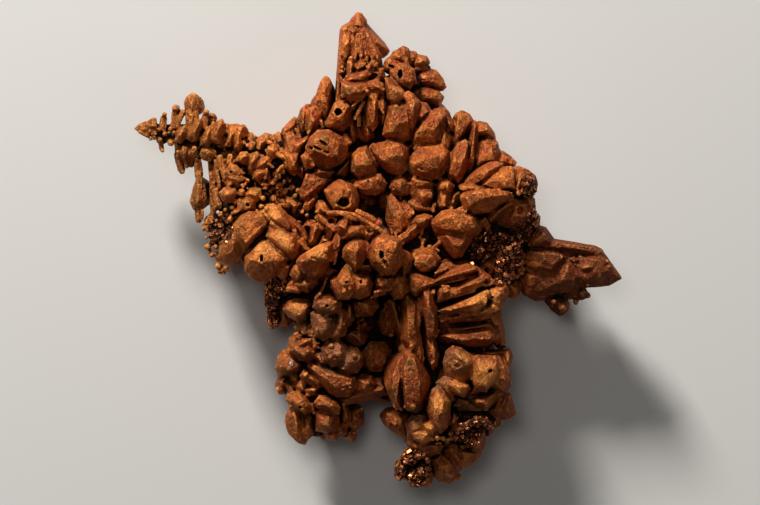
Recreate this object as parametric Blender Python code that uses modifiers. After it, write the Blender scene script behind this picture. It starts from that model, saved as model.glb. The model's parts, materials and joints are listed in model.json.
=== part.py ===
"""A crystallised native copper nugget, about 40 mm across, lying on its back.

The nugget is one piece of metal: a solid heart of rounded lumps, with arms that
reach west, north, east and south, and crystals grown over all of it. Every crystal
is a block that flat faces are cut from, and all of them are joined in one solid.
Lengths in the tables are in millimetres, and the solid is built in metres.
East is +X, north is +Y, and +Z is up, towards the side with the finest crystals.
"""

import math
import random

import bmesh
import bpy
from mathutils import Matrix, Vector

MM = 0.001                  # metres in a millimetre
FLOOR = -5.9                # height of the surface that it lies on, below the middle plane
SEED = 1849

END_FACETS = 4              # slanting facets round a crystal's end
END_TURN = (0.3, 1.2)       # where the first of them faces, in radians
END_JITTER = 0.25
CREST_LEAN = (0.5, 0.95)    # slope of the facets beside a crystal's crest
CREST_FLAT = (0.12, 0.34)   # half width of the flat crest, for each unit of width
FILL = 1.12                 # how much wider a crystal is before its edges are cut
SEAM = 0.00018              # size of the grid that fuses the seams between crystals
TRIANGLES = 9600            # what the joined surface is thinned to
ROOT_CUT_FROM = 2.2         # crystals longer than this for their width have a cut root
ROLL = 0.22                 # how far a crystal is rolled about its own length
ROUND_UNDER = 0.12          # how much a lump's corners vary from an even ball

GOLDEN_ANGLE = math.pi * (3.0 - math.sqrt(5.0))
BACK_SPACING = 2.5          # distance between crystals on the sides and the underside
BACK_WIDTH = (2.1, 3.1)
BACK_ROOT = 1.2             # how deep in the heart such a crystal starts
BACK_HEIGHT = (0.4, 1.3)    # how far it stands out on the underside
BACK_TILT = 0.25
SIDE_HEIGHT = 0.25          # how far it stands out on a side
SIDE_TOP = 0.3              # where the sides end, as a part of a lump's half height

# A foot: x, y and width.
FEET = [
    (-6.8, 3.4, 3.4),
    (-2.6, 8.8, 3.2),
    (6.6, 7.6, 3.4),
    (9.0, -0.8, 3.0),
    (7.0, -11.6, 3.4),
    (-4.6, -8.8, 3.4),
    (-0.6, 0.6, 3.6),
]
FOOT_ROOT = 2.0
FOOT_OVER = 0.6             # how far a foot reaches below the floor before it is cut flat

# A crystal: habit, root (x, y, z), tip (x, y, z), width, and depth where it isn't the
# habit's own. z is the height of the crystal's upper crest over each end.

WEST_ARM = [
    ("spear", (-17.2, 10.1, 0.9), (-20.4, 10.25, 0.5), 1.6),
    ("block", (-19.2, 10.1, 0.6), (-19.3, 10.85, 0.3), 0.7),
    ("block", (-18.7, 10.1, 0.6), (-18.8, 11.15, 0.2), 0.65),
    ("bar", (-18.0, 10.0, 0.7), (-18.0, 11.65, 0.4), 0.75),
    ("bar", (-17.2, 10.0, 0.9), (-16.9, 12.4, 0.5), 0.95),
    ("bar", (-16.9, 10.0, 1.2), (-16.4, 11.9, 0.9), 0.5),
    ("leaf", (-15.8, 9.8, 1.0), (-15.5, 13.2, 0.5), 1.6),
    ("bar", (-14.9, 10.0, 1.4), (-14.3, 11.95, 1.0), 0.85),
    ("bar", (-14.4, 10.0, 0.9), (-13.9, 11.7, 0.3), 1.0),
    ("block", (-16.9, 9.1, 1.7), (-16.2, 10.4, 1.8), 0.85),
    ("bar", (-15.9, 9.2, 2.0), (-14.8, 11.0, 2.0), 0.75),
    ("block", (-14.8, 8.9, 1.9), (-14.2, 10.3, 2.1), 0.8),
    ("bar", (-13.9, 9.1, 2.2), (-13.2, 10.95, 2.0), 1.0),
    ("block", (-13.1, 9.3, 1.6), (-12.7, 10.7, 1.3), 0.75),
    ("bar", (-12.7, 8.7, 2.1), (-12.2, 10.3, 1.9), 0.55),
    ("bar", (-12.0, 8.4, 2.1), (-11.6, 10.5, 1.6), 0.75),
    ("block", (-11.2, 8.5, 2.0), (-11.1, 10.2, 1.5), 0.95),
    ("bar", (-10.6, 8.5, 1.9), (-10.6, 9.9, 1.5), 0.6),
    ("block", (-12.4, 9.7, 0.8), (-11.7, 10.7, 0.5), 0.8),
    ("block", (-18.8, 10.1, 0.5), (-19.1, 9.35, 0.4), 0.6),
    ("block", (-18.2, 10.0, 0.8), (-18.2, 8.2, 0.5), 0.65),
    ("block", (-17.3, 9.9, 1.0), (-17.35, 8.6, 0.9), 0.85),
    ("bar", (-16.7, 9.4, 0.4), (-16.8, 7.4, 0.5), 0.7),
    ("block", (-16.2, 9.2, 1.2), (-16.3, 7.9, 1.1), 0.7),
    ("leaf", (-16.3, 8.4, -0.1), (-16.4, 6.4, 0.0), 0.8),
    ("block", (-15.4, 9.2, 1.2), (-15.4, 8.1, 1.2), 0.65),
    ("block", (-14.9, 8.3, 1.5), (-13.7, 8.0, 1.3), 0.95),
    ("block", (-16.3, 8.1, 0.2), (-14.6, 8.0, 0.3), 1.2),
    ("bar", (-15.1, 8.4, 0.3), (-15.0, 5.4, 0.4), 0.6),
    ("bar", (-14.9, 6.4, 0.6), (-15.1, 4.3, 0.8), 0.8),
    ("block", (-15.1, 5.2, 0.9), (-15.2, 3.4, 0.8), 1.2),
    ("bar", (-15.1, 4.0, 0.5), (-14.8, 2.0, 0.6), 0.7),
    ("bar", (-14.2, 8.3, 0.2), (-14.0, 4.7, 0.5), 0.5),
    ("bar", (-13.8, 6.3, 1.0), (-13.8, 3.0, 1.1), 0.65),
]

WEST_BANK = [
    ("bar", (-13.4, 7.9, 1.4), (-13.3, 4.9, 1.9), 0.65),
    ("bar", (-12.9, 7.8, 1.6), (-12.8, 5.4, 2.2), 0.65),
    ("bar", (-13.4, 5.2, 2.2), (-13.2, 3.4, 2.4), 0.6),
    ("block", (-12.6, 6.3, 2.8), (-11.4, 6.8, 3.0), 1.0),
    ("block", (-12.3, 5.7, 2.9), (-11.1, 6.1, 3.0), 0.8),
    ("block", (-12.3, 7.2, 2.0), (-12.3, 8.1, 1.7), 0.6),
    ("block", (-12.0, 7.3, 2.1), (-10.9, 8.0, 2.3), 0.85),
    ("bar", (-10.7, 6.7, 2.1), (-10.2, 8.2, 2.0), 0.7),
    ("block", (-10.2, 6.5, 2.3), (-9.1, 7.6, 2.5), 0.95),
    ("bar", (-9.6, 6.0, 2.2), (-8.8, 7.4, 2.4), 0.55),
    ("block", (-8.5, 5.9, 2.2), (-7.8, 7.2, 2.5), 0.95),
    ("block", (-9.5, 8.0, 2.8), (-8.6, 8.6, 2.9), 0.75),
    ("block", (-10.3, 8.7, 1.8), (-8.9, 9.8, 1.3), 0.8),
    ("bar", (-9.9, 8.2, 2.2), (-9.2, 9.4, 1.9), 0.65),
    ("bar", (-8.8, 7.5, 2.4), (-7.7, 8.4, 2.6), 0.65),
    ("block", (-8.4, 9.1, 1.6), (-8.4, 10.0, 1.1), 0.6),
    ("block", (-13.1, 4.2, 3.2), (-11.9, 4.9, 3.4), 0.95),
    ("block", (-11.7, 4.7, 3.1), (-10.9, 5.3, 3.0), 0.85),
    ("block", (-12.4, 3.9, 2.8), (-11.5, 4.5, 2.8), 0.8),
    ("block", (-11.0, 4.3, 3.3), (-9.8, 4.9, 3.2), 0.85),
    ("block", (-9.9, 4.1, 3.2), (-9.5, 4.6, 3.3), 0.65),
    ("bar", (-11.8, 3.2, 3.5), (-10.5, 4.3, 3.7), 0.8),
    ("block", (-10.1, 3.2, 3.6), (-9.5, 3.8, 3.8), 0.6),
    ("block", (-12.8, 2.3, 3.1), (-11.9, 3.1, 3.4), 0.8),
    ("block", (-13.3, 2.9, 2.6), (-12.5, 3.6, 2.8), 0.7),
    ("block", (-14.7, 2.2, 1.8), (-13.4, 2.4, 2.2), 0.9),
    ("block", (-14.3, 1.1, 2.0), (-13.3, 1.6, 2.4), 1.0),
    ("block", (-13.2, 1.2, 2.6), (-12.5, 2.0, 2.8), 0.8),
    ("block", (-14.5, 0.4, 2.0), (-14.0, -0.6, 1.9), 0.8),
    ("block", (-13.9, 0.4, 2.2), (-13.3, -0.1, 2.2), 0.7),
    ("block", (-13.3, -0.6, 1.8), (-13.6, -1.7, 1.6), 0.7),
    ("block", (-13.1, -1.1, 1.6), (-12.7, -2.1, 1.7), 0.75),
    ("block", (-12.6, 2.0, 3.6), (-12.1, -1.1, 4.3), 2.1, 3.4),
    ("block", (-11.6, 1.0, 4.8), (-9.3, 2.7, 5.4), 2.1, 3.4),
    ("block", (-9.0, 0.8, 4.8), (-9.9, -2.5, 5.8), 2.3, 3.6),
    ("bar", (-8.3, -0.5, 4.8), (-7.7, -1.9, 4.7), 1.1),
    ("bar", (-9.0, 1.6, 5.4), (-7.0, -0.4, 5.8), 1.25),
    ("bar", (-9.4, 3.5, 5.0), (-7.1, 1.4, 5.5), 1.25),
    ("bar", (-8.2, 3.3, 4.4), (-5.9, 0.7, 4.9), 0.65),
    ("bar", (-7.0, 1.1, 4.8), (-5.8, -0.2, 5.1), 0.75),
]

NORTH_WEST = [
    ("spear", (-4.8, 9.8, 2.3), (-4.3, 14.5, 2.2), 1.3),
    ("leaf", (-5.8, 9.2, 2.9), (-5.1, 12.8, 2.9), 1.15),
    ("leaf", (-6.4, 9.4, 2.2), (-6.0, 12.3, 1.9), 1.0),
    ("spear", (-7.4, 8.4, 2.2), (-7.0, 11.2, 1.8), 1.2),
    ("block", (-7.9, 9.2, 1.7), (-7.7, 10.6, 1.4), 0.75),
    ("bar", (-7.4, 9.6, 2.9), (-7.1, 6.4, 3.8), 1.15),
    ("bar", (-6.9, 8.0, 3.3), (-5.8, 9.6, 3.5), 0.65),
    ("block", (-7.9, 7.8, 2.7), (-7.7, 6.8, 2.8), 0.65),
    ("block", (-6.8, 7.3, 3.0), (-6.2, 6.2, 3.1), 1.05),
    ("block", (-5.6, 8.2, 5.2), (-2.8, 8.6, 5.4), 2.6, 3.6),
    ("block", (-6.3, 7.9, 4.2), (-5.3, 7.5, 4.4), 1.0),
    ("bar", (-5.4, 6.4, 4.2), (-3.6, 6.8, 4.4), 0.8),
    ("block", (-5.9, 5.6, 3.9), (-3.9, 6.1, 4.2), 1.2),
    ("bar", (-6.3, 4.6, 3.8), (-4.1, 5.7, 4.2), 0.75),
    ("block", (-6.9, 4.7, 2.8), (-6.2, 5.2, 3.0), 0.75),
    ("block", (-7.5, 3.8, 2.5), (-6.6, 3.6, 2.6), 1.2),
    ("block", (-6.2, 3.8, 3.3), (-5.1, 4.4, 3.5), 0.75),
    ("block", (-6.2, 2.1, 3.7), (-5.6, 1.7, 3.8), 0.9),
    ("block", (-2.5, 8.4, 4.0), (-3.2, 6.2, 4.2), 1.2),
]

SPIRE = [
    ("spear", (-1.8, 11.6, 2.8), (-1.6, 19.9, 1.5), 4.6, 3.6),
    ("bar", (-3.4, 11.6, 2.4), (-2.9, 18.9, 1.5), 1.0),
    ("leaf", (-2.8, 15.2, 3.0), (-2.6, 18.7, 2.3), 0.95),
    ("block", (-1.9, 18.2, 2.2), (-1.65, 19.8, 1.6), 1.5),
    ("bar", (-1.3, 19.2, 1.5), (0.65, 16.5, 2.0), 1.0, 1.8),
    ("bar", (-1.7, 18.3, 2.8), (-1.2, 15.4, 3.3), 0.75),
    ("bar", (-1.2, 18.0, 2.6), (0.1, 15.4, 3.0), 0.65),
    ("block", (-2.5, 15.9, 3.3), (-2.2, 14.8, 3.5), 0.85),
    ("block", (-1.6, 15.7, 3.6), (-1.3, 14.9, 3.7), 0.85),
    ("bar", (-2.3, 13.6, 4.0), (-0.7, 15.2, 4.0), 0.85),
    ("block", (-0.7, 14.3, 4.0), (0.5, 14.8, 3.9), 1.2),
    ("block", (-3.0, 13.6, 4.2), (-0.8, 13.4, 4.6), 1.4),
    ("bar", (-0.8, 14.1, 4.4), (0.7, 13.4, 4.2), 0.55),
    ("block", (-3.3, 12.6, 4.1), (-3.6, 10.1, 4.4), 1.8),
    ("bar", (-1.5, 12.6, 4.2), (-3.0, 10.8, 4.1), 0.5),
    ("block", (-2.2, 11.2, 3.2), (-2.1, 9.1, 3.4), 1.15),
    ("block", (-0.9, 11.2, 3.4), (-0.8, 9.1, 3.5), 1.15),
    ("leaf", (-0.6, 13.6, 4.0), (-0.35, 10.1, 4.6), 1.1),
    ("bar", (-1.1, 12.8, 3.7), (-1.8, 10.9, 3.7), 0.45),
    ("block", (0.1, 12.7, 3.2), (0.8, 10.9, 3.3), 0.9),
]

CROWN = [
    ("block", (2.6, 15.2, 2.9), (0.6, 15.6, 2.6), 1.0),
    ("bar", (2.5, 15.3, 3.1), (1.0, 16.5, 2.4), 0.65),
    ("block", (2.4, 15.2, 3.2), (2.15, 17.0, 2.4), 0.95),
    ("block", (2.6, 15.3, 2.8), (3.0, 16.6, 2.2), 0.75),
    ("block", (2.6, 15.4, 2.6), (4.15, 16.0, 2.0), 0.95),
    ("bar", (2.5, 15.2, 2.4), (4.2, 15.5, 1.9), 0.7),
    ("block", (1.5, 15.4, 3.7), (2.0, 13.8, 4.0), 1.35),
    ("block", (2.5, 15.1, 3.2), (2.8, 13.6, 3.5), 1.05),
    ("block", (3.0, 14.5, 2.4), (5.5, 14.1, 2.0), 1.45),
    ("block", (2.9, 13.4, 2.6), (5.35, 12.8, 2.4), 1.25),
    ("block", (4.0, 12.5, 1.9), (5.3, 12.0, 1.6), 0.95),
    ("spear", (1.6, 12.4, 4.8), (0.6, 14.3, 4.2), 1.25),
    ("block", (1.9, 12.6, 4.6), (1.6, 9.2, 5.3), 2.0, 3.2),
    ("bar", (2.5, 13.0, 4.2), (2.9, 10.2, 4.7), 0.9),
    ("block", (3.9, 12.3, 3.7), (3.3, 10.3, 4.2), 1.3),
    ("bar", (5.8, 11.6, 3.3), (3.1, 9.1, 4.8), 1.5, 2.4),
    ("bar", (6.2, 11.0, 2.9), (5.8, 8.5, 3.8), 0.95),
    ("leaf", (6.2, 8.1, 3.5), (7.3, 11.6, 2.3), 1.5),
    ("block", (7.5, 10.7, 1.7), (7.5, 8.8, 2.4), 0.95),
    ("leaf", (7.8, 6.1, 4.0), (8.3, 10.9, 2.7), 0.85),
    ("block", (8.2, 10.3, 2.8), (9.8, 9.4, 2.3), 1.0),
    ("block", (8.7, 9.9, 2.4), (9.7, 6.9, 4.0), 2.3, 3.2),
    ("block", (10.0, 8.3, 2.2), (11.5, 7.2, 2.6), 1.0),
    ("leaf", (6.7, 5.6, 4.6), (7.1, 9.2, 4.8), 1.4),
]

NORTH_FACE = [
    ("block", (2.7, 7.0, 4.8), (5.8, 7.8, 5.2), 2.4, 3.6),
    ("block", (-0.3, 8.4, 4.8), (2.3, 7.2, 5.2), 2.2, 3.6),
    ("block", (-1.3, 8.5, 4.8), (-1.1, 6.2, 5.0), 1.75),
    ("block", (-1.8, 5.3, 4.5), (0.5, 5.6, 4.6), 1.3),
    ("block", (1.2, 5.3, 4.3), (2.5, 5.6, 4.5), 1.35),
    ("block", (1.4, 4.4, 3.0), (2.4, 4.2, 3.0), 1.0),
    ("block", (2.9, 5.8, 4.4), (4.6, 5.5, 4.5), 0.85),
    ("block", (3.2, 5.5, 4.6), (3.8, 4.1, 4.7), 1.2),
    ("block", (3.8, 4.8, 4.4), (4.6, 4.6, 4.4), 0.9),
    ("block", (2.7, 3.9, 4.2), (4.4, 3.5, 4.3), 0.75),
    ("block", (5.6, 6.0, 4.6), (5.6, 4.8, 4.7), 1.25),
    ("bar", (5.5, 5.1, 4.5), (5.4, 3.4, 4.5), 0.85),
    ("bar", (6.7, 4.8, 4.0), (5.9, 3.6, 4.2), 0.75),
    ("block", (0.4, 4.9, 2.4), (1.0, 3.9, 2.4), 0.9),
    ("block", (-3.0, 5.7, 5.9), (-2.8, 3.2, 6.4), 2.1, 3.2),
    ("block", (-4.4, 5.0, 5.0), (-3.5, 4.4, 5.2), 0.95),
]

EAST_KNOB = [
    ("leaf", (7.5, 5.8, 5.7), (10.7, 7.2, 5.2), 0.9),
    ("block", (8.6, 5.5, 6.2), (11.2, 6.5, 6.0), 1.6),
    ("block", (11.1, 5.3, 5.4), (12.9, 6.2, 4.4), 2.1, 3.2),
    ("bar", (7.0, 5.1, 5.5), (8.7, 5.2, 5.8), 0.45),
    ("spear", (7.0, 4.2, 6.6), (11.6, 4.8, 6.2), 1.9, 2.6),
    ("block", (9.6, 2.8, 5.3), (12.4, 3.6, 4.8), 2.1, 3.4),
    ("bar", (9.2, 2.4, 5.4), (11.0, 4.3, 5.6), 0.5),
    ("block", (12.4, 5.0, 3.8), (13.0, 3.0, 3.2), 1.0),
    ("block", (12.2, 1.6, 3.2), (13.3, 2.6, 2.8), 1.2),
    ("block", (4.8, 2.2, 5.9), (8.5, 1.9, 6.3), 2.2, 3.6),
    ("block", (6.3, 2.2, 5.8), (6.6, -0.5, 5.6), 1.8),
    ("block", (7.0, 1.2, 5.4), (7.6, 0.2, 5.2), 0.9),
    ("block", (2.8, 2.2, 4.5), (4.5, 2.6, 4.9), 1.15),
    ("bar", (3.2, 2.1, 4.4), (1.8, 0.3, 4.8), 0.8),
    ("bar", (1.3, 3.8, 3.0), (1.3, 1.1, 3.5), 0.65),
    ("bar", (2.0, 3.4, 3.3), (2.0, 1.0, 3.6), 0.65),
    ("bar", (2.1, 4.0, 3.2), (2.8, 2.4, 3.8), 0.6),
    ("bar", (4.5, 0.1, 4.4), (5.4, 1.0, 4.6), 0.45),
    ("block", (2.9, -0.9, 5.5), (5.0, -1.1, 5.9), 2.1, 3.4),
    ("block", (8.0, -0.6, 3.6), (8.8, 0.4, 3.8), 1.4),
    ("block", (9.1, 1.2, 3.7), (10.2, 0.1, 4.0), 1.5),
    ("block", (9.0, -1.2, 3.8), (10.2, -0.5, 4.0), 1.5),
    ("block", (10.3, 0.7, 4.0), (11.5, -0.4, 3.8), 1.7),
    ("block", (10.0, -2.3, 3.7), (11.4, -1.3, 3.5), 1.5),
    ("block", (11.4, 0.9, 3.6), (12.5, 1.8, 3.2), 1.6),
]

EAST_ARM = [
    ("leaf", (12.2, 1.1, 1.8), (19.0, 0.0, 1.4), 1.4, 2.4),
    ("block", (13.3, 1.9, 1.4), (14.4, 0.3, 1.9), 1.5),
    ("block", (11.9, -0.9, 2.4), (16.0, -0.5, 2.6), 2.3, 3.8),
    ("block", (15.0, -2.1, 2.2), (17.7, -0.9, 2.1), 2.5, 3.4),
    ("spear", (16.0, -0.9, 1.8), (20.35, -2.2, 1.0), 3.4, 3.2),
    ("block", (11.9, -2.1, 1.5), (14.7, -3.4, 1.5), 2.0, 3.2),
    ("block", (14.0, -2.4, 2.1), (15.5, -3.8, 1.7), 1.7),
    ("block", (15.2, -2.7, 1.7), (17.1, -3.2, 1.4), 1.3),
    ("block", (17.0, -1.4, 2.3), (18.1, -1.4, 2.1), 0.7),
    ("block", (16.8, -3.0, 1.0), (17.5, -4.1, 0.9), 0.95),
    ("block", (16.3, -3.4, 0.7), (16.7, -4.5, 0.6), 0.7),
    ("block", (14.4, -3.5, 0.8), (15.4, -5.3, 0.6), 1.0),
    ("block", (15.3, -3.4, 0.6), (15.8, -4.6, 0.5), 0.8),
    ("block", (14.5, -3.3, 0.7), (14.1, -4.3, 0.6), 0.8),
    ("block", (11.3, -2.2, 2.0), (11.4, -3.9, 1.7), 1.0),
]

CENTRE_KNOB = [
    ("block", (0.6, 1.2, 8.2), (0.5, -1.9, 8.6), 2.3, 4.4),
    ("block", (-1.7, 0.9, 8.2), (-1.9, -1.8, 8.4), 1.7, 4.4),
    ("block", (-1.6, -1.3, 7.4), (-0.6, -1.3, 7.4), 1.0),
    ("block", (-6.6, -1.0, 6.8), (-3.8, -0.1, 7.7), 2.0, 4.2),
    ("block", (-5.9, -2.0, 6.6), (-4.3, -1.3, 7.0), 1.1),
    ("block", (-6.9, -1.2, 5.9), (-6.4, -2.7, 6.0), 1.05),
    ("block", (-6.8, -3.0, 5.6), (-5.1, -2.5, 6.0), 0.95),
    ("block", (-2.8, -1.8, 7.7), (-2.7, -4.0, 7.8), 1.6, 3.6),
    ("block", (-1.3, -1.9, 7.4), (-1.5, -4.0, 7.6), 1.5, 3.6),
    ("block", (-0.2, -2.6, 7.0), (1.4, -2.6, 7.0), 1.25, 3.2),
    ("block", (1.1, -3.4, 6.2), (2.3, -2.9, 6.3), 1.35),
    ("bar", (-0.8, -3.6, 6.8), (0.6, -3.2, 6.6), 0.6),
    ("block", (2.1, 0.1, 6.7), (2.0, -2.2, 6.9), 1.15),
    ("block", (-3.5, 2.0, 7.8), (-2.4, 2.4, 8.0), 0.9),
    ("block", (-3.0, 1.3, 7.8), (-0.9, 1.7, 8.0), 1.05),
    ("bar", (-2.6, 2.3, 7.8), (-1.4, 2.6, 7.7), 0.7),
    ("bar", (-4.1, 3.2, 6.9), (-2.1, 3.1, 7.4), 0.6),
    ("bar", (-2.4, 3.1, 7.4), (-0.7, 2.2, 7.5), 0.6),
    ("bar", (-1.0, 2.35, 7.5), (1.1, 1.0, 7.5), 0.6),
    ("bar", (-1.8, 3.3, 6.3), (-0.1, 2.3, 6.3), 0.7),
    ("bar", (-1.2, 0.8, 7.8), (-0.3, 1.8, 7.6), 0.65),
    ("block", (-3.2, 1.6, 7.4), (-3.4, 0.2, 7.3), 0.85),
    ("bar", (-5.0, 2.9, 6.4), (-3.5, 1.7, 6.8), 0.6),
    ("block", (-5.0, 3.6, 5.9), (-4.1, 3.1, 6.3), 0.95),
    ("block", (-4.2, 2.2, 6.3), (-3.9, 1.0, 6.3), 0.75),
    ("leaf", (-5.0, 2.2, 5.3), (-5.6, 0.3, 5.4), 0.85),
    ("block", (2.6, -1.9, 6.4), (3.1, -3.9, 6.6), 1.2),
    ("bar", (3.0, -2.4, 6.3), (5.0, -2.8, 6.0), 0.75),
]

SOUTH_EAST = [
    ("bar", (4.7, -2.1, 5.4), (6.6, -1.4, 5.4), 0.8),
    ("bar", (4.6, -2.9, 6.2), (8.3, -1.5, 6.0), 1.0),
    ("bar", (4.9, -3.9, 6.5), (9.0, -2.4, 6.3), 0.95),
    ("bar", (7.8, -1.4, 5.8), (9.6, -2.9, 5.5), 0.8),
    ("bar", (5.0, -5.0, 6.3), (9.2, -3.7, 6.5), 1.05),
    ("block", (9.3, -2.6, 5.3), (9.9, -4.9, 5.1), 1.6, 3.4),
    ("bar", (5.0, -5.8, 5.5), (9.5, -5.3, 5.5), 0.85),
    ("bar", (5.6, -6.7, 5.3), (9.2, -6.1, 5.3), 0.65),
    ("leaf", (5.0, -7.3, 5.3), (10.1, -7.1, 5.3), 1.5),
    ("bar", (9.8, -5.3, 4.3), (10.4, -8.1, 4.0), 0.9),
    ("bar", (2.8, -3.6, 5.9), (2.8, -8.4, 6.1), 1.05),
    ("bar", (4.1, -3.0, 6.1), (4.4, -7.3, 6.1), 1.05),
    ("bar", (3.5, -3.8, 5.1), (3.5, -9.4, 5.3), 0.5),
    ("bar", (4.3, -6.8, 5.5), (4.6, -10.0, 5.2), 0.85),
    ("bar", (1.6, -4.1, 4.2), (2.3, -8.0, 4.6), 0.7),
    ("block", (1.0, -4.3, 3.0), (0.7, -7.2, 2.8), 1.1),
    ("leaf", (2.1, -8.6, 5.7), (1.7, -13.2, 6.2), 1.6, 2.6),
    ("block", (2.8, -8.4, 6.3), (3.0, -13.6, 6.8), 2.1, 3.8),
    ("block", (0.8, -13.0, 2.4), (2.0, -15.6, 2.4), 1.7),
    ("block", (6.2, -8.1, 5.4), (6.9, -11.0, 5.9), 2.2, 3.6),
    ("block", (5.1, -11.2, 5.5), (7.4, -11.9, 5.9), 1.5, 3.2),
    ("block", (6.3, -12.5, 4.6), (7.8, -12.8, 4.6), 1.2),
    ("block", (8.9, -8.8, 6.0), (8.6, -11.9, 6.3), 1.8, 3.6),
    ("block", (10.1, -8.6, 5.1), (10.2, -12.1, 5.2), 1.5, 3.2),
    ("block", (10.9, -8.3, 3.8), (10.9, -10.1, 3.9), 0.85),
    ("block", (9.0, -8.5, 3.9), (10.9, -8.3, 3.6), 1.0),
    ("block", (8.0, -12.6, 5.0), (9.7, -12.4, 5.3), 1.25),
    ("block", (10.2, -11.9, 4.3), (10.7, -14.1, 4.0), 1.6),
    ("leaf", (4.8, -11.5, 6.2), (5.3, -15.3, 6.5), 1.8, 3.0),
    ("block", (2.6, -14.2, 5.3), (4.4, -14.0, 5.6), 1.4),
    ("block", (3.0, -15.5, 5.5), (4.8, -14.8, 5.8), 1.15),
    ("block", (2.6, -15.8, 4.5), (5.0, -16.7, 4.5), 1.4),
    ("block", (4.9, -15.4, 5.4), (5.8, -15.8, 5.3), 0.7),
    ("block", (5.9, -15.2, 5.1), (7.3, -14.7, 5.0), 0.8),
    ("block", (7.0, -14.7, 4.9), (8.4, -14.3, 4.8), 0.9),
    ("block", (8.0, -14.3, 4.6), (9.5, -14.6, 4.2), 1.0),
    ("spear", (8.1, -15.0, 4.4), (8.6, -16.8, 4.1), 1.5),
    ("block", (6.3, -16.9, 3.6), (8.4, -17.1, 3.2), 1.8),
    ("block", (5.3, -16.9, 3.8), (5.8, -19.4, 3.3), 2.1, 3.0),
    ("block", (6.4, -18.2, 2.6), (6.9, -19.2, 2.4), 0.9),
    ("block", (2.8, -17.0, 4.0), (3.6, -19.4, 3.8), 1.9, 3.0),
    ("block", (2.3, -18.0, 3.4), (1.5, -18.7, 3.0), 1.1),
    ("block", (2.1, -17.5, 3.8), (2.9, -16.6, 4.0), 1.1),
    ("block", (3.0, -19.0, 3.2), (4.3, -19.3, 3.0), 1.0),
]

SOUTH_WEST = [
    ("block", (-7.6, -4.9, 3.9), (-5.5, -4.9, 4.3), 1.6, 3.0),
    ("block", (-5.2, -4.6, 5.5), (-3.2, -4.4, 6.0), 1.5, 3.2),
    ("block", (-4.7, -4.9, 5.1), (-4.5, -7.4, 4.9), 1.85, 3.0),
    ("bar", (-2.9, -4.6, 4.9), (-3.1, -7.3, 4.7), 1.0),
    ("bar", (-2.3, -4.2, 4.4), (-2.5, -6.5, 4.2), 0.85),
    ("block", (-2.0, -4.8, 3.6), (-0.1, -4.7, 3.1), 1.4),
    ("block", (-2.7, -7.0, 2.4), (-1.1, -7.5, 2.0), 1.25),
    ("block", (-1.0, -8.4, 0.6), (1.0, -9.3, 0.6), 2.1),
    ("block", (-4.7, -8.8, 4.0), (-2.6, -8.4, 4.2), 1.75),
    ("block", (-3.2, -9.7, 4.0), (-1.5, -8.8, 4.0), 1.7),
    ("block", (-7.1, -8.6, 3.7), (-5.2, -8.0, 4.2), 1.45),
    ("block", (-6.8, -6.2, 3.4), (-5.4, -6.6, 3.8), 1.0),
    ("block", (-6.9, -7.2, 3.2), (-5.3, -7.2, 3.8), 0.9),
    ("block", (-7.4, -7.4, 2.4), (-6.9, -8.3, 2.6), 0.9),
    ("block", (-5.2, -7.9, 3.9), (-4.8, -9.5, 3.9), 1.0),
    ("block", (-8.4, -9.9, 2.6), (-6.4, -9.4, 3.2), 1.7),
    ("block", (-8.2, -10.3, 2.0), (-8.0, -12.1, 1.8), 0.95),
    ("block", (-7.6, -10.5, 2.4), (-7.0, -11.5, 2.4), 0.9),
    ("block", (-6.4, -10.4, 3.2), (-5.1, -11.0, 3.4), 0.9),
    ("block", (-6.9, -11.4, 3.0), (-5.9, -11.6, 3.2), 0.85),
    ("block", (-6.0, -11.8, 3.1), (-4.9, -11.4, 3.2), 0.85),
    ("spear", (-2.0, -11.5, 3.9), (-6.2, -9.3, 4.1), 2.0),
    ("block", (-1.9, -11.3, 3.2), (-0.2, -11.2, 3.2), 1.4),
    ("block", (-0.3, -11.4, 2.2), (1.1, -11.5, 2.2), 1.35),
    ("block", (-3.7, -12.1, 2.8), (-0.9, -12.4, 2.6), 1.2),
    ("block", (-7.5, -12.3, 3.0), (-5.8, -13.1, 3.2), 1.35),
    ("leaf", (-6.9, -12.8, 2.5), (-6.7, -16.1, 2.3), 1.6),
    ("leaf", (-5.9, -13.2, 2.5), (-6.0, -15.9, 2.3), 0.9),
    ("block", (-5.1, -12.6, 3.8), (-3.4, -12.9, 4.0), 1.3),
    ("block", (-4.5, -13.1, 3.4), (-4.5, -15.4, 3.2), 1.65),
    ("block", (-4.5, -15.2, 2.6), (-3.3, -15.6, 2.6), 0.9),
    ("block", (-3.4, -13.1, 2.2), (-3.0, -15.5, 2.2), 1.6),
    ("block", (-2.4, -12.8, 1.4), (-1.8, -15.0, 1.4), 1.25),
    ("block", (-2.6, -14.8, 1.2), (-2.3, -15.8, 1.1), 0.8),
    ("block", (-8.9, -2.6, 2.4), (-7.4, -3.3, 2.9), 1.6),
    ("block", (-8.7, -3.2, 2.0), (-9.1, -5.0, 1.8), 1.0),
    ("block", (-8.8, -4.6, 1.6), (-8.9, -6.3, 1.5), 0.8),
    ("block", (-7.9, -3.8, 1.8), (-7.8, -6.2, 1.6), 1.2),
]

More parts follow.
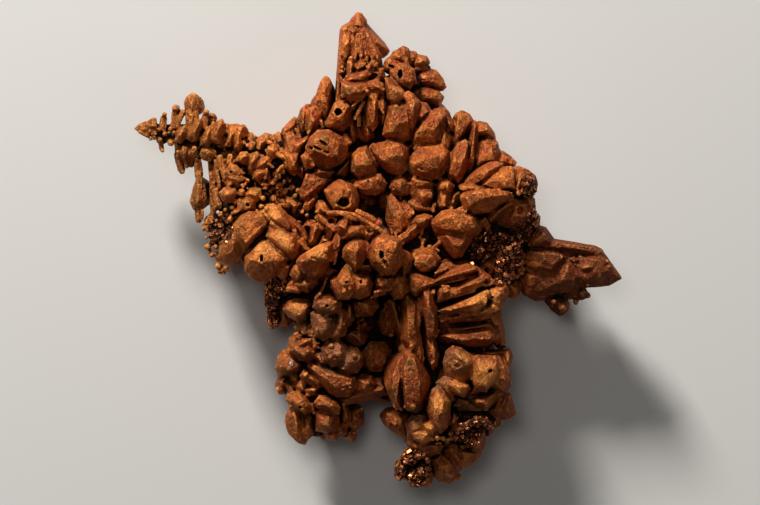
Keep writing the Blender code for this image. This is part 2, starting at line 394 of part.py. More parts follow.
# The solid heart under the crystals: middle (x, y, z) and half sizes (x, y, z).
HEART = [
    ((-0.5, 9.0, -0.8), (5.6, 4.2, 4.3)),
    ((6.2, 7.4, -0.8), (4.8, 3.6, 4.2)),
    ((-1.6, 0.6, -0.2), (4.9, 4.3, 5.4)),
    ((6.0, 0.6, -0.2), (5.2, 5.2, 5.0)),
    ((10.6, 2.6, 0.0), (2.8, 4.2, 4.0)),
    ((6.8, -5.6, -0.2), (3.0, 4.4, 4.6)),
    ((6.6, -11.6, -0.2), (4.0, 4.6, 4.6)),
    ((5.2, -16.4, 0.8), (2.8, 2.6, 2.2)),
    ((-3.6, -3.6, 0.2), (4.0, 4.0, 4.6)),
    ((-4.9, -9.0, -0.8), (3.0, 3.6, 3.6)),
    ((-4.8, -13.0, 0.0), (2.4, 2.4, 2.2)),
    ((-8.6, 1.6, 0.0), (3.8, 3.4, 4.2)),
    ((-9.6, 5.8, -0.8), (4.0, 2.6, 2.4)),
    ((-1.8, 14.4, 0.9), (1.7, 3.4, 1.5)),
    ((2.6, 14.2, 0.8), (2.0, 1.8, 1.4)),
    ((-13.0, 9.4, 0.2), (4.4, 0.95, 1.1)),
    ((-16.6, 9.7, 0.0), (2.4, 0.8, 0.8)),
    ((14.6, -1.3, 0.0), (3.6, 2.0, 1.9)),
    ((-12.9, 2.6, 0.8), (1.4, 2.4, 1.4)),
    ((1.5, -7.0, -2.2), (4.2, 5.0, 2.6)),
    ((-5.6, 5.4, -1.0), (3.4, 3.4, 3.6)),
    ((1.6, 4.6, -1.2), (4.2, 2.8, 3.6)),
    ((-7.6, -1.6, -0.8), (2.6, 3.4, 2.8)),
    ((-8.0, 8.2, 0.0), (2.6, 1.4, 1.4)),
    ((3.6, -1.6, -0.6), (3.6, 3.2, 4.2)),
    ((3.6, 11.0, -0.4), (3.4, 2.4, 2.6)),
    ((0.8, -10.6, -0.8), (3.4, 3.4, 2.4)),
]

# How long a habit's end facets are, and how much of the end they take off.
HABITS = {
    "block": {"steep": (0.8, 1.5), "taken": (0.35, 0.75), "depth": 1.5},
    "bar": {"steep": (0.9, 1.6), "taken": (0.35, 0.65), "depth": 1.5},
    "leaf": {"steep": (0.40, 0.6), "taken": (0.80, 0.95), "depth": 1.3},
    "spear": {"steep": (0.28, 0.36), "taken": (0.93, 0.97), "depth": 0.95},
}

REGIONS = {
    "west_arm": WEST_ARM,
    "west_bank": WEST_BANK,
    "north_west": NORTH_WEST,
    "spire": SPIRE,
    "crown": CROWN,
    "north_face": NORTH_FACE,
    "east_knob": EAST_KNOB,
    "east_arm": EAST_ARM,
    "centre_knob": CENTRE_KNOB,
    "south_east": SOUTH_EAST,
    "south_west": SOUTH_WEST,
}


def make_material():
    """Old copper: a dull brown-orange metal."""
    material = bpy.data.materials.new("tarnished_copper")
    material.use_nodes = True
    shader = material.node_tree.nodes["Principled BSDF"]
    shader.inputs["Base Color"].default_value = (0.46, 0.19, 0.07, 1.0)
    shader.inputs["Metallic"].default_value = 1.0
    shader.inputs["Roughness"].default_value = 0.45
    return material


def make_collection(name):
    collection = bpy.data.collections.new(name)
    bpy.context.scene.collection.children.link(collection)
    return collection


def put_away(solid, name, collection):
    """Turns a bmesh into an object of a collection."""
    mesh = bpy.data.meshes.new(name)
    solid.to_mesh(mesh)
    solid.free()
    made = bpy.data.objects.new(name, mesh)
    collection.objects.link(made)
    return made


def cut_flat(solid, point, normal):
    """Takes away what lies beyond a plane, and closes the cut with one flat face."""
    whole = solid.verts[:] + solid.edges[:] + solid.faces[:]
    cut = bmesh.ops.bisect_plane(
        solid, geom=whole, dist=1e-8, plane_co=point, plane_no=normal, clear_outer=True
    )
    rim = [piece for piece in cut["geom_cut"] if isinstance(piece, bmesh.types.BMEdge)]
    if rim:
        bmesh.ops.contextual_create(solid, geom=rim)


def cut_end(solid, reach, half_width, half_depth, direction, habit, dice):
    """Cuts slanting facets round one end of a crystal."""
    turn = dice.uniform(*END_TURN)
    for number in range(END_FACETS):
        angle = turn + math.tau * number / END_FACETS + dice.uniform(-END_JITTER, END_JITTER)
        steep = dice.uniform(*habit["steep"])
        kept = 1.0 - dice.uniform(*habit["taken"])
        sideways = math.cos(angle)
        upwards = math.sin(angle)
        point = (reach, kept * half_width * sideways, kept * half_depth * upwards)
        cut_flat(solid, point, Vector((direction * steep, sideways, upwards)))


def carve_crystal(length, width, depth, habit, dice):
    """A crystal that runs along +X from the origin, with its upper crest at z = 0."""
    solid = bmesh.new()
    bmesh.ops.create_cube(solid, size=1.0)
    bmesh.ops.scale(solid, vec=(length, width, depth), verts=solid.verts)
    bmesh.ops.translate(solid, vec=(length / 2, 0.0, 0.0), verts=solid.verts)
    for side in (-1.0, 1.0):
        lean = dice.uniform(*CREST_LEAN)
        flat = width * dice.uniform(*CREST_FLAT)
        cut_flat(
            solid,
            (0.0, side * flat, depth / 2),
            Vector((0.0, side * math.sin(lean), math.cos(lean))),
        )
    cut_end(solid, length, width / 2, depth / 2, 1.0, habit, dice)
    if length > ROOT_CUT_FROM * width or habit is HABITS["block"]:
        cut_end(solid, 0.0, width / 2, depth / 2, -1.0, HABITS["block"], dice)
    bmesh.ops.translate(solid, vec=(0.0, 0.0, -depth / 2), verts=solid.verts)
    return solid


def aim(solid, root, tip, roll):
    """Turns a crystal from +X to the way from its root to its tip, and rolls it."""
    along = (tip - root).normalized()
    side = Vector((0.0, 0.0, 1.0)).cross(along)
    if side.length < 0.2:
        side = Vector((0.0, 1.0, 0.0)).cross(along)
    side.normalize()
    up = along.cross(side)
    turned = Matrix((along, side, up)).transposed().to_4x4()
    placed = Matrix.Translation(root) @ turned @ Matrix.Rotation(roll, 4, "X")
    bmesh.ops.transform(solid, matrix=placed, verts=solid.verts)


def grow(row, name, collection, dice):
    """One crystal of the tables."""
    habit_name, root, tip, width = row[:4]
    habit = HABITS[habit_name]
    depth = row[4] if len(row) > 4 else width * habit["depth"]
    root = Vector(root) * MM
    tip = Vector(tip) * MM
    solid = carve_crystal((tip - root).length, FILL * width * MM, depth * MM, habit, dice)
    aim(solid, root, tip, dice.uniform(-ROLL, ROLL))
    return put_away(solid, name, collection)


def make_lump(middle, half, name, collection, dice):
    """An uneven rounded lump of the solid heart."""
    solid = bmesh.new()
    bmesh.ops.create_icosphere(solid, subdivisions=2, radius=MM)
    for corner in solid.verts:
        corner.co *= 1.0 - dice.uniform(0.0, ROUND_UNDER)
    bmesh.ops.scale(solid, vec=half, verts=solid.verts)
    bmesh.ops.translate(solid, vec=Vector(middle) * MM, verts=solid.verts)
    return put_away(solid, name, collection)


def inside_heart(place, besides):
    """Whether a point is inside a lump other than the one named."""
    for lump in HEART:
        middle, half = lump
        if lump is besides:
            continue
        if sum(((place[i] - middle[i]) / half[i]) ** 2 for i in range(3)) < 1.0:
            return True
    return False


def lump_points(lump):
    """Evenly spread points of a lump's sides and underside, and the way that each faces."""
    middle, half = lump
    area = 4 * math.pi * (half[0] * half[1] + half[0] * half[2] + half[1] * half[2]) / 3
    count = int(area / BACK_SPACING**2)
    for number in range(count):
        height = 1.0 - 2.0 * (number + 0.5) / count
        if height > SIDE_TOP:
            continue
        ring = math.sqrt(1.0 - height**2)
        angle = GOLDEN_ANGLE * number
        out = (ring * math.cos(angle), ring * math.sin(angle), height)
        place = Vector([middle[i] + half[i] * out[i] for i in range(3)])
        if not inside_heart(place, lump):
            yield place, Vector([out[i] / half[i] for i in range(3)]).normalized()


def grow_outward(place, faces, height, width, name, collection, dice):
    """A blunt crystal that stands out of the heart."""
    root = place - faces * BACK_ROOT
    tip = place + faces * height
    solid = carve_crystal((tip - root).length * MM, width * MM, width * MM, HABITS["block"], dice)
    bmesh.ops.translate(solid, vec=(0.0, 0.0, width * MM / 2), verts=solid.verts)
    aim(solid, root * MM, tip * MM, dice.uniform(0.0, math.tau))
    put_away(solid, name, collection)


def grow_back(collection, dice):
    """Blunt crystals over the sides and the underside, where no crystal was placed by hand."""
    for number, lump in enumerate(HEART):
        for place, faces in lump_points(lump):
            under = max(0.0, -faces.z)
            faces += Vector([dice.uniform(-BACK_TILT, BACK_TILT) for _ in range(3)])
            height = SIDE_HEIGHT + under * dice.uniform(*BACK_HEIGHT)
            width = dice.uniform(*BACK_WIDTH)
            grow_outward(place, faces.normalized(), height, width, f"back_{number}", collection, dice)


def grow_feet(collection, dice):
    """The stout crystals that the nugget lies on."""
    for number, (x, y, width) in enumerate(FEET):
        place = Vector((x, y, FLOOR + FOOT_ROOT))
        down = Vector([dice.uniform(-BACK_TILT, BACK_TILT) / 2 for _ in range(2)] + [-1.0])
        grow_outward(
            place, down.normalized(), FOOT_ROOT + FOOT_OVER, width, f"foot_{number}", collection, dice
        )


def shells(solid):
    """The faces of each separate closed surface, the largest first."""
    left = set(solid.faces)
    found = []
    while left:
        start = left.pop()
        group = [start]
        for face in group:
            for edge in face.edges:
                for beside in edge.link_faces:
                    if beside in left:
                        left.remove(beside)
                        group.append(beside)
        found.append(group)
    return sorted(found, key=len, reverse=True)


def evaluated_mesh(made):
    """The mesh that an object has after its modifiers."""
    return bpy.data.meshes.new_from_object(
        made.evaluated_get(bpy.context.evaluated_depsgraph_get())
    )


def join(first, others):
    """Joins all crystals and lumps, fuses their seams, and thins the surface."""
    union = first.modifiers.new("grown together", "BOOLEAN")
    union.operation = "UNION"
    union.operand_type = "COLLECTION"
    union.collection = others
    union.solver = "EXACT"
    fused = first.modifiers.new("fused seams", "REMESH")
    fused.mode = "VOXEL"
    fused.voxel_size = SEAM
    thin = first.modifiers.new("thinned", "DECIMATE")
    thin.ratio = TRIANGLES / (2 * len(evaluated_mesh(first).polygons))
    return evaluated_mesh(first)


def finish(joined, collection, material):
    """Keeps the outer surface, cuts the feet flat, and stands them on the floor."""
    solid = bmesh.new()
    solid.from_mesh(joined)
    for group in shells(solid)[1:]:
        bmesh.ops.delete(solid, geom=group, context="FACES")
    cut_flat(solid, (0.0, 0.0, FLOOR * MM), Vector((0.0, 0.0, -1.0)))
    bmesh.ops.translate(solid, vec=(0.0, 0.0, -FLOOR * MM), verts=solid.verts)
    bmesh.ops.triangulate(solid, faces=solid.faces)
    nugget = put_away(solid, "copper_nugget", collection)
    nugget.data.materials.append(material)


def main():
    for old in list(bpy.data.objects):
        bpy.data.objects.remove(old)
    dice = random.Random(SEED)
    collection = make_collection("native_copper_nugget")
    crystals = make_collection("crystals")
    lumps = [
        make_lump(middle, half, f"heart_{number}", crystals, dice)
        for number, (middle, half) in enumerate(HEART)
    ]
    for region, rows in REGIONS.items():
        for number, row in enumerate(rows):
            grow(row, f"{region}_{number}", crystals, dice)
    grow_back(crystals, dice)
    grow_feet(crystals, dice)
    crystals.objects.unlink(lumps[0])
    collection.objects.link(lumps[0])
    joined = join(lumps[0], crystals)
    finish(joined, collection, make_material())
    for used in [*crystals.objects, lumps[0]]:
        bpy.data.objects.remove(used)
    bpy.data.collections.remove(crystals)


main()
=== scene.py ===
import json
import math
import random

import bmesh
import bpy
import numpy
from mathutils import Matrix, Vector

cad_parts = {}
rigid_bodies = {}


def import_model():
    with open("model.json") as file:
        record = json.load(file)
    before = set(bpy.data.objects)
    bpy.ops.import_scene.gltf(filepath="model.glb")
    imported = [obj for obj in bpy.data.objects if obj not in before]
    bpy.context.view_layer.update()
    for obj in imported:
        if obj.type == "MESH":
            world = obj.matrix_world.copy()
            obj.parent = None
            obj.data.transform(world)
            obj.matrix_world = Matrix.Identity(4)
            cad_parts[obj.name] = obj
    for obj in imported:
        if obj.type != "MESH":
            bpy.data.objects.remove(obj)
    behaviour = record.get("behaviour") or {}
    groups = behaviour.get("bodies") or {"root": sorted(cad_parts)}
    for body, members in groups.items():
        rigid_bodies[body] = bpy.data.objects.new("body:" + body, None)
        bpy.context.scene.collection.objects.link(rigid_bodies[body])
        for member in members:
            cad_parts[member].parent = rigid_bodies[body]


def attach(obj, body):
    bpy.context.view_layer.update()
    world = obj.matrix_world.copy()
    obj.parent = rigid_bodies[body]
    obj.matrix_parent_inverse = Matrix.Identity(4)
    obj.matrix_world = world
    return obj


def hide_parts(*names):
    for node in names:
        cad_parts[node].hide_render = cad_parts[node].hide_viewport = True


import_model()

# A crystallised lump of native copper, about 40 mm across. Each stretch of it is one piece, made of
# crystals that are fused, given a frosted skin and then aged, which paints shade into its gaps and
# highlight onto its edges along with its oxide and wear. All sizes are in millimetres, with x to the
# east, y to the north and z up from the middle plane.
mm = 0.001
floorLevel = -5.9           # the table it lies on
noHeart = -9.0              # stands for the heart's top where no heart lies below
goldenAngle = math.pi * (3 - math.sqrt(5))    # turns that never line up
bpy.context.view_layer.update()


def toLinear(code):
    parts = [int(code[i:i + 2], 16) / 255 for i in (1, 3, 5)]
    return tuple(((c + 0.055) / 1.055) ** 2.4 if c > 0.04045 else c / 12.92 for c in parts) + (1.0,)


def addNode(tree, kind, settings=None, links=None):
    node = tree.nodes.new(kind)
    for name, value in (settings or {}).items():
        setattr(node, name, value)
    for socket, value in (links or {}).items():
        if isinstance(value, bpy.types.NodeSocket):
            tree.links.new(value, node.inputs[socket])
        else:
            node.inputs[socket].default_value = value
    return node


def hullOf(points):
    solid = bmesh.new()
    for place in points:
        solid.verts.new(place)
    made = bmesh.ops.convex_hull(solid, input=solid.verts)
    unused = made["geom_interior"] + made["geom_unused"]
    inside = {item for item in unused if isinstance(item, bmesh.types.BMVert)}
    bmesh.ops.delete(solid, geom=list(inside), context="VERTS")
    return solid


def sliced(solid, place, outward):
    everything = list(solid.verts) + list(solid.edges) + list(solid.faces)
    bmesh.ops.bisect_plane(solid, geom=everything, plane_co=place, plane_no=outward, clear_outer=True)
    corners = [corner.co.copy() for corner in solid.verts]
    solid.free()
    return hullOf(corners)


# Small facets face any way but down, and each takes a share of the crystal's width.
def chipped(solid, count, share, dice):
    for _ in range(count):
        outward = Vector((dice.gauss(0, 1), dice.gauss(0, 1), abs(dice.gauss(0, 0.7)))).normalized()
        reach = [corner.co.dot(outward) for corner in solid.verts]
        taken = (max(reach) - min(reach)) * dice.uniform(*share)
        solid = sliced(solid, outward * (max(reach) - taken), outward)
    return solid


# Spots that are spread evenly over a ball.
def onBall(number, count, turn=0.0):
    height = 1 - 2 * (number + 0.5) / count
    ring = math.sqrt(1 - height**2)
    angle = turn + goldenAngle * number
    return ring * math.cos(angle), ring * math.sin(angle), height


# Seen from above, how far out of a lump's middle a place is; the lump ends at 1.
def outOf(lump, x, y):
    middle, half, kept = lump
    return ((x - middle[0]) / half[0]) ** 2 + ((y - middle[1]) / half[1]) ** 2


def heartTop(x, y):
    tops = [noHeart]
    for lump in heart["lumps"]:
        middle, half, kept = lump
        out = outOf(lump, x, y)
        if out < 1.0:
            tops.append(middle[2] + kept * half[2] * math.sqrt(1.0 - out))
    return max(tops)


def towardHeart(x, y):
    nearest = min(heart["lumps"], key=lambda lump: outOf(lump, x, y))
    way = Vector((nearest[0][0] - x, nearest[0][1] - y))
    return way / max(1.0, way.length)


# A crystal's depth and wall grow with its width. "under" narrows it step by step below the rim, and
# "roofs" are the large facets that meet at its crest.
gemStyle = {
    "depth": 0.8, "edgeDepth": 1.1, "leastDepth": 1.2, "mostDepth": 4.2, "sink": 0.4,
    "wall": 0.22, "wallWidth": 3.0, "swell": 0.19, "swellWidth": 0.3, "rimRough": 0.12,
    "tuck": 0.3, "under": ((0.55, 0.88), (0.85, 0.62), (1.0, 0.35)), "underRough": (0.85, 1.1),
    "roofs": 3, "roofTurn": 0.25, "roofLean": (0.3, 0.72), "roofAway": (0.0, 0.12), "roofSize": 2.8,
    "chips": 4, "chipShare": (0.01, 0.05),
}


# Over the heart a crystal reaches down to it; beside the heart it narrows and leans in below its rim.
def gemSolid(top, drop, outline, crest, style, dice):
    middleX = sum(x for x, y in outline) / len(outline)
    middleY = sum(y for x, y in outline) / len(outline)
    size = max(math.dist((middleX, middleY), corner) for corner in outline) * 2
    rim = top - drop
    under = heartTop(middleX, middleY)
    depth = style["leastDepth"] + style["edgeDepth"] * size
    if under > noHeart:
        depth = max(style["leastDepth"], style["depth"] * size, rim - under + style["sink"])
    depth = min(depth, style["mostDepth"])
    inward = towardHeart(middleX, middleY) * style["tuck"] * depth
    points = [(spot[0], spot[1], top + (spot[2] if len(spot) > 2 else 0.0)) for spot in crest]
    waist = rim - style["wall"] * min(size, style["wallWidth"])
    for x, y in outline:
        outX, outY = x - middleX, y - middleY
        swell = 1 + style["swell"] / max(style["swellWidth"], math.hypot(outX, outY))
        rimX, rimY = middleX + outX * swell, middleY + outY * swell
        rough = dice.uniform(-style["rimRough"], style["rimRough"])
        points.append((rimX, rimY, rim + rough * drop))
        points.append((rimX, rimY, waist))
        for share, narrow in style["under"]:
            narrow *= dice.uniform(*style["underRough"])
            lowX = middleX + inward.x * share + outX * narrow
            lowY = middleY + inward.y * share + outY * narrow
            points.append((lowX, lowY, rim - depth * share))
    solid = hullOf(points)
    turn = dice.uniform(0, math.tau)
    for number in range(style["roofs"]):
        aside = dice.uniform(-style["roofTurn"], style["roofTurn"])
        angle = turn + math.tau * (number + aside) / style["roofs"]
        lean = dice.uniform(*style["roofLean"]) * min(1.0, style["roofSize"] / size)
        eastward, northward = math.sin(lean) * math.cos(angle), math.sin(lean) * math.sin(angle)
        away = size * dice.uniform(*style["roofAway"])
        ridge = Vector((middleX + away * math.cos(angle), middleY + away * math.sin(angle), top))
        solid = sliced(solid, ridge, Vector((eastward, northward, math.cos(lean))))
    return chipped(solid, style["chips"], style["chipShare"], dice)


# A rod's radius is a part of its width, and changes from its root to its neck and its tip.
rodStyle = {
    "sides": (4, 5, 6), "radius": 0.56, "root": 0.9, "neck": (0.9, 1.05), "tip": (0.35, 0.6),
    "rootAt": -0.05, "neckAt": 0.8, "rough": (0.9, 1.1), "chips": 2, "chipShare": (0.03, 0.08),
}


def rodSolid(root, tip, width, dice):
    low = Vector(root) - Vector((0, 0, width / 2))
    high = Vector(tip) - Vector((0, 0, width / 2))
    along = (high - low).normalized()
    side = along.cross(Vector((0, 0, 1))).normalized()
    over = side.cross(along)
    sides = dice.choice(rodStyle["sides"])
    turn = dice.uniform(0, math.tau)
    neck, end = dice.uniform(*rodStyle["neck"]), dice.uniform(*rodStyle["tip"])
    points = []
    for share, scale in ((rodStyle["rootAt"], rodStyle["root"]), (rodStyle["neckAt"], neck), (1.0, end)):
        middle = low.lerp(high, share)
        for number in range(sides):
            angle = turn + math.tau * number / sides
            radius = width * rodStyle["radius"] * scale * dice.uniform(*rodStyle["rough"])
            points.append(middle + side * radius * math.cos(angle) + over * radius * math.sin(angle))
    return chipped(hullOf(points), rodStyle["chips"], rodStyle["chipShare"], dice)


# Lumps are blunt and uneven; a ball is a lump with many corners, and rubble is small sunken ones.
lumpStyle = {
    "rough": (0.86, 1.08), "chips": 3, "chipShare": (0.04, 0.14), "ballCorners": 18,
    "rubbleHalf": (0.35, 0.75), "rubbleSunk": (0.0, 0.5), "rubbleCorners": (7, 9, 12),
}


def lumpSolid(middle, half, corners, dice):
    turn = dice.uniform(0, math.tau)
    points = []
    for number in range(corners):
        swell = dice.uniform(*lumpStyle["rough"])
        out = onBall(number, corners, turn)
        points.append([middle[i] + half[i] * out[i] * swell for i in range(3)])
    return chipped(hullOf(points), lumpStyle["chips"], lumpStyle["chipShare"], dice)


def ballSolid(x, y, top, size, dice):
    return lumpSolid((x, y, top - size / 2), (size / 2,) * 3, lumpStyle["ballCorners"], dice)


def rubbleSolids(row, dice):
    cx, cy, rx, ry, top, size, count = row
    solids = []
    for _ in range(count):
        angle, far = dice.uniform(0, math.tau), math.sqrt(dice.random())
        half = [size * dice.uniform(*lumpStyle["rubbleHalf"]) for _ in range(3)]
        x, y = cx + rx * far * math.cos(angle), cy + ry * far * math.sin(angle)
        z = top - half[2] - dice.uniform(*lumpStyle["rubbleSunk"]) * size
        solids.append(lumpSolid((x, y, z), half, dice.choice(lumpStyle["rubbleCorners"]), dice))
    return solids


# A groove is a V, narrow at the bottom, and a pit is a cone with a blunt end. Both start a lip above
# the crystal's top and go a little deeper than they say, as the facets slope.
cutStyle = {
    "below": 0.2, "lip": 0.7, "lipWide": 1.6, "ends": 0.3, "rise": 0.5, "full": (0.3, 0.7),
    "pitLip": 1.25, "pitEnd": 0.45, "pitRough": (0.7, 1.35), "pitCorners": 5,
}


def grooveSolid(start, end, width, depth, top):
    start, end = Vector(start), Vector(end)
    along = end - start
    side = Vector((-along.y, along.x)).normalized() * width / 2
    depth += cutStyle["below"]
    bottom, lip = top - depth, top + cutStyle["lip"]
    first, last = cutStyle["full"]
    points = []
    for share, narrow in ((0.0, cutStyle["ends"]), (first, 1.0), (last, 1.0), (1.0, cutStyle["ends"])):
        place = start.lerp(end, share)
        points.append((place.x, place.y, bottom + depth * (1 - narrow) * cutStyle["rise"]))
        for sign in (-1, 1):
            spot = place + side * sign * narrow * cutStyle["lipWide"]
            points.append((spot.x, spot.y, lip))
            spot = place + side * sign * narrow
            points.append((spot.x, spot.y, top))
    return hullOf(points)


def pitSolid(x, y, rx, ry, top, depth, dice):
    points = []
    turn = dice.uniform(0, math.tau)
    bottom = top - depth - cutStyle["below"]
    lip = top + cutStyle["lip"]
    for level, scale in ((lip, cutStyle["pitLip"]), (top, 1.0), (bottom, cutStyle["pitEnd"])):
        for number in range(cutStyle["pitCorners"]):
            angle = turn + math.tau * number / cutStyle["pitCorners"]
            reach = scale * dice.uniform(*cutStyle["pitRough"])
            points.append((x + rx * reach * math.cos(angle), y + ry * reach * math.sin(angle), level))
    return hullOf(points)


workbench = bpy.data.collections.new("workbench")
bpy.context.scene.collection.children.link(workbench)
weldWithin = 0.02    # corners closer than this are one


def putObject(name, mesh):
    made = bpy.data.objects.new(name, mesh)
    workbench.objects.link(made)
    return made


def putSolid(name, solid):
    bmesh.ops.remove_doubles(solid, verts=solid.verts, dist=weldWithin)
    corners = [corner.co.copy() for corner in solid.verts]
    solid.free()
    solid = hullOf(corners)
    bmesh.ops.recalc_face_normals(solid, faces=solid.faces)
    mesh = bpy.data.meshes.new(name)
    solid.to_mesh(mesh)
    solid.free()
    return putObject(name, mesh)


def plainMesh(made, name):
    graph = bpy.context.evaluated_depsgraph_get()
    mesh = bpy.data.meshes.new_from_object(made.evaluated_get(graph))
    mesh.name = name
    return mesh


def clearBench():
    for made in list(workbench.objects):
        mesh = made.data
        bpy.data.objects.remove(made)
        if mesh.users == 0:
            bpy.data.meshes.remove(mesh)


def boxOf(made):
    corners = [vertex.co for vertex in made.data.vertices]
    return [(min(c[i] for c in corners), max(c[i] for c in corners)) for i in range(3)]


def meet(boxA, boxB):
    return all(a[0] < b[1] and b[0] < a[1] for a, b in zip(boxA, boxB))


# Crystals are cut by the grooves and pits that reach them, and joined as loose shells in one mesh.
def joinedCrystals(name, solids, cutters):
    crystals = [putSolid(name, solid) for solid in solids]
    tools = [putSolid("cutter", solid) for solid in cutters]
    toolBoxes = [boxOf(tool) for tool in tools]
    for crystal in crystals:
        box = boxOf(crystal)
        for tool, toolBox in zip(tools, toolBoxes):
            if meet(box, toolBox):
                cut = crystal.modifiers.new("cut", "BOOLEAN")
                cut.operation = "DIFFERENCE"
                cut.solver = "MANIFOLD"
                cut.object = tool
    graph = bpy.context.evaluated_depsgraph_get()
    whole = bmesh.new()
    for crystal in crystals:
        whole.from_mesh(crystal.evaluated_get(graph).data)
    bmesh.ops.scale(whole, vec=(mm, mm, mm), verts=whole.verts)
    bmesh.ops.translate(whole, vec=(0, 0, -floorLevel * mm), verts=whole.verts)
    clearBench()
    mesh = bpy.data.meshes.new(name)
    whole.to_mesh(mesh)
    whole.free()
    return mesh


def nodeTree(name, sockets):
    tree = bpy.data.node_groups.new(name, "GeometryNodeTree")
    tree.interface.new_socket(name="Geometry", in_out="OUTPUT", socket_type="NodeSocketGeometry")
    tree.interface.new_socket(name="Geometry", in_out="INPUT", socket_type="NodeSocketGeometry")
    for label, kind, value in sockets:
        socket = tree.interface.new_socket(name=label, in_out="INPUT", socket_type=kind)
        if value is not None:
            socket.default_value = value
    return tree, tree.nodes.new("NodeGroupInput"), tree.nodes.new("NodeGroupOutput")


def giveNodes(made, tree, values):
    nodes = made.modifiers.new(tree.name, "NODES")
    nodes.node_group = tree
    for item in tree.interface.items_tree:
        if item.item_type == "SOCKET" and item.in_out == "INPUT" and item.name in values:
            nodes[item.identifier] = values[item.name]
    return nodes


# Gentle swells with grain on them, which is coarser than the real frosting, and none of either where
# the metal touches the table.
skin = {
    "Swell size": 0.9, "Swell depth": 0.04, "Grain size": 0.3, "Grain depth": 0.03,
    "Clear below": 0.15, "Full above": 0.9,
}


def frostedSkinTree():
    tree, given, result = nodeTree("frostedSkin", [
        *[(label, "NodeSocketFloat", value) for label, value in skin.items()],
        ("Seed", "NodeSocketFloat", 1.0)])
    place = addNode(tree, "GeometryNodeInputPosition").outputs[0]
    scaled = addNode(tree, "ShaderNodeVectorMath", {"operation": "SCALE"},
                     {0: place, "Scale": 1 / mm}).outputs[0]
    height = addNode(tree, "ShaderNodeSeparateXYZ", links={0: scaled}).outputs["Z"]
    rise = addNode(tree, "ShaderNodeMapRange", {"interpolation_type": "SMOOTHSTEP"}, {
        "Value": height, "From Min": given.outputs["Clear below"],
        "From Max": given.outputs["Full above"]}).outputs[0]
    total = None
    for size, depth, detail in (("Swell size", "Swell depth", 2.0), ("Grain size", "Grain depth", 3.0)):
        often = addNode(tree, "ShaderNodeMath", {"operation": "DIVIDE"},
                        {0: 1.0, 1: given.outputs[size]}).outputs[0]
        noise = addNode(tree, "ShaderNodeTexNoise", {"noise_dimensions": "4D"}, {
            "Vector": scaled, "W": given.outputs["Seed"], "Scale": often, "Detail": detail,
            "Roughness": 0.6}).outputs[0]
        even = addNode(tree, "ShaderNodeMath", {"operation": "SUBTRACT"}, {0: noise, 1: 0.5}).outputs[0]
        deep = addNode(tree, "ShaderNodeMath", {"operation": "MULTIPLY"},
                       {0: even, 1: given.outputs[depth]}).outputs[0]
        total = deep if total is None else \
            addNode(tree, "ShaderNodeMath", {"operation": "ADD"}, {0: total, 1: deep}).outputs[0]
    masked = addNode(tree, "ShaderNodeMath", {"operation": "MULTIPLY"}, {0: total, 1: rise}).outputs[0]
    # doubled, as the noise swings by a half
    metres = addNode(tree, "ShaderNodeMath", {"operation": "MULTIPLY"}, {0: masked, 1: 2 * mm}).outputs[0]
    normal = addNode(tree, "GeometryNodeInputNormal").outputs[0]
    shift = addNode(tree, "ShaderNodeVectorMath", {"operation": "SCALE"},
                    {0: normal, "Scale": metres}).outputs[0]
    moved = addNode(tree, "GeometryNodeSetPosition", links={"Geometry": given.outputs[0], "Offset": shift})
    tree.links.new(moved.outputs[0], result.inputs[0])
    return tree


# Each spot looks round with rays for metal that shelters it, which later darkens it with oxide and
# painted shade. It lies on an edge if it stands proud of where smoothing would put it; edges are later
# made brighter, partly as wear and partly as painted highlight.
shadeAndWear = {"rays": 14, "reach": 1.6, "rayStart": 0.05, "smoothings": 5, "proud": 0.08}


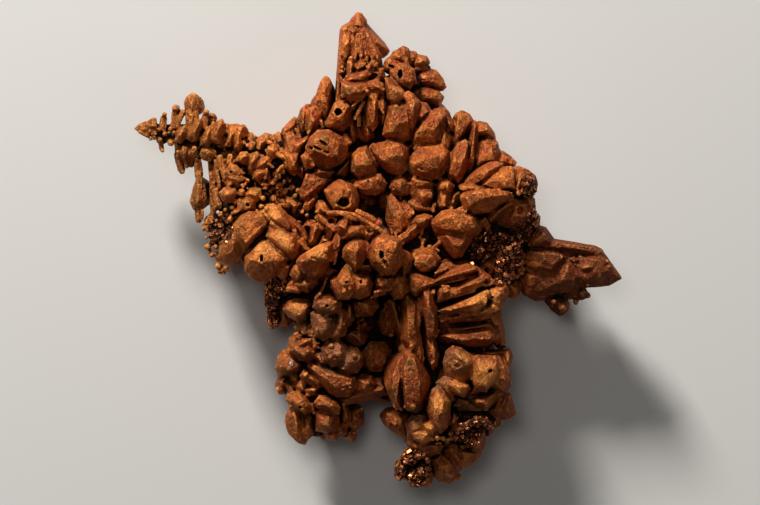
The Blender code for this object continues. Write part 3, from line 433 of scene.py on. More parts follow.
def shadeAndWearTree():
    tree, given, result = nodeTree("shadeAndWearSkin", [
        ("Nugget", "NodeSocketObject", None), ("Reach", "NodeSocketFloat", shadeAndWear["reach"]),
        ("Ray start", "NodeSocketFloat", shadeAndWear["rayStart"]), ("Proud", "NodeSocketFloat", shadeAndWear["proud"]),
        ("Material", "NodeSocketMaterial", None)])
    nugget = addNode(tree, "GeometryNodeObjectInfo",
                     links={"Object": given.outputs["Nugget"]}).outputs["Geometry"]
    place = addNode(tree, "GeometryNodeInputPosition").outputs[0]
    normal = addNode(tree, "GeometryNodeInputNormal").outputs[0]
    reach, rayStart, proudest = [
        addNode(tree, "ShaderNodeMath", {"operation": "MULTIPLY"},
                {0: given.outputs[label], 1: mm}).outputs[0] for label in ("Reach", "Ray start", "Proud")]
    above = addNode(tree, "ShaderNodeVectorMath", {"operation": "SCALE"},
                    {0: normal, "Scale": rayStart}).outputs[0]
    start = addNode(tree, "ShaderNodeVectorMath", {"operation": "ADD"}, {0: place, 1: above}).outputs[0]
    hidden, whole = None, None
    for number in range(shadeAndWear["rays"]):
        way = onBall(number, shadeAndWear["rays"])
        facing = addNode(tree, "ShaderNodeVectorMath", {"operation": "DOT_PRODUCT"},
                         {0: normal, 1: way}).outputs["Value"]
        weight = addNode(tree, "ShaderNodeMath", {"operation": "MAXIMUM"}, {0: facing, 1: 0.0}).outputs[0]
        ray = addNode(tree, "GeometryNodeRaycast", links={
            "Target Geometry": nugget, "Source Position": start, "Ray Direction": way, "Ray Length": reach})
        near = addNode(tree, "ShaderNodeMapRange", links={
            "Value": ray.outputs["Hit Distance"], "From Min": 0.0, "From Max": reach,
            "To Min": 1.0, "To Max": 0.0}).outputs[0]
        blocked = addNode(tree, "ShaderNodeMath", {"operation": "MULTIPLY"},
                          {0: near, 1: ray.outputs["Is Hit"]}).outputs[0]
        part = addNode(tree, "ShaderNodeMath", {"operation": "MULTIPLY"}, {0: blocked, 1: weight}).outputs[0]
        hidden = part if hidden is None else \
            addNode(tree, "ShaderNodeMath", {"operation": "ADD"}, {0: hidden, 1: part}).outputs[0]
        whole = weight if whole is None else \
            addNode(tree, "ShaderNodeMath", {"operation": "ADD"}, {0: whole, 1: weight}).outputs[0]
    shelter = addNode(tree, "ShaderNodeMath", {"operation": "DIVIDE"}, {0: hidden, 1: whole}).outputs[0]
    smooth = addNode(tree, "GeometryNodeBlurAttribute", {"data_type": "FLOAT_VECTOR"},
                     {"Value": place, "Iterations": shadeAndWear["smoothings"]}).outputs[0]
    proud = addNode(tree, "ShaderNodeVectorMath", {"operation": "SUBTRACT"}, {0: place, 1: smooth}).outputs[0]
    bend = addNode(tree, "ShaderNodeVectorMath", {"operation": "DOT_PRODUCT"},
                   {0: proud, 1: normal}).outputs["Value"]
    edge = addNode(tree, "ShaderNodeMath", {"operation": "DIVIDE"}, {0: bend, 1: proudest}).outputs[0]
    kept = addNode(tree, "GeometryNodeStoreNamedAttribute", {"data_type": "FLOAT", "domain": "POINT"},
                   {"Geometry": given.outputs[0], "Name": "shelter", "Value": shelter})
    kept = addNode(tree, "GeometryNodeStoreNamedAttribute", {"data_type": "FLOAT", "domain": "POINT"},
                   {"Geometry": kept.outputs[0], "Name": "edge", "Value": edge})
    realized = addNode(tree, "GeometryNodeRealizeInstances", links={0: kept.outputs[0]})
    dressed = addNode(tree, "GeometryNodeSetMaterial",
                      links={"Geometry": realized.outputs[0], "Material": given.outputs["Material"]})
    tree.links.new(dressed.outputs[0], result.inputs[0])
    return tree


frostedSkin = frostedSkinTree()
shadeAndWearSkin = shadeAndWearTree()
pieces = {}

# The voxels that fuse a piece's crystals, the share of faces that is kept after that, and the size
# that its specks and closed-in bubbles stay under.
fusing = {"voxel": 0.08, "keep": 0.33, "speck": 0.25}


def withoutSpecks(mesh):
    solid = bmesh.new()
    solid.from_mesh(mesh)
    reached, specks = set(), []
    for first in solid.verts:
        if first in reached:
            continue
        shell, front = {first}, [first]
        while front:
            for edge in front.pop().link_edges:
                for corner in edge.verts:
                    if corner not in shell:
                        shell.add(corner)
                        front.append(corner)
        reached |= shell
        spans = [max(c.co[i] for c in shell) - min(c.co[i] for c in shell) for i in range(3)]
        if max(spans) < fusing["speck"] * mm:
            specks += shell
    bmesh.ops.delete(solid, geom=specks, context="VERTS")
    solid.to_mesh(mesh)
    solid.free()


def fusedPiece(name, solids, cutters, voxel, keep, seed):
    made = putObject(name, joinedCrystals(name, solids, cutters))
    fuse = made.modifiers.new("fuse", "REMESH")
    fuse.mode = "VOXEL"
    fuse.voxel_size = voxel * mm
    giveNodes(made, frostedSkin, {"Seed": float(seed)})
    thin = made.modifiers.new("thin", "DECIMATE")
    thin.ratio = keep
    mesh = plainMesh(made, name)
    clearBench()
    withoutSpecks(mesh)
    pieces[name] = mesh
    print(f"{name}: {len(mesh.polygons)} faces")


# The rows of a piece, in millimetres:
# gems: height of the crest, drop from there to the rim, outline, and the crest's corners, each with
#     how far it lies off that height
# rods: root, tip and width
# balls: x, y, top and width
# rubble: x, y, half sizes, top, size and number
# grooves: start, end, width, depth and top
# pits: x, y, half sizes, top and depth
# lift: how far the whole piece is raised
def growPiece(name, rows, seed):
    dice = random.Random(seed)
    style = {**gemStyle, **rows.get("style", {})}
    solids = [gemSolid(*row, style, dice) for row in rows["gems"]]
    solids += [rodSolid(*row, dice) for row in rows["rods"]]
    solids += [ballSolid(*row, dice) for row in rows["balls"]]
    for row in rows["rubble"]:
        solids += rubbleSolids(row, dice)
    cutters = [grooveSolid(*row) for row in rows["grooves"]] + [pitSolid(*row, dice) for row in rows["pits"]]
    for solid in solids + cutters:
        bmesh.ops.translate(solid, vec=(0, 0, rows.get("lift", 0.0)), verts=solid.verts)
    solids = [sliced(solid, (0, 0, floorLevel), (0, 0, -1)) for solid in solids]
    fusedPiece(name, solids, cutters, fusing["voxel"], fusing["keep"], seed)


# The heart of the nugget, with the blunt crystals of its sides and back. A lump has a middle, half
# sizes, and the share of its upper half that is kept. A foot has x, y and width.
heart = {
    "lumps": [
        ((-0.5, 9.0, -0.8), (5.6, 4.2, 4.3), 0.55), ((5.6, 7.3, -0.8), (4.5, 3.4, 4.2), 0.6),
        ((-1.6, 0.2, -0.2), (4.9, 3.3, 5.4), 0.85), ((6.0, 0.6, -0.2), (5.2, 5.2, 5.0), 0.6),
        ((10.4, 2.6, 0.0), (2.5, 4.2, 4.0), 0.85), ((6.8, -5.6, -0.2), (3.0, 4.4, 4.6), 0.75),
        ((6.6, -11.6, -0.2), (4.0, 4.6, 4.6), 0.75), ((5.1, -16.3, 0.8), (2.5, 2.4, 2.2), 1.0),
        ((-3.6, -3.6, 0.2), (4.0, 4.0, 4.6), 0.8), ((-4.7, -9.2, -0.8), (2.5, 3.4, 3.6), 0.8),
        ((-4.8, -13.0, 0.0), (2.4, 2.4, 2.2), 1.0), ((-8.6, 1.6, 0.0), (3.8, 3.4, 4.2), 0.75),
        ((-9.6, 5.8, -0.8), (4.0, 2.6, 2.4), 1.0), ((-1.55, 14.4, 0.9), (1.45, 3.4, 1.5), 1.0),
        ((2.6, 14.2, 0.8), (2.0, 1.8, 1.4), 1.0), ((-13.4, 9.35, 0.1), (2.8, 0.75, 1.0), 1.0),
        ((-16.6, 9.75, 0.0), (2.4, 0.6, 0.8), 1.0), ((14.6, -1.2, 0.0), (3.6, 1.7, 1.9), 0.8),
        ((-12.9, 2.6, 0.8), (1.4, 2.4, 1.4), 1.0), ((1.5, -7.0, -2.2), (4.2, 5.0, 2.6), 1.0),
        ((-5.6, 5.4, -1.0), (3.4, 3.4, 3.6), 0.8), ((1.6, 4.6, -1.2), (4.2, 2.8, 3.6), 0.8),
        ((-7.3, -1.5, -0.8), (2.3, 3.1, 2.8), 1.0), ((-8.0, 8.2, 0.0), (2.6, 1.4, 1.4), 1.0),
        ((3.6, -1.6, -0.6), (3.6, 3.2, 4.2), 0.8), ((2.9, 10.9, -0.4), (2.8, 2.1, 2.6), 0.9),
        ((0.9, -10.1, -0.8), (3.2, 2.4, 2.4), 0.9), ((-10.4, 8.8, 0.2), (2.2, 0.8, 1.1), 1.0),
    ],
    "feet": [(-6.8, 3.4, 3.4), (-2.6, 8.8, 3.2), (6.6, 7.6, 3.4), (9.0, -0.8, 3.0), (7.0, -11.6, 3.4),
             (-4.6, -8.8, 3.4), (-0.6, 0.6, 3.6)],
    "lumpScale": 0.97, "lumpCorners": 60, "voxel": 0.19, "keep": 0.5,
    # blocks stand on the sides and the back, all below "blockTop" of a lump's height
    "spacing": 2.1, "width": (1.7, 2.9), "root": 1.2, "stand": (0.4, 1.3), "tilt": 0.3, "sideStand": 0.25,
    "blockTop": 0.3, "slimmest": 0.6, "blockSides": 5, "blockTip": (0.3, 0.6), "blockRough": (0.85, 1.15),
    "straight": 0.3, "chips": 3, "chipShare": (0.03, 0.12),
    "footHeight": 2.0, "footReach": 2.6, "footLean": 0.12,
    # pebbles fill the front, all above "fillBottom"
    "fill": (0.8, 1.7), "fillSpacing": 1.3, "fillBottom": 0.2, "fillCorners": 8,
    # its painted shade starts where the shelter does, near black in the gaps, and it keeps little of the
    # brighter edges, which are partly wear and partly painted highlight
    "gapShade": 0.75, "gapFrom": 0.06, "gapSteep": 8, "upSteep": 1.6, "sheenAndWear": 0.15,
}


def insideHeart(place, besides):
    for lump in heart["lumps"]:
        middle, half, kept = lump
        half = (half[0], half[1], half[2] * kept if place[2] > middle[2] else half[2])
        if lump is not besides and sum(((place[i] - middle[i]) / half[i]) ** 2 for i in range(3)) < 1:
            return True
    return False


def pointsOn(lump, spacing):
    middle, half, kept = lump
    area = 4 * math.pi * (half[0] * half[1] + half[0] * half[2] + half[1] * half[2]) / 3
    count = int(area / spacing**2)
    for number in range(count):
        out = onBall(number, count)
        height = out[2]
        place = Vector([middle[i] + half[i] * out[i] for i in range(3)])
        if height > 0:
            place.z = middle[2] + half[2] * kept * height
        if not insideHeart(place, lump):
            yield height, place, Vector([out[i] / half[i] for i in range(3)]).normalized()


def standingBlock(place, faces, stand, width, dice):
    side = faces.orthogonal().normalized()
    over = faces.cross(side)
    turn = dice.uniform(0, math.tau)
    tip = dice.uniform(*heart["blockTip"])
    points = []
    for level, scale in ((-heart["root"], 1.0), (stand * heart["straight"], 1.0), (stand, tip)):
        for number in range(heart["blockSides"]):
            angle = turn + math.tau * number / heart["blockSides"]
            radius = width / 2 * scale * dice.uniform(*heart["blockRough"])
            spot = place + faces * level + side * radius * math.cos(angle)
            points.append(spot + over * radius * math.sin(angle))
    return chipped(hullOf(points), heart["chips"], heart["chipShare"], dice)


def growBack(seed):
    dice = random.Random(seed)
    solids = []
    for middle, half, kept in heart["lumps"]:
        lump = lumpSolid(middle, [h * heart["lumpScale"] for h in half], heart["lumpCorners"], dice)
        for corner in lump.verts:
            if corner.co.z > middle[2]:
                corner.co.z = middle[2] + (corner.co.z - middle[2]) * kept
        solids.append(lump)
    for lump in heart["lumps"]:
        slim = min(1.0, min(lump[1]) / 2)
        for height, place, faces in pointsOn(lump, heart["spacing"]):
            if height < heart["blockTop"]:
                lean = Vector([dice.uniform(-heart["tilt"], heart["tilt"]) for _ in range(3)])
                stand = heart["sideStand"] + max(0.0, -faces.z) * dice.uniform(*heart["stand"])
                width = dice.uniform(*heart["width"]) * max(heart["slimmest"], slim)
                solids.append(standingBlock(place, (faces + lean).normalized(), stand, width, dice))
        for height, place, faces in pointsOn(lump, heart["fillSpacing"]):
            if height > heart["fillBottom"]:
                half = [dice.uniform(*heart["fill"]) * slim / 2 for _ in range(3)]
                solids.append(lumpSolid(place, half, heart["fillCorners"], dice))
    for x, y, width in heart["feet"]:
        leanX, leanY = [dice.uniform(-heart["footLean"], heart["footLean"]) for _ in range(2)]
        place = Vector((x, y, floorLevel + heart["footHeight"]))
        solids.append(standingBlock(place, Vector((leanX, leanY, -1)).normalized(),
                                    heart["footReach"], width, dice))
    solids = [sliced(solid, (0, 0, floorLevel), (0, 0, -1)) for solid in solids]
    fusedPiece("back", solids, [], heart["voxel"], heart["keep"], seed)


growBack(11)


# A thin spear of metal, with a comb of small crystals along both edges.
westArm = {
    "style": {"mostDepth": 2.0},
    "gems": [
        (0.9, 0.5,
         [(-20.4, 10.25), (-19.9, 10.6), (-19.2, 10.8), (-18.3, 10.45), (-18.2, 9.85), (-19.0, 9.7),
          (-19.9, 10.0)], [(-20.1, 10.25, -0.2), (-18.5, 10.2)]),
        (0.9, 0.6,
         [(-18.6, 10.5), (-17.0, 10.6), (-14.8, 10.4), (-12.0, 10.1), (-9.6, 9.4), (-9.6, 8.5),
          (-12.0, 8.6), (-15.0, 8.8), (-17.2, 9.2), (-18.6, 9.8)], [(-18.0, 10.1), (-10.0, 9.0)]),
        (1.2, 0.7,
         [(-16.2, 12.3), (-16.0, 12.8), (-15.55, 13.15), (-15.0, 12.7), (-14.85, 12.1), (-15.1, 11.6),
          (-15.5, 11.4), (-16.1, 11.6)], [(-15.65, 12.9, -0.15), (-15.6, 11.9)]),
        (2.0, 0.6,
         [(-16.95, 9.25), (-16.75, 9.9), (-16.3, 10.35), (-16.05, 10.2), (-16.15, 9.6), (-16.5, 9.15)],
         [(-16.7, 9.5), (-16.35, 10.1)]),
        (2.3, 0.7,
         [(-15.9, 9.5), (-15.6, 10.1), (-15.3, 10.6), (-14.95, 10.95), (-14.75, 10.6), (-15.05, 10.0),
          (-15.15, 9.4), (-15.6, 9.25)], [(-15.6, 9.6), (-15.0, 10.7, -0.1)]),
        (2.3, 0.7,
         [(-14.85, 8.95), (-14.75, 9.5), (-14.4, 10.0), (-14.1, 10.4), (-13.95, 9.9), (-14.05, 9.3),
          (-14.3, 8.9)], [(-14.4, 9.2), (-14.15, 10.1, -0.1)]),
        (2.5, 0.8,
         [(-13.95, 9.3), (-13.75, 10.1), (-13.4, 10.8), (-13.1, 10.9), (-12.95, 10.5), (-13.1, 9.8),
          (-13.3, 9.1), (-13.7, 9.1)], [(-13.6, 9.6), (-13.25, 10.6, -0.1)]),
        (2.2, 0.6,
         [(-12.8, 8.85), (-12.55, 9.4), (-12.35, 10.2), (-12.05, 10.25), (-12.1, 9.6), (-12.35, 8.9)],
         [(-12.5, 9.2), (-12.2, 10.0)]),
        (2.3, 0.7,
         [(-12.0, 8.55), (-11.9, 9.5), (-11.8, 10.2), (-11.4, 10.45), (-11.15, 10.3), (-11.35, 9.4),
          (-11.5, 8.35)], [(-11.8, 8.8), (-11.6, 10.1)]),
        (1.4, 0.8, [(-17.0, 9.2), (-15.0, 9.1), (-14.8, 7.9), (-15.6, 7.4), (-16.9, 7.5)],
         [(-16.4, 8.0), (-15.2, 8.1)]),
        (1.9, 0.5,
         [(-14.8, 8.1), (-14.65, 8.5), (-14.2, 8.65), (-13.75, 8.3), (-13.7, 7.85), (-14.2, 7.6),
          (-14.65, 7.75)], [(-14.4, 8.35), (-14.2, 8.2)]),
        (1.8, 0.5, [(-16.55, 8.2), (-16.35, 8.65), (-16.1, 8.55), (-16.05, 8.1), (-16.25, 7.85)],
         [(-16.35, 8.4), (-16.2, 8.2)]),
    ],
    "rods": [
        ((-18.85, 10.4, 1.1), (-18.85, 11.2, 0.9), 0.61),
        ((-18.15, 10.1, 1.2), (-17.97, 11.4, 0.9), 0.74), ((-17.2, 10.2, 1.4), (-17.05, 11.9, 1.1), 0.57),
        ((-16.8, 10.2, 1.4), (-16.75, 10.9, 1.3), 0.38), ((-16.75, 10.8, 1.4), (-16.35, 11.9, 1.2), 0.57),
        ((-16.0, 10.6, 1.2), (-15.98, 11.9, 1.0), 0.43), ((-15.7, 10.1, 1.4), (-15.7, 11.8, 1.2), 0.54),
        ((-15.25, 10.6, 1.3), (-15.3, 11.9, 1.1), 0.49), ((-14.65, 10.2, 1.6), (-14.4, 11.7, 1.3), 0.61),
        ((-14.1, 10.4, 1.0), (-13.9, 11.5, 0.6), 0.81), ((-13.85, 10.2, 1.8), (-13.75, 10.8, 1.6), 0.47),
        ((-12.75, 9.8, 1.7), (-12.75, 10.65, 1.4), 0.68), ((-12.3, 10.0, 1.6), (-12.2, 10.65, 1.3), 0.54),
        ((-11.9, 9.9, 1.6), (-11.85, 10.65, 1.3), 0.61), ((-11.2, 9.6, 1.6), (-11.1, 10.3, 1.3), 0.61),
        ((-10.75, 9.2, 1.6), (-10.65, 9.9, 1.3), 0.57), ((-20.1, 10.0, 0.8), (-19.2, 9.55, 0.7), 0.34),
        ((-18.35, 9.5, 0.9), (-18.15, 8.3, 0.7), 0.49), ((-16.85, 8.1, 1.0), (-16.4, 6.45, 0.6), 0.68),
        ((-16.2, 7.6, 1.1), (-16.0, 6.9, 0.9), 0.41), ((-15.7, 7.6, 0.8), (-15.75, 7.0, 0.6), 0.54),
        ((-10.65, 8.4, 2.0), (-10.5, 9.2, 1.9), 0.61), ((-19.4, 10.4, 0.8), (-19.3, 10.95, 0.7), 0.41),
        ((-13.3, 9.5, 1.6), (-12.8, 8.9, 1.2), 0.94),
    ],
    "balls": [
        (-17.95, 11.45, 1.2, 0.5), (-17.0, 12.0, 1.5, 0.78), (-14.4, 11.6, 1.6, 0.62),
        (-13.95, 11.35, 0.9, 0.6), (-18.85, 9.5, 1.0, 0.5), (-19.15, 9.35, 0.8, 0.3),
        (-18.4, 10.15, 1.3, 0.36), (-17.42, 10.2, 1.6, 0.45), (-18.3, 9.3, 1.2, 0.42),
        (-18.1, 8.4, 1.0, 0.42), (-17.4, 9.05, 1.6, 0.66), (-16.78, 8.3, 1.4, 0.4),
        (-15.4, 8.55, 1.9, 0.5), (-11.3, 9.05, 1.9, 0.55), (-10.9, 8.8, 2.0, 0.45),
        (-16.4, 6.6, 0.8, 0.42), (-17.9, 9.8, 1.3, 0.5), (-17.1, 9.9, 1.5, 0.45),
    ],
    "rubble": [(-18.2, 10.0, 1.1, 0.35, 1.1, 0.3, 9), (-12.6, 8.6, 2.6, 0.4, 1.2, 0.35, 12)],
    "grooves": [
        ((-15.2, 12.9), (-15.5, 11.7), 0.14, 0.2, 1.3), ((-13.5, 9.6), (-13.2, 10.6), 0.1, 0.15, 2.5),
    ],
    "pits": [(-15.7, 12.7, 0.14, 0.14, 1.1, 0.3), (-11.35, 9.35, 0.2, 0.2, 2.0, 0.5)],
}
growPiece("westArm", westArm, 21)


# Stalks that hang from the arm, and the crumbled bank beside them.
westBank = {
    "gems": [
        (1.3, 0.6,
         [(-15.1, 6.2), (-15.45, 5.2), (-15.7, 4.2), (-15.5, 3.65), (-15.1, 3.45), (-14.7, 3.7),
          (-14.5, 4.5), (-14.65, 5.5)], [(-15.1, 5.5, -0.2), (-15.15, 4.2)]),
        (3.4, 0.5,
         [(-12.75, 6.6), (-12.3, 7.1), (-11.9, 6.95), (-11.3, 6.5), (-11.9, 6.15), (-12.5, 6.3)],
         [(-12.3, 6.7), (-11.7, 6.5, 0.1)]),
        (3.5, 0.4, [(-12.4, 6.1), (-12.0, 6.3), (-11.1, 6.05), (-11.9, 5.6)],
         [(-12.1, 6.05), (-11.6, 6.0)]),
        (3.9, 0.6,
         [(-13.15, 4.8), (-12.8, 5.15), (-12.1, 5.05), (-11.85, 4.7), (-12.4, 4.15), (-12.9, 4.25)],
         [(-12.8, 4.9), (-12.2, 4.85), (-12.5, 4.4, -0.1)]),
        (3.8, 0.6,
         [(-11.05, 4.5), (-10.7, 5.05), (-10.0, 5.0), (-9.85, 4.5), (-10.3, 4.15), (-10.8, 4.25)],
         [(-10.7, 4.8), (-10.2, 4.7)]),
        (4.0, 0.7, [(-11.7, 3.4), (-11.4, 4.2), (-10.9, 4.4), (-10.4, 4.1), (-10.4, 3.45), (-10.9, 3.1)],
         [(-11.2, 4.0), (-10.8, 4.0), (-10.8, 3.5)]),
        (2.9, 0.6, [(-12.0, 7.45), (-11.45, 8.1), (-11.05, 8.15), (-10.8, 7.7), (-11.3, 7.35)],
         [(-11.5, 7.7), (-11.1, 7.95)]),
        (2.9, 0.7,
         [(-10.85, 6.9), (-10.75, 7.9), (-10.2, 8.15), (-9.9, 7.95), (-10.3, 7.2), (-10.6, 6.55)],
         [(-10.6, 7.3), (-10.2, 7.9)]),
        (3.1, 0.6, [(-10.15, 7.0), (-9.75, 7.6), (-9.3, 7.8), (-9.05, 7.4), (-9.5, 6.95), (-9.85, 6.85)],
         [(-9.8, 7.2), (-9.35, 7.55)]),
        (3.0, 0.6, [(-10.4, 6.1), (-10.25, 6.6), (-9.6, 6.9), (-9.25, 6.6), (-9.5, 6.25), (-10.1, 5.95)],
         [(-10.1, 6.4), (-9.6, 6.6)]),
        (3.4, 0.7, [(-9.2, 8.1), (-9.1, 8.6), (-8.7, 8.75), (-8.3, 8.4), (-8.4, 8.0), (-8.8, 7.8)],
         [(-9.0, 8.35), (-8.75, 8.35)]),
        (2.3, 0.9, [(-10.3, 8.4), (-10.1, 9.2), (-9.5, 9.75), (-9.0, 9.6), (-8.9, 8.9), (-9.6, 8.3)],
         [(-9.9, 8.9), (-9.3, 9.4)]),
        (0.4, 0.5,
         [(-14.0, 8.9), (-12.4, 8.9), (-10.0, 8.7), (-8.8, 8.4), (-9.4, 7.4), (-11.6, 7.0), (-13.0, 7.2),
          (-14.0, 7.6)], [(-13.4, 8.3), (-10.4, 8.2), (-11.6, 7.6)]),
        (2.0, 1.2, [(-13.8, 7.9), (-12.4, 7.6), (-12.6, 5.0), (-12.9, 3.0), (-14.0, 2.4), (-13.9, 5.0)],
         [(-13.4, 7.4), (-13.4, 3.2)]),
    ],
    "rods": [
        ((-15.3, 7.9, 1.0), (-15.15, 5.9, 0.9), 0.48), ((-14.95, 7.6, 0.9), (-14.75, 6.2, 0.8), 0.28),
        ((-15.1, 6.6, 1.1), (-15.0, 5.0, 1.2), 0.6), ((-15.15, 3.9, 0.9), (-15.05, 2.3, 0.8), 0.58),
        ((-14.75, 3.4, 1.0), (-14.75, 2.5, 1.0), 0.25), ((-14.2, 7.7, 0.9), (-14.05, 6.1, 0.9), 0.34),
        ((-14.0, 6.5, 1.3), (-13.85, 4.8, 1.4), 0.5), ((-14.0, 5.2, 1.0), (-13.9, 3.1, 1.0), 0.42),
        ((-13.65, 5.1, 2.7), (-13.2, 3.5, 2.9), 0.58), ((-13.5, 6.6, 2.4), (-13.2, 5.1, 2.6), 0.4),
        ((-13.1, 6.9, 2.8), (-12.75, 5.9, 3.0), 0.5), ((-13.3, 7.9, 2.2), (-12.95, 6.4, 2.5), 0.6),
        ((-13.6, 7.6, 1.9), (-13.5, 6.3, 2.0), 0.42), ((-12.45, 7.2, 2.6), (-12.35, 8.1, 2.4), 0.58),
        ((-12.9, 6.0, 2.8), (-12.3, 5.4, 2.9), 0.6), ((-12.6, 7.3, 2.4), (-11.9, 6.8, 2.8), 0.5),
        ((-12.2, 3.05, 3.4), (-11.4, 3.5, 3.7), 0.36), ((-11.4, 4.4, 3.3), (-11.9, 3.8, 3.2), 0.5),
        ((-9.45, 6.0, 2.8), (-9.3, 6.9, 2.9), 0.28), ((-9.25, 7.3, 2.9), (-8.7, 6.9, 2.8), 0.3),
        ((-8.55, 5.9, 2.6), (-8.35, 6.75, 3.0), 0.32), ((-8.45, 6.6, 3.0), (-7.95, 7.15, 3.1), 0.32),
        ((-8.0, 7.15, 3.1), (-7.85, 6.35, 2.8), 0.28), ((-8.95, 8.3, 3.0), (-7.7, 7.7, 3.3), 0.45),
        ((-8.2, 9.1, 2.0), (-8.4, 10.0, 1.7), 0.42), ((-9.2, 9.1, 2.3), (-8.2, 8.6, 2.6), 0.4),
        ((-10.0, 8.5, 2.4), (-9.7, 9.3, 2.2), 0.35), ((-8.6, 9.0, 2.0), (-8.9, 9.8, 1.7), 0.35),
        ((-13.6, -0.2, 1.8), (-13.1, -1.4, 1.6), 0.5),
    ],
    "balls": [
        (-11.4, 4.85, 3.8, 0.72), (-11.3, 5.4, 3.6, 0.5), (-10.9, 5.85, 3.1, 0.42),
        (-10.95, 5.2, 3.4, 0.25), (-9.6, 4.35, 3.9, 0.56), (-9.72, 3.65, 4.2, 0.52),
        (-12.8, 3.4, 3.3, 0.42), (-12.35, 2.6, 3.7, 0.6), (-13.4, 3.2, 2.9, 0.4), (-11.9, 3.15, 3.6, 0.3),
        (-14.3, 0.35, 2.1, 0.72), (-13.95, -0.35, 1.9, 0.6), (-13.6, 0.3, 2.2, 0.55),
        (-13.4, -1.3, 1.9, 0.66), (-12.75, -1.55, 1.8, 0.62), (-13.1, -1.9, 1.6, 0.38),
        (-12.4, 5.5, 3.3, 0.5), (-11.9, 4.1, 3.4, 0.6), (-12.2, 3.6, 3.3, 0.5), (-13.0, 2.7, 3.0, 0.5),
        (-10.1, 3.3, 4.2, 0.4), (-14.5, 2.2, 1.8, 0.6), (-14.1, 2.6, 2.0, 0.5),
    ],
    "rubble": [
        (-14.0, 1.9, 0.8, 0.8, 2.3, 0.45, 16), (-13.9, 1.2, 0.6, 0.5, 2.3, 0.42, 10),
        (-12.9, 1.7, 0.7, 0.5, 3.1, 0.4, 8), (-12.6, 3.0, 0.9, 0.8, 3.2, 0.38, 12),
        (-11.6, 5.3, 1.4, 0.5, 3.2, 0.36, 10), (-9.0, 5.3, 2.0, 0.7, 1.8, 0.5, 14),
        (-9.6, 7.4, 1.2, 1.0, 2.4, 0.4, 12), (-13.9, 0.2, 0.5, 0.6, 1.9, 0.4, 6),
        (-13.1, -1.5, 0.45, 0.4, 1.7, 0.34, 6), (-11.2, 6.9, 1.6, 0.5, 2.3, 0.45, 14),
        (-8.7, 6.2, 1.0, 0.9, 2.4, 0.5, 12), (-9.8, 5.5, 1.2, 0.4, 2.6, 0.42, 10),
        (-13.2, 5.6, 0.6, 1.2, 2.2, 0.4, 12),
    ],
    "grooves": [
        ((-13.2, 7.6), (-12.95, 6.6), 0.12, 0.2, 2.4), ((-10.0, 7.2), (-9.4, 7.5), 0.12, 0.25, 3.1),
        ((-10.2, 6.3), (-9.6, 6.6), 0.1, 0.2, 3.0), ((-12.9, 4.5), (-12.2, 4.9), 0.1, 0.1, 3.9),
        ((-15.1, 5.9), (-15.1, 4.9), 0.1, 0.15, 1.3),
    ],
    "pits": [
        (-12.3, 6.55, 0.25, 0.18, 3.4, 0.3), (-10.9, 3.8, 0.22, 0.2, 4.0, 0.3),
        (-15.2, 4.5, 0.1, 0.1, 1.3, 0.2),
    ],
}
growPiece("westBank", westBank, 22)


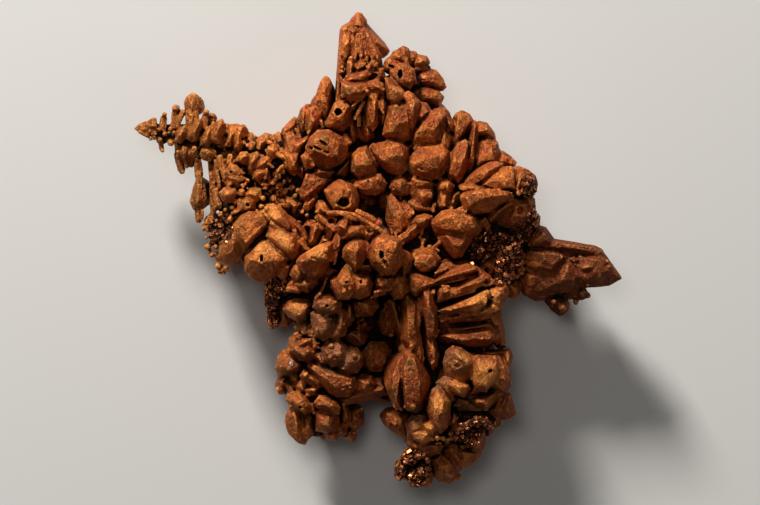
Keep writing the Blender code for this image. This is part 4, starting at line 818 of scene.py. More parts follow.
# Thick blocks side by side, the brightest of the crystals.
westBlocks = {
    "gems": [
        (6.0, 1.3,
         [(-10.95, -0.5), (-10.95, -1.6), (-10.55, -2.15), (-9.8, -2.5), (-9.15, -2.45), (-8.7, -2.0),
          (-8.4, -1.4), (-7.6, -0.8), (-8.1, -0.1), (-9.4, 0.85), (-9.95, 0.65), (-10.6, -0.1)],
         [(-10.6, -0.75, -0.3), (-9.7, -1.0), (-8.6, -1.15, -0.1), (-9.75, 0.4, -0.6), (-9.3, 0.5, -0.6),
          (-8.0, -0.6, -0.4)]),
        (5.9, 1.1,
         [(-9.2, 1.1), (-8.9, 2.0), (-8.2, 1.7), (-7.5, 1.15), (-6.9, 1.3), (-6.7, 0.5), (-6.75, -0.3),
          (-7.1, -0.75), (-7.55, -0.5), (-8.4, 0.35)],
         [(-8.8, 1.6, -0.5), (-7.8, 0.95), (-7.1, 1.05, -0.1), (-8.9, 1.15, -0.5), (-7.6, -0.05, -0.1),
          (-7.1, 0.15)]),
        (5.6, 1.1,
         [(-9.55, 3.1), (-9.35, 3.65), (-8.7, 3.75), (-8.15, 3.5), (-7.2, 2.4), (-6.95, 1.6),
          (-7.5, 1.15), (-7.9, 1.45), (-8.9, 2.4), (-9.4, 2.7)],
         [(-9.2, 3.4, -0.2), (-8.5, 3.4), (-7.55, 2.1), (-8.7, 2.65)]),
        (5.0, 0.7,
         [(-8.3, 3.45), (-7.2, 2.6), (-6.35, 1.9), (-5.95, 1.3), (-5.8, 0.75), (-6.3, 0.95), (-6.95, 1.5),
          (-7.7, 2.4)], [(-7.8, 3.0, -0.2), (-6.7, 1.95), (-6.05, 1.1, -0.1)]),
        (5.2, 0.7, [(-6.85, 1.1), (-6.2, 0.75), (-5.75, 0.1), (-6.0, -0.25), (-6.5, 0.2), (-6.8, 0.7)],
         [(-6.6, 0.85), (-5.95, 0.0, -0.1)]),
        (4.7, 1.4,
         [(-13.1, 0.35), (-12.5, 1.35), (-11.9, 2.0), (-11.45, 1.9), (-11.2, 1.0), (-10.95, 0.2),
          (-11.0, -0.4), (-11.3, -0.85), (-12.2, -1.1), (-12.8, -0.95), (-13.2, -0.4)],
         [(-12.25, 0.2), (-11.95, 0.9), (-11.75, 1.7, -0.3), (-12.8, 0.1, -0.5), (-12.1, 1.6, -0.5)]),
        (5.5, 1.2,
         [(-11.95, 2.1), (-11.4, 2.75), (-10.8, 3.1), (-9.5, 3.1), (-9.05, 2.5), (-9.3, 1.95),
          (-10.1, 1.2), (-10.6, 0.5), (-11.0, 0.0), (-11.5, 0.25), (-11.95, 0.8), (-11.9, 1.3)],
         [(-11.5, 2.2, -0.2), (-10.8, 2.85), (-9.8, 2.8), (-9.5, 2.4), (-10.5, 1.3), (-11.1, 0.9, -0.2),
          (-11.5, 1.4, -0.2)]),
        (5.0, 1.0,
         [(-8.5, -0.9), (-7.8, -0.75), (-7.2, -1.2), (-7.15, -1.9), (-7.9, -2.25), (-8.6, -1.9)],
         [(-8.1, -1.1), (-7.6, -1.4), (-8.0, -1.8, -0.2)]),
        (4.0, 1.6,
         [(-12.2, 2.6), (-9.0, 4.0), (-7.0, 2.4), (-6.2, 0.6), (-7.4, -1.4), (-9.4, -2.0), (-11.6, -0.8),
          (-12.6, 0.6)], [(-11.0, 1.8), (-8.4, 2.4), (-7.6, 0.2), (-9.6, -0.6)]),
    ],
    "rods": [
        ((-11.85, 2.1, 5.1), (-11.5, 0.9, 5.1), 0.48), ((-11.0, 0.7, 5.5), (-9.7, 2.0, 5.7), 0.42),
        ((-8.9, 2.3, 5.3), (-7.5, 1.25, 5.3), 0.5), ((-7.0, 1.7, 5.2), (-6.7, 0.9, 5.1), 0.4),
        ((-9.6, 3.2, 5.2), (-8.9, 2.5, 5.3), 0.45), ((-6.6, -0.1, 4.7), (-6.1, -0.4, 4.7), 0.4),
    ],
    "balls": [
        (-9.3, 3.5, 5.5, 0.5), (-10.6, 3.1, 5.0, 0.4), (-9.9, 3.15, 5.0, 0.35), (-11.3, 1.05, 5.3, 0.5),
    ],
    "rubble": [(-7.6, -2.6, 0.9, 0.6, 3.9, 0.45, 12), (-6.6, -0.2, 0.4, 0.3, 4.4, 0.3, 4)],
    "grooves": [
        ((-9.78, -0.05), (-9.7, -0.95), 0.16, 0.7, 5.9), ((-9.3, 0.6), (-8.2, -0.4), 0.09, 0.12, 5.75),
        ((-11.3, 2.1), (-10.2, 2.0), 0.16, 0.35, 5.5), ((-10.2, 2.0), (-9.6, 2.45), 0.14, 0.3, 5.5),
        ((-10.7, 1.5), (-9.9, 2.0), 0.16, 0.5, 5.6), ((-8.7, 2.9), (-7.7, 1.8), 0.1, 0.15, 5.5),
        ((-7.6, 2.7), (-6.5, 1.7), 0.08, 0.12, 5.0), ((-8.6, 1.4), (-7.8, 0.6), 0.09, 0.15, 5.8),
        ((-12.1, 1.6), (-11.7, 0.9), 0.1, 0.25, 4.8),
    ],
    "pits": [(-10.4, 2.85, 0.3, 0.14, 5.5, 0.6), (-9.7, -0.6, 0.16, 0.4, 6.0, 0.9)],
}
growPiece("westBlocks", westBlocks, 23)


# Leaves and plates that climb from the arm to the spire.
northWest = {
    "gems": [
        (2.6, 0.8,
         [(-5.0, 13.2), (-4.75, 14.1), (-4.45, 14.5), (-4.15, 14.35), (-3.95, 13.6), (-4.05, 12.0),
          (-4.3, 11.0), (-4.7, 11.3), (-5.0, 12.2)],
         [(-4.45, 14.2, -0.2), (-4.7, 12.6), (-4.4, 11.8, 0.1)]),
        (2.3, 0.9, [(-5.7, 11.9), (-5.4, 12.6), (-4.9, 13.3), (-4.6, 12.6), (-4.9, 11.9)],
         [(-5.2, 12.5), (-5.1, 12.1)]),
        (3.2, 0.8,
         [(-5.9, 10.9), (-5.7, 11.8), (-5.2, 12.0), (-4.9, 11.5), (-5.0, 10.7), (-5.5, 10.1),
          (-5.75, 9.6), (-5.95, 10.2)], [(-5.5, 11.5), (-5.3, 10.9), (-5.7, 10.3)]),
        (2.6, 0.8,
         [(-6.6, 11.0), (-6.45, 11.7), (-6.0, 12.15), (-5.8, 12.1), (-6.0, 11.0), (-5.9, 9.9),
          (-6.3, 9.6), (-6.6, 10.1)], [(-6.2, 11.6), (-6.3, 10.4)]),
        (2.4, 0.7,
         [(-8.05, 9.7), (-7.9, 10.2), (-7.4, 10.6), (-7.1, 11.1), (-6.9, 10.9), (-6.95, 10.2),
          (-7.2, 9.6), (-7.8, 9.4)], [(-7.3, 10.4), (-7.1, 10.7, -0.1), (-7.7, 9.9)]),
        (3.4, 0.8,
         [(-7.6, 9.6), (-7.1, 9.7), (-6.7, 9.0), (-6.8, 8.0), (-6.75, 7.0), (-6.95, 6.4), (-7.35, 6.6),
          (-7.85, 7.2), (-7.6, 8.0)], [(-7.3, 9.2), (-7.1, 8.0), (-7.2, 7.0)]),
        (3.8, 0.6, [(-7.45, 8.0), (-6.75, 7.95), (-6.85, 6.9), (-7.3, 6.9)], [(-7.3, 7.8), (-7.0, 7.1)]),
        (3.7, 0.7, [(-7.1, 8.9), (-6.3, 9.2), (-5.95, 9.5), (-5.9, 9.1), (-6.3, 8.5), (-6.9, 8.1)],
         [(-6.8, 8.7), (-6.1, 9.2)]),
        (2.9, 0.8, [(-6.75, 7.5), (-6.2, 7.3), (-6.0, 6.6), (-6.3, 6.1), (-6.8, 6.6)],
         [(-6.5, 7.2), (-6.3, 6.7)]),
        (5.8, 1.5,
         [(-5.9, 8.6), (-5.6, 9.3), (-5.0, 9.9), (-4.1, 9.9), (-3.2, 9.4), (-2.7, 8.8), (-2.75, 7.9),
          (-3.3, 7.2), (-4.2, 7.05), (-5.1, 7.25), (-5.7, 7.8)],
         [(-5.2, 9.2, -0.2), (-4.3, 9.5, -0.2), (-3.5, 8.9), (-3.4, 8.0, -0.1), (-4.3, 7.6, -0.3),
          (-5.2, 8.0, -0.3)]),
        (4.6, 0.7, [(-6.3, 7.8), (-5.9, 8.2), (-5.3, 8.2), (-5.0, 7.5), (-5.5, 7.0), (-6.0, 7.0)],
         [(-5.9, 7.8), (-5.3, 7.6)]),
        (4.4, 0.7, [(-5.3, 6.3), (-5.0, 6.9), (-4.2, 6.9), (-3.8, 6.6), (-4.1, 6.2), (-4.8, 6.1)],
         [(-4.9, 6.6), (-4.2, 6.6)]),
        (4.3, 0.9,
         [(-6.3, 5.2), (-5.9, 6.3), (-5.6, 6.4), (-5.2, 6.0), (-4.3, 6.2), (-3.9, 5.9), (-4.3, 5.3),
          (-5.2, 4.8), (-6.1, 4.3), (-6.4, 4.5)], [(-5.7, 6.0), (-4.5, 5.8), (-5.8, 4.9, -0.2)]),
        (4.0, 0.8, [(-3.7, 6.3), (-2.9, 7.1), (-2.3, 8.2), (-2.2, 7.2), (-2.8, 6.3), (-3.3, 6.1)],
         [(-3.2, 6.6), (-2.5, 7.4)]),
        (2.8, 0.9, [(-7.6, 4.1), (-6.9, 4.3), (-6.5, 3.9), (-6.6, 3.2), (-7.1, 3.1), (-7.5, 3.5)],
         [(-7.2, 3.9), (-6.9, 3.7)]),
        (3.9, 0.5, [(-6.2, 3.6), (-5.9, 4.1), (-5.4, 4.6), (-5.1, 4.5), (-5.2, 4.0), (-5.8, 3.5)],
         [(-5.8, 3.9), (-5.4, 4.3)]),
    ],
    "rods": [
        ((-7.6, 8.0, 3.3), (-7.7, 6.9, 3.0), 0.35), ((-6.8, 10.1, 2.6), (-6.5, 9.4, 2.9), 0.35),
        ((-8.2, 8.5, 2.9), (-7.6, 7.8, 3.1), 0.5), ((-4.8, 10.9, 2.7), (-4.5, 10.2, 2.8), 0.4),
        ((-5.9, 6.3, 4.2), (-6.1, 5.4, 4.1), 0.3), ((-4.9, 5.6, 4.3), (-6.2, 4.5, 4.1), 0.35),
        ((-2.4, 8.9, 3.8), (-2.9, 9.8, 3.4), 0.6), ((-5.6, 10.3, 3.0), (-5.9, 9.7, 3.2), 0.3),
    ],
    "balls": [
        (-6.65, 5.0, 3.1, 0.55), (-6.35, 3.2, 3.4, 0.42), (-5.95, 2.95, 3.7, 0.4), (-6.9, 4.6, 2.5, 0.5),
        (-5.4, 7.2, 4.5, 0.5), (-4.2, 8.0, 5.7, 0.5), (-5.3, 8.4, 5.6, 0.5), (-3.2, 6.6, 3.8, 0.5),
        (-8.3, 8.1, 3.1, 0.4), (-6.9, 10.15, 2.6, 0.35),
    ],
    "rubble": [
        (-7.4, 9.9, 0.5, 0.4, 2.3, 0.3, 7), (-7.8, 5.0, 1.2, 1.0, 1.8, 0.6, 14),
        (-4.7, 10.4, 0.7, 0.4, 2.6, 0.5, 6),
    ],
    "grooves": [
        ((-5.85, 11.7), (-5.95, 11.0), 0.14, 0.4, 2.9), ((-5.1, 11.9), (-4.85, 11.6), 0.24, 0.6, 3.0),
        ((-4.25, 13.9), (-4.2, 12.0), 0.1, 0.3, 2.6), ((-5.6, 8.8), (-4.6, 8.3), 0.3, 0.8, 5.7),
        ((-4.6, 8.3), (-4.0, 8.1), 0.22, 0.5, 5.7), ((-4.9, 9.2), (-4.2, 8.7), 0.35, 0.35, 5.7),
        ((-3.9, 8.6), (-3.3, 8.5), 0.12, 0.3, 5.8), ((-5.3, 5.7), (-4.3, 5.8), 0.14, 0.3, 4.3),
        ((-6.1, 4.9), (-5.2, 5.5), 0.12, 0.3, 4.2), ((-6.0, 7.6), (-5.3, 7.8), 0.14, 0.4, 4.6),
        ((-7.45, 9.4), (-7.5, 8.3), 0.1, 0.2, 3.4),
    ],
    "pits": [
        (-5.55, 8.55, 0.22, 0.2, 5.6, 1.2), (-4.6, 7.75, 0.12, 0.08, 5.4, 0.6),
        (-4.4, 7.95, 0.08, 0.08, 5.4, 0.6), (-3.3, 8.75, 0.14, 0.12, 5.8, 0.5),
        (-6.5, 11.3, 0.1, 0.14, 2.4, 0.3), (-4.8, 5.8, 0.25, 0.14, 4.4, 0.4),
        (-7.65, 7.4, 0.08, 0.12, 3.2, 0.4),
    ],
}
growPiece("northWest", northWest, 24)


# The tallest point: long bars side by side under a pointed cap, and a folded foot.
spire = {
    "style": {"mostDepth": 2.6},
    "gems": [
        (2.2, 0.9,
         [(-2.45, 18.9), (-2.1, 19.4), (-1.75, 19.85), (-1.45, 19.8), (-1.1, 19.3), (-1.05, 18.7),
          (-1.5, 18.5), (-2.2, 18.6)], [(-1.65, 19.6, -0.2), (-1.9, 18.9), (-1.4, 18.8)]),
        (2.4, 1.0,
         [(-3.2, 18.3), (-3.05, 18.65), (-2.5, 19.0), (-2.2, 18.6), (-2.3, 18.0), (-2.5, 16.0),
          (-2.6, 14.6), (-2.6, 13.0), (-3.2, 11.8), (-3.65, 12.4), (-3.35, 14.6), (-3.1, 16.6)],
         [(-2.8, 18.4), (-2.85, 16.0, 0.2), (-3.15, 14.0, 0.3), (-3.4, 12.6, 0.4)]),
        (2.9, 0.6,
         [(-3.0, 17.4), (-2.8, 18.0), (-2.4, 17.9), (-2.3, 17.0), (-2.4, 16.2), (-2.8, 15.9),
          (-3.0, 16.4)], [(-2.8, 17.5), (-2.5, 17.4), (-2.6, 16.3)]),
        (2.8, 0.7,
         [(-2.4, 18.5), (-1.2, 18.7), (-0.6, 17.6), (0.1, 16.4), (0.3, 15.2), (0.3, 13.8), (-2.6, 13.8),
          (-2.6, 15.8)], [(-1.6, 18.2), (-0.9, 17.4), (-0.2, 15.4), (-1.0, 14.2), (-2.2, 14.4)]),
        (3.0, 1.0,
         [(-1.9, 18.3), (-1.2, 18.4), (-0.9, 17.8), (-1.0, 16.4), (-1.2, 15.2), (-1.9, 15.0),
          (-2.0, 16.6)], [(-1.6, 18.1), (-1.4, 16.8, 0.2), (-1.6, 15.6, 0.3)]),
        (3.0, 1.0,
         [(-1.1, 18.0), (-0.5, 17.3), (0.05, 16.4), (0.2, 15.4), (-0.4, 15.1), (-0.9, 15.4),
          (-1.0, 16.6)], [(-0.8, 17.4), (-0.3, 16.4, 0.2), (-0.3, 15.6, 0.3)]),
        (2.0, 1.6,
         [(-1.2, 19.05), (-0.85, 18.95), (-0.2, 18.1), (0.4, 17.5), (0.85, 16.9), (0.7, 16.6),
          (0.1, 16.3), (-0.1, 16.9), (-0.6, 17.4), (-1.15, 18.2)],
         [(-0.95, 18.6, -0.2), (0.15, 17.3), (-0.1, 17.0), (-1.0, 18.2, -0.2)]),
        (1.9, 1.4, [(-3.0, 18.2), (-0.6, 18.4), (0.1, 16.4), (0.2, 12.0), (-3.6, 11.8), (-3.2, 15.0)],
         [(-1.8, 18.0, -0.3), (-0.8, 16.0), (-2.4, 13.0, 0.6)]),
        (3.9, 0.8, [(-2.5, 15.7), (-2.2, 16.0), (-2.0, 15.3), (-2.1, 14.6), (-2.6, 14.4)],
         [(-2.25, 15.5), (-2.3, 14.8)]),
        (3.8, 0.7, [(-1.9, 15.4), (-1.4, 16.0), (-1.1, 15.8), (-1.3, 15.1), (-1.7, 14.9)],
         [(-1.5, 15.6), (-1.5, 15.2)]),
        (4.3, 0.7,
         [(-2.8, 14.3), (-2.2, 14.7), (-1.5, 14.6), (-1.0, 15.0), (-0.6, 15.1), (-0.7, 14.7),
          (-1.2, 14.2), (-2.0, 13.9), (-2.8, 13.8)], [(-2.3, 14.3), (-1.4, 14.3), (-0.8, 14.9, -0.1)]),
        (3.6, 0.8, [(-0.9, 14.6), (-0.4, 15.1), (0.4, 15.15), (0.5, 14.4), (0.3, 13.9), (-0.4, 14.0)],
         [(-0.4, 14.8), (0.2, 14.8, -0.3), (0.1, 14.2, -0.3)]),
        (4.9, 0.9,
         [(-2.9, 13.9), (-2.2, 13.9), (-1.0, 13.95), (-0.6, 13.7), (-1.0, 13.1), (-1.7, 12.6),
          (-2.3, 12.7), (-2.9, 13.2)], [(-2.5, 13.6), (-1.2, 13.7), (-1.7, 13.0), (-2.4, 13.1)]),
        (4.5, 0.5,
         [(-0.9, 14.0), (-0.2, 14.1), (0.5, 13.8), (0.8, 13.3), (0.4, 13.1), (-0.3, 13.4), (-0.9, 13.5)],
         [(-0.5, 13.8), (0.3, 13.55)]),
        (4.6, 1.3,
         [(-3.9, 11.2), (-3.6, 12.2), (-3.2, 12.4), (-2.5, 12.3), (-2.3, 11.9), (-2.7, 11.2),
          (-2.6, 10.5), (-3.1, 10.0), (-3.9, 10.1), (-4.3, 10.6)],
         [(-3.6, 11.9), (-2.7, 12.0), (-3.0, 10.95), (-3.8, 10.9, -0.1)]),
        (4.6, 1.1,
         [(-0.9, 13.1), (-0.4, 13.45), (0.1, 13.2), (0.05, 12.0), (0.0, 10.8), (-0.4, 10.1), (-0.8, 10.6),
          (-1.0, 12.0)], [(-0.5, 12.9), (-0.3, 11.6, 0.1), (-0.4, 10.7)]),
        (4.1, 0.8, [(0.1, 13.0), (0.6, 12.9), (0.85, 12.0), (0.8, 11.0), (0.4, 10.7), (0.1, 11.6)],
         [(0.4, 12.5), (0.5, 11.5)]),
        (3.3, 1.0, [(-1.5, 10.9), (-0.9, 11.3), (-0.5, 10.6), (-0.4, 9.6), (-0.9, 9.1), (-1.5, 9.5)],
         [(-1.1, 10.8), (-0.8, 9.8)]),
        (3.2, 1.0, [(-2.8, 10.6), (-2.3, 11.3), (-1.8, 10.8), (-1.7, 9.8), (-2.0, 9.2), (-2.6, 9.5)],
         [(-2.3, 10.8), (-2.1, 9.8)]),
    ],
    "rods": [
        ((-2.2, 12.0, 4.2), (-1.1, 12.9, 4.4), 0.28), ((-1.9, 11.0, 3.9), (-1.1, 12.6, 4.2), 0.35),
        ((-2.6, 11.4, 3.4), (-1.5, 12.7, 3.6), 0.4), ((-0.95, 18.2, 2.8), (0.0, 16.0, 3.3), 0.3),
        ((-2.95, 18.0, 2.1), (-3.35, 13.0, 2.7), 0.4), ((-1.75, 15.2, 3.9), (-1.0, 15.7, 3.8), 0.35),
        ((-0.9, 15.2, 3.9), (-0.3, 15.9, 3.6), 0.4), ((-3.0, 12.9, 4.1), (-2.4, 13.3, 4.4), 0.4),
        ((-0.1, 12.6, 4.0), (0.5, 11.4, 4.2), 0.3), ((-1.6, 10.4, 3.3), (-1.6, 11.5, 3.4), 0.4),
        ((-1.7, 18.1, 3.0), (-1.95, 15.9, 3.4), 0.32), ((-1.45, 18.1, 3.1), (-1.4, 15.8, 3.5), 0.34),
        ((-1.25, 17.9, 3.1), (-0.85, 15.6, 3.5), 0.32), ((-1.05, 17.6, 3.0), (-0.35, 15.6, 3.4), 0.3),
    ],
    "balls": [
        (-2.5, 18.8, 2.6, 0.35), (-2.3, 16.1, 3.3, 0.4), (-0.3, 15.5, 3.7, 0.5), (0.5, 13.4, 4.6, 0.4),
        (-3.0, 15.0, 3.1, 0.4), (-0.9, 13.3, 4.9, 0.4), (-2.6, 14.5, 4.0, 0.4),
    ],
    "rubble": [
        (-1.2, 16.6, 0.8, 1.5, 3.1, 0.28, 18), (-3.0, 15.6, 0.25, 1.6, 2.75, 0.28, 14),
        (-1.9, 18.4, 0.5, 0.3, 2.6, 0.3, 6), (0.4, 12.0, 0.4, 0.9, 3.8, 0.3, 8),
        (-0.2, 15.9, 0.3, 0.7, 3.2, 0.28, 8),
    ],
    "grooves": [
        ((-2.05, 18.1), (-2.05, 15.9), 0.26, 1.0, 3.0), ((-1.1, 18.9), (-1.2, 18.2), 0.16, 0.7, 2.5),
        ((-1.0, 17.9), (-0.2, 16.3), 0.09, 0.25, 3.1), ((-0.8, 17.2), (-0.1, 15.9), 0.09, 0.25, 3.1),
        ((-2.6, 13.7), (-1.3, 13.75), 0.12, 0.3, 4.9), ((-2.5, 13.3), (-1.4, 13.2), 0.12, 0.25, 4.9),
        ((-2.3, 13.0), (-1.6, 12.8), 0.1, 0.2, 4.9), ((-3.0, 15.9), (-2.8, 14.8), 0.16, 0.4, 2.9),
        ((-2.1, 14.4), (-1.5, 14.3), 0.12, 0.3, 4.3), ((-0.9, 14.4), (-1.3, 14.05), 0.1, 0.3, 4.3),
        ((0.15, 13.0), (0.15, 11.2), 0.12, 0.5, 4.5), ((-2.3, 18.7), (-1.4, 18.75), 0.1, 0.2, 2.4),
    ],
    "pits": [
        (-3.35, 11.6, 0.42, 0.34, 4.6, 1.2), (0.1, 12.7, 0.18, 0.25, 4.4, 0.8),
        (-0.3, 14.6, 0.45, 0.3, 3.7, 0.5),
    ],
}
growPiece("spire", spire, 25)


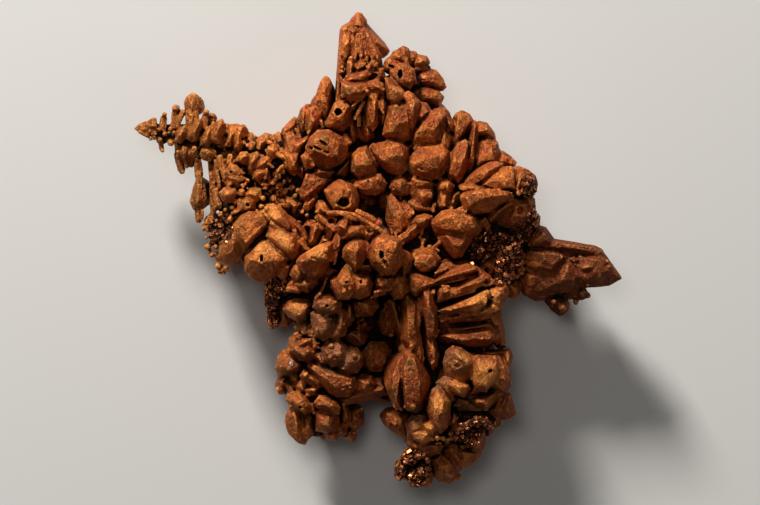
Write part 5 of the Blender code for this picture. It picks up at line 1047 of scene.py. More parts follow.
# A fan-shaped crown over two flat lenses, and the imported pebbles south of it.
northField = {
    "gems": [
        (2.3, 0.8, [(0.1, 5.2), (0.9, 5.4), (1.1, 4.6), (0.8, 3.5), (0.3, 3.6), (0.0, 4.5)],
         [(0.5, 4.9), (0.6, 4.0)]),
        (3.9, 0.7,
         [(1.2, 14.4), (1.15, 15.0), (1.6, 15.5), (2.3, 15.5), (2.9, 15.1), (3.05, 14.3), (2.6, 13.6),
          (1.9, 13.8), (1.5, 13.85)], [(1.4, 14.8), (1.8, 15.25), (2.5, 15.1), (2.7, 14.3), (1.7, 14.1)]),
        (3.0, 0.7,
         [(0.45, 15.2), (0.7, 15.8), (0.95, 16.1), (1.6, 15.9), (2.0, 15.5), (1.4, 15.0), (0.9, 14.95)],
         [(0.8, 15.2), (1.0, 15.9), (1.7, 15.6)]),
        (2.9, 0.6, [(1.05, 16.2), (1.4, 16.6), (1.9, 16.8), (2.1, 16.0), (2.0, 15.6)],
         [(1.5, 16.4), (1.9, 16.0, 0.2)]),
        (3.0, 0.7,
         [(1.8, 16.75), (2.1, 17.0), (2.5, 16.8), (2.6, 16.1), (2.6, 15.4), (2.0, 15.6), (1.85, 16.2)],
         [(2.1, 16.8), (2.4, 16.5), (2.3, 15.9, 0.2)]),
        (2.6, 0.6, [(2.6, 16.4), (2.8, 16.6), (3.1, 16.6), (3.2, 16.1), (2.8, 15.7), (2.6, 15.8)],
         [(2.9, 16.4), (2.9, 16.0)]),
        (2.5, 0.8,
         [(3.0, 16.0), (3.4, 16.3), (4.0, 16.2), (4.2, 15.8), (4.0, 15.4), (3.3, 15.3), (2.8, 15.5)],
         [(3.5, 16.05), (3.9, 15.9), (3.2, 15.6, 0.2)]),
        (2.4, 0.8,
         [(3.1, 14.3), (3.5, 14.9), (4.1, 15.15), (4.8, 15.0), (5.3, 14.4), (5.6, 13.8), (5.3, 13.5),
          (4.6, 13.75), (3.7, 13.9)], [(3.7, 14.6), (4.6, 14.6), (5.1, 14.0, -0.1), (3.7, 14.3)]),
        (2.8, 0.8,
         [(3.0, 13.3), (3.3, 13.6), (4.2, 13.45), (4.9, 13.3), (5.4, 12.9), (5.2, 12.4), (4.5, 12.25),
          (3.7, 12.3), (3.2, 12.7)], [(3.5, 13.2), (4.6, 13.0), (4.9, 12.7, -0.1), (3.6, 12.8)]),
        (5.2, 0.9,
         [(0.65, 14.3), (0.9, 14.2), (1.3, 13.8), (1.9, 13.3), (2.1, 12.8), (1.6, 12.5), (1.2, 12.3),
          (0.9, 12.8), (0.8, 13.4)], [(0.9, 13.7), (1.7, 13.1, 0.1), (1.2, 12.6), (1.0, 13.1)]),
        (5.2, 1.4,
         [(0.9, 11.9), (1.4, 12.3), (2.0, 12.5), (2.4, 12.2), (2.7, 11.2), (2.8, 10.2), (2.6, 9.4),
          (1.9, 9.15), (0.9, 9.4), (0.5, 9.8), (0.9, 10.6)],
         [(1.3, 11.9), (2.2, 12.0), (2.4, 10.8, 0.1), (2.2, 10.1), (1.0, 10.0), (1.2, 11.0)]),
        (4.9, 0.9,
         [(2.2, 12.8), (2.5, 13.2), (3.0, 12.9), (3.4, 12.3), (3.2, 11.4), (3.1, 10.3), (2.7, 10.2),
          (2.6, 11.4)], [(2.5, 12.8), (3.0, 12.2), (2.9, 10.8)]),
        (4.2, 0.9,
         [(3.1, 11.7), (3.5, 12.3), (4.0, 12.2), (4.45, 11.5), (4.1, 11.0), (3.6, 10.5), (3.1, 10.2)],
         [(3.5, 12.0), (4.1, 11.6), (3.4, 10.9), (3.3, 11.5)]),
        (4.9, 1.2,
         [(2.95, 8.9), (3.1, 9.9), (3.8, 10.6), (4.4, 11.3), (5.1, 11.8), (5.6, 11.8), (5.9, 11.3),
          (5.4, 10.4), (4.9, 9.8), (4.9, 9.0), (3.9, 9.0)],
         [(3.3, 9.4, 0.1), (3.4, 10.0), (5.1, 11.5, -0.4), (5.5, 11.2, -0.4), (4.6, 9.9),
          (3.9, 9.3, 0.1)]),
        (4.1, 0.8, [(5.6, 11.6), (6.0, 11.2), (6.3, 10.5), (6.2, 10.1), (5.7, 10.3), (5.4, 10.9)],
         [(5.8, 11.2), (6.0, 10.5)]),
        (4.3, 1.0, [(5.2, 9.8), (5.6, 10.2), (6.1, 9.4), (6.0, 8.3), (5.7, 8.0), (5.2, 8.8), (5.0, 9.3)],
         [(5.5, 9.8), (5.8, 8.8), (5.4, 9.0)]),
        (3.7, 1.1,
         [(6.35, 10.9), (6.5, 11.3), (7.0, 11.6), (7.6, 11.3), (7.9, 10.7), (7.2, 9.6), (6.7, 8.9),
          (6.15, 8.3), (6.2, 9.2), (6.5, 10.1)],
         [(6.8, 11.1), (7.5, 10.8, -0.1), (6.9, 10.3), (6.5, 9.2, 0.3), (6.7, 10.6)]),
        (4.9, 1.0,
         [(6.1, 7.9), (6.6, 8.7), (7.2, 9.15), (7.5, 8.9), (7.4, 8.0), (7.3, 6.9), (7.1, 6.1), (6.8, 5.7),
          (6.3, 6.2), (5.9, 6.4), (5.95, 7.1)],
         [(6.6, 8.1), (7.2, 8.8, -0.1), (7.2, 8.0), (6.7, 7.6, 0.1), (6.2, 6.6), (6.7, 6.3)]),
        (3.9, 1.0,
         [(7.6, 9.3), (7.85, 10.3), (8.1, 10.75), (8.4, 10.4), (8.3, 9.5), (8.2, 8.4), (8.0, 7.2),
          (7.7, 6.1), (7.4, 6.0), (7.6, 7.2), (7.55, 8.4)],
         [(8.1, 10.3, -0.3), (7.95, 8.6), (7.7, 6.6, 0.5)]),
        (3.4, 1.2,
         [(8.2, 10.3), (8.5, 10.75), (9.1, 10.55), (9.6, 9.9), (9.75, 9.4), (9.0, 9.6), (8.5, 9.5)],
         [(8.6, 10.4), (9.1, 10.2), (9.3, 9.8, -0.2), (8.5, 9.9)]),
        (4.0, 1.6,
         [(8.3, 9.0), (9.2, 9.5), (9.9, 9.0), (10.1, 8.1), (9.9, 7.2), (9.0, 6.9), (8.1, 6.4), (7.9, 7.0),
          (8.1, 8.0)], [(8.8, 8.9, -0.3), (9.5, 8.6, -0.2), (9.6, 7.6), (8.6, 7.4, 0.3)]),
        (3.1, 1.0,
         [(9.9, 8.2), (10.5, 8.2), (11.0, 7.8), (11.5, 7.4), (11.3, 7.0), (10.4, 7.0), (9.8, 7.4)],
         [(10.4, 7.9), (11.0, 7.4), (10.2, 7.4)]),
        (5.3, 1.3,
         [(2.55, 7.3), (2.8, 7.9), (3.8, 8.5), (4.5, 8.6), (5.35, 8.8), (5.8, 8.2), (5.85, 7.6),
          (5.6, 6.8), (5.0, 6.1), (4.0, 6.05), (3.1, 6.2), (2.65, 6.8)],
         [(3.1, 7.6), (4.4, 7.65, 0.1), (5.1, 7.65), (5.6, 8.0, -0.3), (3.1, 7.2), (3.8, 6.7),
          (4.9, 6.9)]),
        (5.2, 1.3,
         [(-0.5, 8.3), (-0.3, 8.8), (0.5, 8.9), (1.2, 9.1), (1.9, 9.0), (2.4, 8.5), (2.5, 7.8),
          (2.4, 6.9), (1.8, 6.4), (1.0, 6.6), (0.2, 7.2), (-0.3, 7.7)],
         [(0.3, 8.3), (0.9, 8.5), (1.7, 8.7), (2.1, 8.0), (1.2, 7.9, 0.1), (1.6, 6.9, -0.2), (0.4, 7.6)]),
        (5.0, 1.2,
         [(-2.1, 7.9), (-1.6, 8.4), (-1.1, 8.5), (-0.7, 8.0), (-0.2, 7.2), (-0.2, 6.6), (-0.8, 6.2),
          (-1.6, 6.2), (-2.15, 6.7), (-2.0, 7.3)],
         [(-1.8, 7.8), (-1.1, 8.1), (-0.7, 7.4), (-1.2, 6.8, 0.1), (-1.9, 6.6), (-1.7, 7.2)]),
        (4.7, 0.9,
         [(-2.0, 5.4), (-1.7, 5.8), (-1.1, 6.0), (-0.6, 6.0), (-0.3, 6.3), (0.1, 6.3), (0.6, 5.6),
          (0.3, 5.1), (-0.3, 4.75), (-1.1, 4.85), (-1.7, 5.1)],
         [(-1.7, 5.5), (-1.0, 5.8), (-0.8, 5.4), (-0.1, 6.0), (0.3, 5.6), (-0.3, 5.2), (-1.2, 5.2)]),
        (4.6, 0.9,
         [(1.1, 5.3), (1.3, 5.8), (1.8, 6.2), (2.3, 6.05), (2.6, 5.5), (2.5, 4.8), (2.0, 4.6),
          (1.4, 4.8)], [(1.5, 5.6), (2.0, 5.8), (2.3, 5.4), (2.0, 5.0), (1.5, 5.2)]),
        (4.6, 0.8,
         [(2.8, 5.8), (3.1, 6.1), (3.7, 6.05), (4.3, 5.9), (4.6, 5.6), (4.4, 5.3), (3.8, 5.2), (3.4, 4.9),
          (2.8, 5.0), (2.7, 5.4)], [(3.1, 5.8), (4.2, 5.7), (3.2, 5.3)]),
        (4.7, 0.9,
         [(3.0, 5.0), (3.8, 5.3), (4.4, 5.1), (4.7, 4.7), (4.4, 4.2), (3.9, 4.1), (3.8, 3.6), (3.3, 3.8),
          (3.4, 4.3), (2.9, 4.6)], [(3.4, 4.9), (4.3, 4.8), (4.1, 4.4), (3.5, 4.0)]),
        (4.5, 0.7, [(2.6, 4.0), (2.9, 4.2), (3.4, 3.95), (4.3, 3.7), (4.5, 3.3), (3.7, 3.15), (2.9, 3.4)],
         [(2.9, 3.9), (4.0, 3.5), (3.0, 3.6)]),
        (4.8, 0.9, [(5.0, 5.5), (5.4, 5.9), (5.9, 5.9), (6.25, 5.4), (6.0, 4.9), (5.4, 4.8), (5.05, 5.1)],
         [(5.3, 5.6), (5.8, 5.6), (5.8, 5.1), (5.3, 5.2)]),
        (4.6, 0.9, [(5.1, 4.9), (5.9, 4.9), (5.8, 4.2), (5.9, 3.5), (5.4, 3.3), (5.0, 3.7), (5.1, 4.3)],
         [(5.3, 4.8), (5.6, 4.5), (5.6, 3.7), (5.3, 3.8)]),
        (4.3, 0.8, [(5.9, 4.3), (6.3, 4.75), (6.8, 4.8), (6.7, 4.3), (6.4, 3.7), (6.0, 3.5)],
         [(6.3, 4.5), (6.2, 3.9)]),
        (3.4, 1.0, [(0.35, 4.8), (0.8, 5.2), (1.1, 5.0), (1.0, 4.3), (0.9, 3.7), (0.5, 3.7)],
         [(0.7, 4.8), (0.7, 4.0)]),
        (6.3, 1.4,
         [(-4.2, 4.9), (-3.6, 5.5), (-3.0, 5.8), (-2.3, 5.5), (-1.9, 4.9), (-1.65, 4.2), (-1.9, 3.6),
          (-2.3, 3.3), (-3.0, 3.25), (-3.7, 3.4), (-3.9, 4.1)],
         [(-3.6, 4.9, -0.3), (-2.9, 5.4, -0.2), (-2.3, 5.0, -0.1), (-2.1, 4.2), (-2.4, 3.6),
          (-3.5, 3.7)]),
    ],
    "rods": [
        ((2.5, 15.3, 3.3), (2.3, 16.2, 3.1), 0.4), ((-0.3, 8.9, 4.2), (-0.7, 8.5, 4.2), 0.4),
        ((-4.0, 4.6, 5.0), (-4.4, 5.1, 4.6), 0.45), ((4.6, 3.4, 4.3), (4.75, 4.0, 4.3), 0.36),
        ((1.4, 4.3, 3.4), (2.3, 4.3, 3.4), 0.8), ((-2.85, 5.2, 6.35), (-3.15, 4.1, 6.3), 0.18),
        ((4.3, 9.1, 4.0), (2.9, 8.4, 4.0), 0.5), ((2.8, 8.6, 3.6), (3.3, 9.3, 3.4), 0.6),
        ((3.1, 15.2, 2.4), (4.1, 15.3, 2.0), 0.4), ((2.9, 14.6, 3.5), (3.2, 13.9, 3.3), 0.4),
    ],
    "balls": [
        (-3.4, 3.75, 6.3, 0.45), (-2.35, 3.8, 6.3, 0.42), (4.65, 3.3, 4.4, 0.4), (2.75, 5.6, 4.3, 0.35),
        (3.0, 5.9, 4.5, 0.5), (4.3, 4.6, 4.8, 0.75), (6.1, 3.5, 4.2, 0.5), (1.9, 4.3, 3.6, 0.6),
        (11.2, 7.3, 3.0, 0.4), (10.7, 7.7, 3.1, 0.4), (9.9, 8.9, 3.3, 0.4),
    ],
    "rubble": [
        (9.3, 8.0, 0.7, 1.2, 3.7, 0.3, 20), (10.6, 7.5, 0.7, 0.4, 3.0, 0.3, 9),
        (3.6, 5.2, 0.7, 0.7, 4.5, 0.3, 12), (1.7, 5.4, 0.5, 0.6, 4.45, 0.28, 8),
        (1.6, 11.1, 0.5, 0.6, 5.05, 0.26, 9),
    ],
    "grooves": [
        ((0.8, 15.55), (1.4, 15.3), 0.28, 0.7, 3.0), ((1.3, 16.15), (1.8, 15.95), 0.1, 0.4, 3.0),
        ((1.9, 16.6), (1.5, 16.4), 0.12, 0.3, 2.9), ((3.5, 15.65), (3.9, 15.6), 0.1, 0.3, 2.5),
        ((4.2, 14.5), (4.7, 14.65), 0.16, 0.5, 2.5), ((3.3, 14.25), (4.6, 14.1), 0.1, 0.2, 2.5),
        ((3.4, 13.2), (4.9, 13.0), 0.14, 0.3, 2.9), ((3.6, 12.75), (4.8, 12.6), 0.1, 0.2, 2.8),
        ((2.65, 12.4), (2.6, 10.7), 0.14, 0.5, 5.2), ((1.2, 11.6), (2.1, 11.3), 0.08, 0.15, 5.3),
        ((-0.9, 5.95), (-0.7, 5.6), 0.2, 0.5, 4.7), ((-2.7, 5.0), (-3.1, 4.1), 0.12, 0.4, 6.4),
        ((2.6, 5.2), (2.8, 5.6), 0.12, 0.4, 4.6), ((6.5, 8.0), (6.9, 7.7), 0.12, 0.25, 5.0),
        ((6.6, 7.5), (6.5, 6.4), 0.12, 0.25, 5.0), ((1.8, 8.6), (1.5, 8.1), 0.1, 0.2, 5.3),
        ((3.15, 7.0), (3.9, 6.6), 0.25, 0.3, 5.2), ((3.2, 5.2), (4.3, 5.25), 0.1, 0.35, 4.7),
    ],
    "pits": [
        (1.85, 14.75, 0.24, 0.42, 4.0, 1.2), (1.8, 12.15, 0.2, 0.24, 5.3, 0.9),
        (-2.85, 4.0, 0.55, 0.5, 6.4, 1.2), (5.55, 5.1, 0.1, 0.16, 4.8, 0.4),
        (6.85, 7.7, 0.1, 0.16, 5.0, 0.4), (3.3, 6.9, 0.3, 0.2, 5.3, 0.25), (8.9, 9.3, 0.4, 0.3, 3.8, 0.8),
        (3.3, 12.2, 0.14, 0.14, 4.9, 0.3),
    ],
}
growPiece("northField", northField, 26)


# Radiating ribs on a rounded knob, and the blocks below it.
eastKnob = {
    "gems": [
        (4.3, 1.0,
         [(0.8, 4.4), (1.3, 4.8), (2.0, 3.7), (3.2, 3.0), (3.7, 2.5), (2.3, 1.6), (1.2, 1.2), (0.8, 2.6)],
         [(1.2, 4.2), (1.5, 2.0), (2.8, 2.6)]),
        (5.9, 0.8,
         [(7.5, 5.7), (7.8, 6.1), (8.5, 6.4), (9.1, 7.0), (9.7, 7.3), (10.3, 7.2), (10.2, 6.6),
          (9.4, 6.3), (8.8, 5.9), (8.2, 5.6)],
         [(8.0, 6.0), (9.2, 6.7, -0.1), (9.9, 7.0, -0.2), (8.6, 6.0)]),
        (6.3, 1.3,
         [(8.5, 5.3), (8.9, 5.7), (9.2, 6.2), (10.2, 6.8), (11.0, 6.9), (11.4, 6.6), (11.2, 5.8),
          (11.5, 5.1), (10.2, 5.1), (9.2, 4.95)],
         [(9.2, 5.5), (10.3, 6.3, -0.2), (11.1, 6.3, -0.3), (11.1, 5.4), (9.8, 5.2)]),
        (5.3, 1.5,
         [(11.0, 6.8), (11.8, 6.9), (12.5, 6.6), (13.0, 6.2), (13.2, 5.6), (13.1, 5.0), (12.4, 4.8),
          (11.6, 4.9), (11.1, 5.8)],
         [(11.6, 6.4, -0.2), (12.3, 6.2, -0.3), (12.8, 5.6, -0.7), (12.2, 5.1), (11.6, 5.3, 0.3)]),
        (6.0, 0.5, [(7.0, 5.1), (7.2, 5.3), (7.9, 5.35), (8.7, 5.2), (8.5, 5.0), (7.6, 4.9)],
         [(7.4, 5.2), (8.3, 5.15)]),
        (6.7, 1.4,
         [(6.9, 4.5), (7.4, 4.85), (8.4, 5.0), (9.3, 5.0), (10.4, 4.8), (11.2, 4.6), (10.2, 4.1),
          (9.2, 3.4), (8.1, 3.2), (7.3, 3.4), (7.2, 3.9)],
         [(7.3, 4.4, -0.2), (8.2, 4.9), (9.2, 4.5), (10.6, 4.6, -0.3), (8.2, 4.1), (7.6, 3.7, -0.2)]),
        (6.0, 1.6, [(8.1, 4.1), (9.2, 4.5), (10.6, 4.55), (10.5, 4.1), (9.6, 3.3), (8.2, 3.2)],
         [(8.5, 3.9), (9.3, 4.2), (10.2, 4.3)]),
        (5.4, 1.0,
         [(9.2, 2.9), (9.6, 3.3), (10.4, 3.8), (11.3, 4.3), (11.6, 4.1), (10.8, 3.6), (10.1, 2.9),
          (9.4, 2.5)], [(9.7, 3.0), (10.6, 3.7), (11.3, 4.15)]),
        (5.0, 1.6,
         [(9.9, 2.9), (10.7, 3.7), (11.4, 4.3), (12.2, 4.4), (12.8, 3.9), (13.1, 3.2), (12.9, 2.5),
          (12.0, 2.0), (10.9, 2.0), (10.2, 2.3)],
         [(10.8, 3.2), (11.6, 3.9), (12.2, 3.8, -0.2), (12.5, 3.0, -0.4), (11.4, 2.5)]),
        (4.4, 1.1,
         [(12.1, 4.6), (12.6, 4.7), (13.0, 4.2), (13.1, 3.4), (13.0, 2.9), (12.6, 3.4), (12.4, 4.0)],
         [(12.5, 4.4), (12.8, 3.6)]),
        (6.4, 1.4,
         [(4.6, 2.2), (4.9, 2.7), (5.5, 3.2), (6.1, 3.3), (7.0, 3.0), (7.4, 3.15), (8.1, 2.7),
          (8.55, 1.9), (8.2, 1.4), (7.3, 1.1), (6.4, 1.4), (5.6, 1.5), (4.9, 1.6)],
         [(5.3, 2.6, -0.1), (6.1, 2.9), (7.6, 2.7), (8.0, 2.0, -0.2), (6.9, 1.7), (5.6, 1.9)]),
        (6.0, 1.4,
         [(5.4, 1.5), (6.6, 1.7), (7.6, 1.5), (7.7, 0.8), (7.1, 0.2), (6.9, -0.4), (6.3, -0.5),
          (5.5, 0.5), (5.1, 1.0)], [(5.9, 1.3), (7.2, 1.2), (7.0, 0.6), (6.5, 0.0, -0.2)]),
        (5.0, 0.9, [(2.9, 2.3), (3.3, 2.8), (3.9, 3.0), (4.4, 2.8), (4.6, 2.4), (4.0, 2.1), (3.3, 1.9)],
         [(3.4, 2.6), (4.1, 2.65), (3.6, 2.2)]),
        (4.9, 0.8, [(1.9, 1.1), (2.5, 1.6), (3.1, 2.2), (3.5, 2.1), (3.0, 1.3), (2.2, 0.7)],
         [(2.4, 1.3), (3.1, 2.0)]),
        (6.0, 1.4,
         [(2.7, -0.7), (3.0, -0.1), (3.8, 0.1), (4.6, -0.1), (5.1, -0.7), (5.0, -1.4), (4.2, -1.9),
          (3.3, -2.0), (2.7, -1.4)], [(3.2, -0.4), (4.4, -0.5), (4.6, -1.2), (3.8, -1.6), (3.1, -1.2)]),
        (3.8, 1.3, [(12.0, 1.5), (12.4, 2.4), (13.0, 2.9), (13.5, 2.8), (13.3, 1.8), (12.6, 1.2)],
         [(12.5, 2.0), (13.0, 2.4)]),
    ],
    "rods": [
        ((1.3, 3.9, 3.6), (1.2, 1.3, 3.9), 0.5), ((1.8, 3.7, 3.8), (1.9, 1.5, 4.2), 0.55),
        ((2.2, 4.1, 3.9), (2.7, 2.6, 4.4), 0.5), ((2.6, 3.9, 4.0), (3.0, 3.0, 4.4), 0.4),
        ((1.5, 3.0, 4.0), (1.5, 1.0, 4.2), 0.3), ((4.5, 0.1, 4.8), (5.4, 0.9, 5.0), 0.36),
        ((9.1, 5.0, 6.3), (11.2, 4.75, 5.9), 0.3), ((11.6, 5.0, 5.6), (11.9, 6.5, 5.2), 0.28),
        ((11.9, 4.9, 5.3), (12.6, 6.1, 4.9), 0.28), ((11.3, 5.2, 5.8), (11.2, 6.5, 5.8), 0.26),
        ((12.0, 4.8, 5.1), (13.0, 5.2, 4.4), 0.26), ((6.6, 3.3, 5.2), (7.2, 3.6, 5.0), 0.4),
        ((8.7, 2.6, 5.2), (9.2, 1.8, 4.6), 0.7),
    ],
    "balls": [
        (11.7, 4.75, 5.8, 0.5), (11.9, 4.9, 5.6, 0.4), (5.0, 0.0, 5.0, 0.4), (4.3, 0.3, 4.9, 0.5),
        (2.0, 0.6, 4.9, 0.5), (12.9, 3.0, 4.2, 0.4), (13.1, 3.7, 4.0, 0.3), (7.3, 3.2, 6.0, 0.35),
        (9.0, -0.4, 3.6, 2.6), (10.2, 0.4, 3.8, 2.6), (9.6, -1.4, 3.5, 2.4), (11.2, -0.4, 3.5, 2.2),
        (10.6, -1.9, 3.3, 1.8), (8.4, 0.6, 3.4, 1.8), (11.6, 1.0, 3.4, 2.0),
    ],
    "rubble": [
        (12.4, 5.7, 0.5, 0.7, 4.9, 0.28, 12), (1.9, 2.4, 0.8, 1.2, 3.9, 0.3, 14),
        (13.0, 2.7, 0.4, 0.5, 3.8, 0.32, 8), (3.5, 1.0, 1.0, 0.8, 4.2, 0.5, 10),
        (8.9, 1.9, 0.6, 0.6, 4.4, 0.4, 8), (9.6, 0.2, 1.9, 1.3, 3.9, 0.7, 34),
        (9.9, -1.5, 1.3, 1.0, 3.6, 0.7, 20), (11.6, -0.6, 0.8, 1.5, 2.9, 0.7, 18),
        (12.1, 1.2, 0.9, 0.9, 3.0, 0.7, 16),
    ],
    "grooves": [
        ((8.0, 5.7), (8.9, 6.1), 0.16, 0.5, 6.1), ((5.2, 2.6), (6.4, 2.5), 0.1, 0.5, 6.4),
        ((9.0, 4.9), (11.0, 5.0), 0.12, 0.5, 6.4), ((9.8, 3.5), (11.2, 4.35), 0.1, 0.4, 5.8),
        ((11.0, 3.9), (11.6, 3.3), 0.14, 0.3, 5.1), ((8.2, 4.95), (9.2, 4.6), 0.08, 0.2, 6.8),
        ((11.3, 5.6), (11.4, 6.6), 0.12, 0.4, 5.9), ((11.8, 5.5), (12.2, 6.4), 0.12, 0.4, 5.4),
        ((12.2, 5.2), (12.9, 5.6), 0.12, 0.4, 5.0), ((6.0, 2.0), (7.8, 1.7), 0.08, 0.2, 6.4),
        ((3.1, -1.0), (4.3, -1.3), 0.08, 0.15, 6.0), ((4.9, 2.3), (5.3, 1.8), 0.1, 0.25, 6.3),
    ],
    "pits": [
        (11.9, 3.3, 0.4, 0.5, 5.0, 0.3), (8.6, 5.75, 0.25, 0.12, 6.3, 0.7),
        (4.9, -0.1, 0.14, 0.14, 5.0, 0.3),
    ],
}
growPiece("eastKnob", eastKnob, 27)


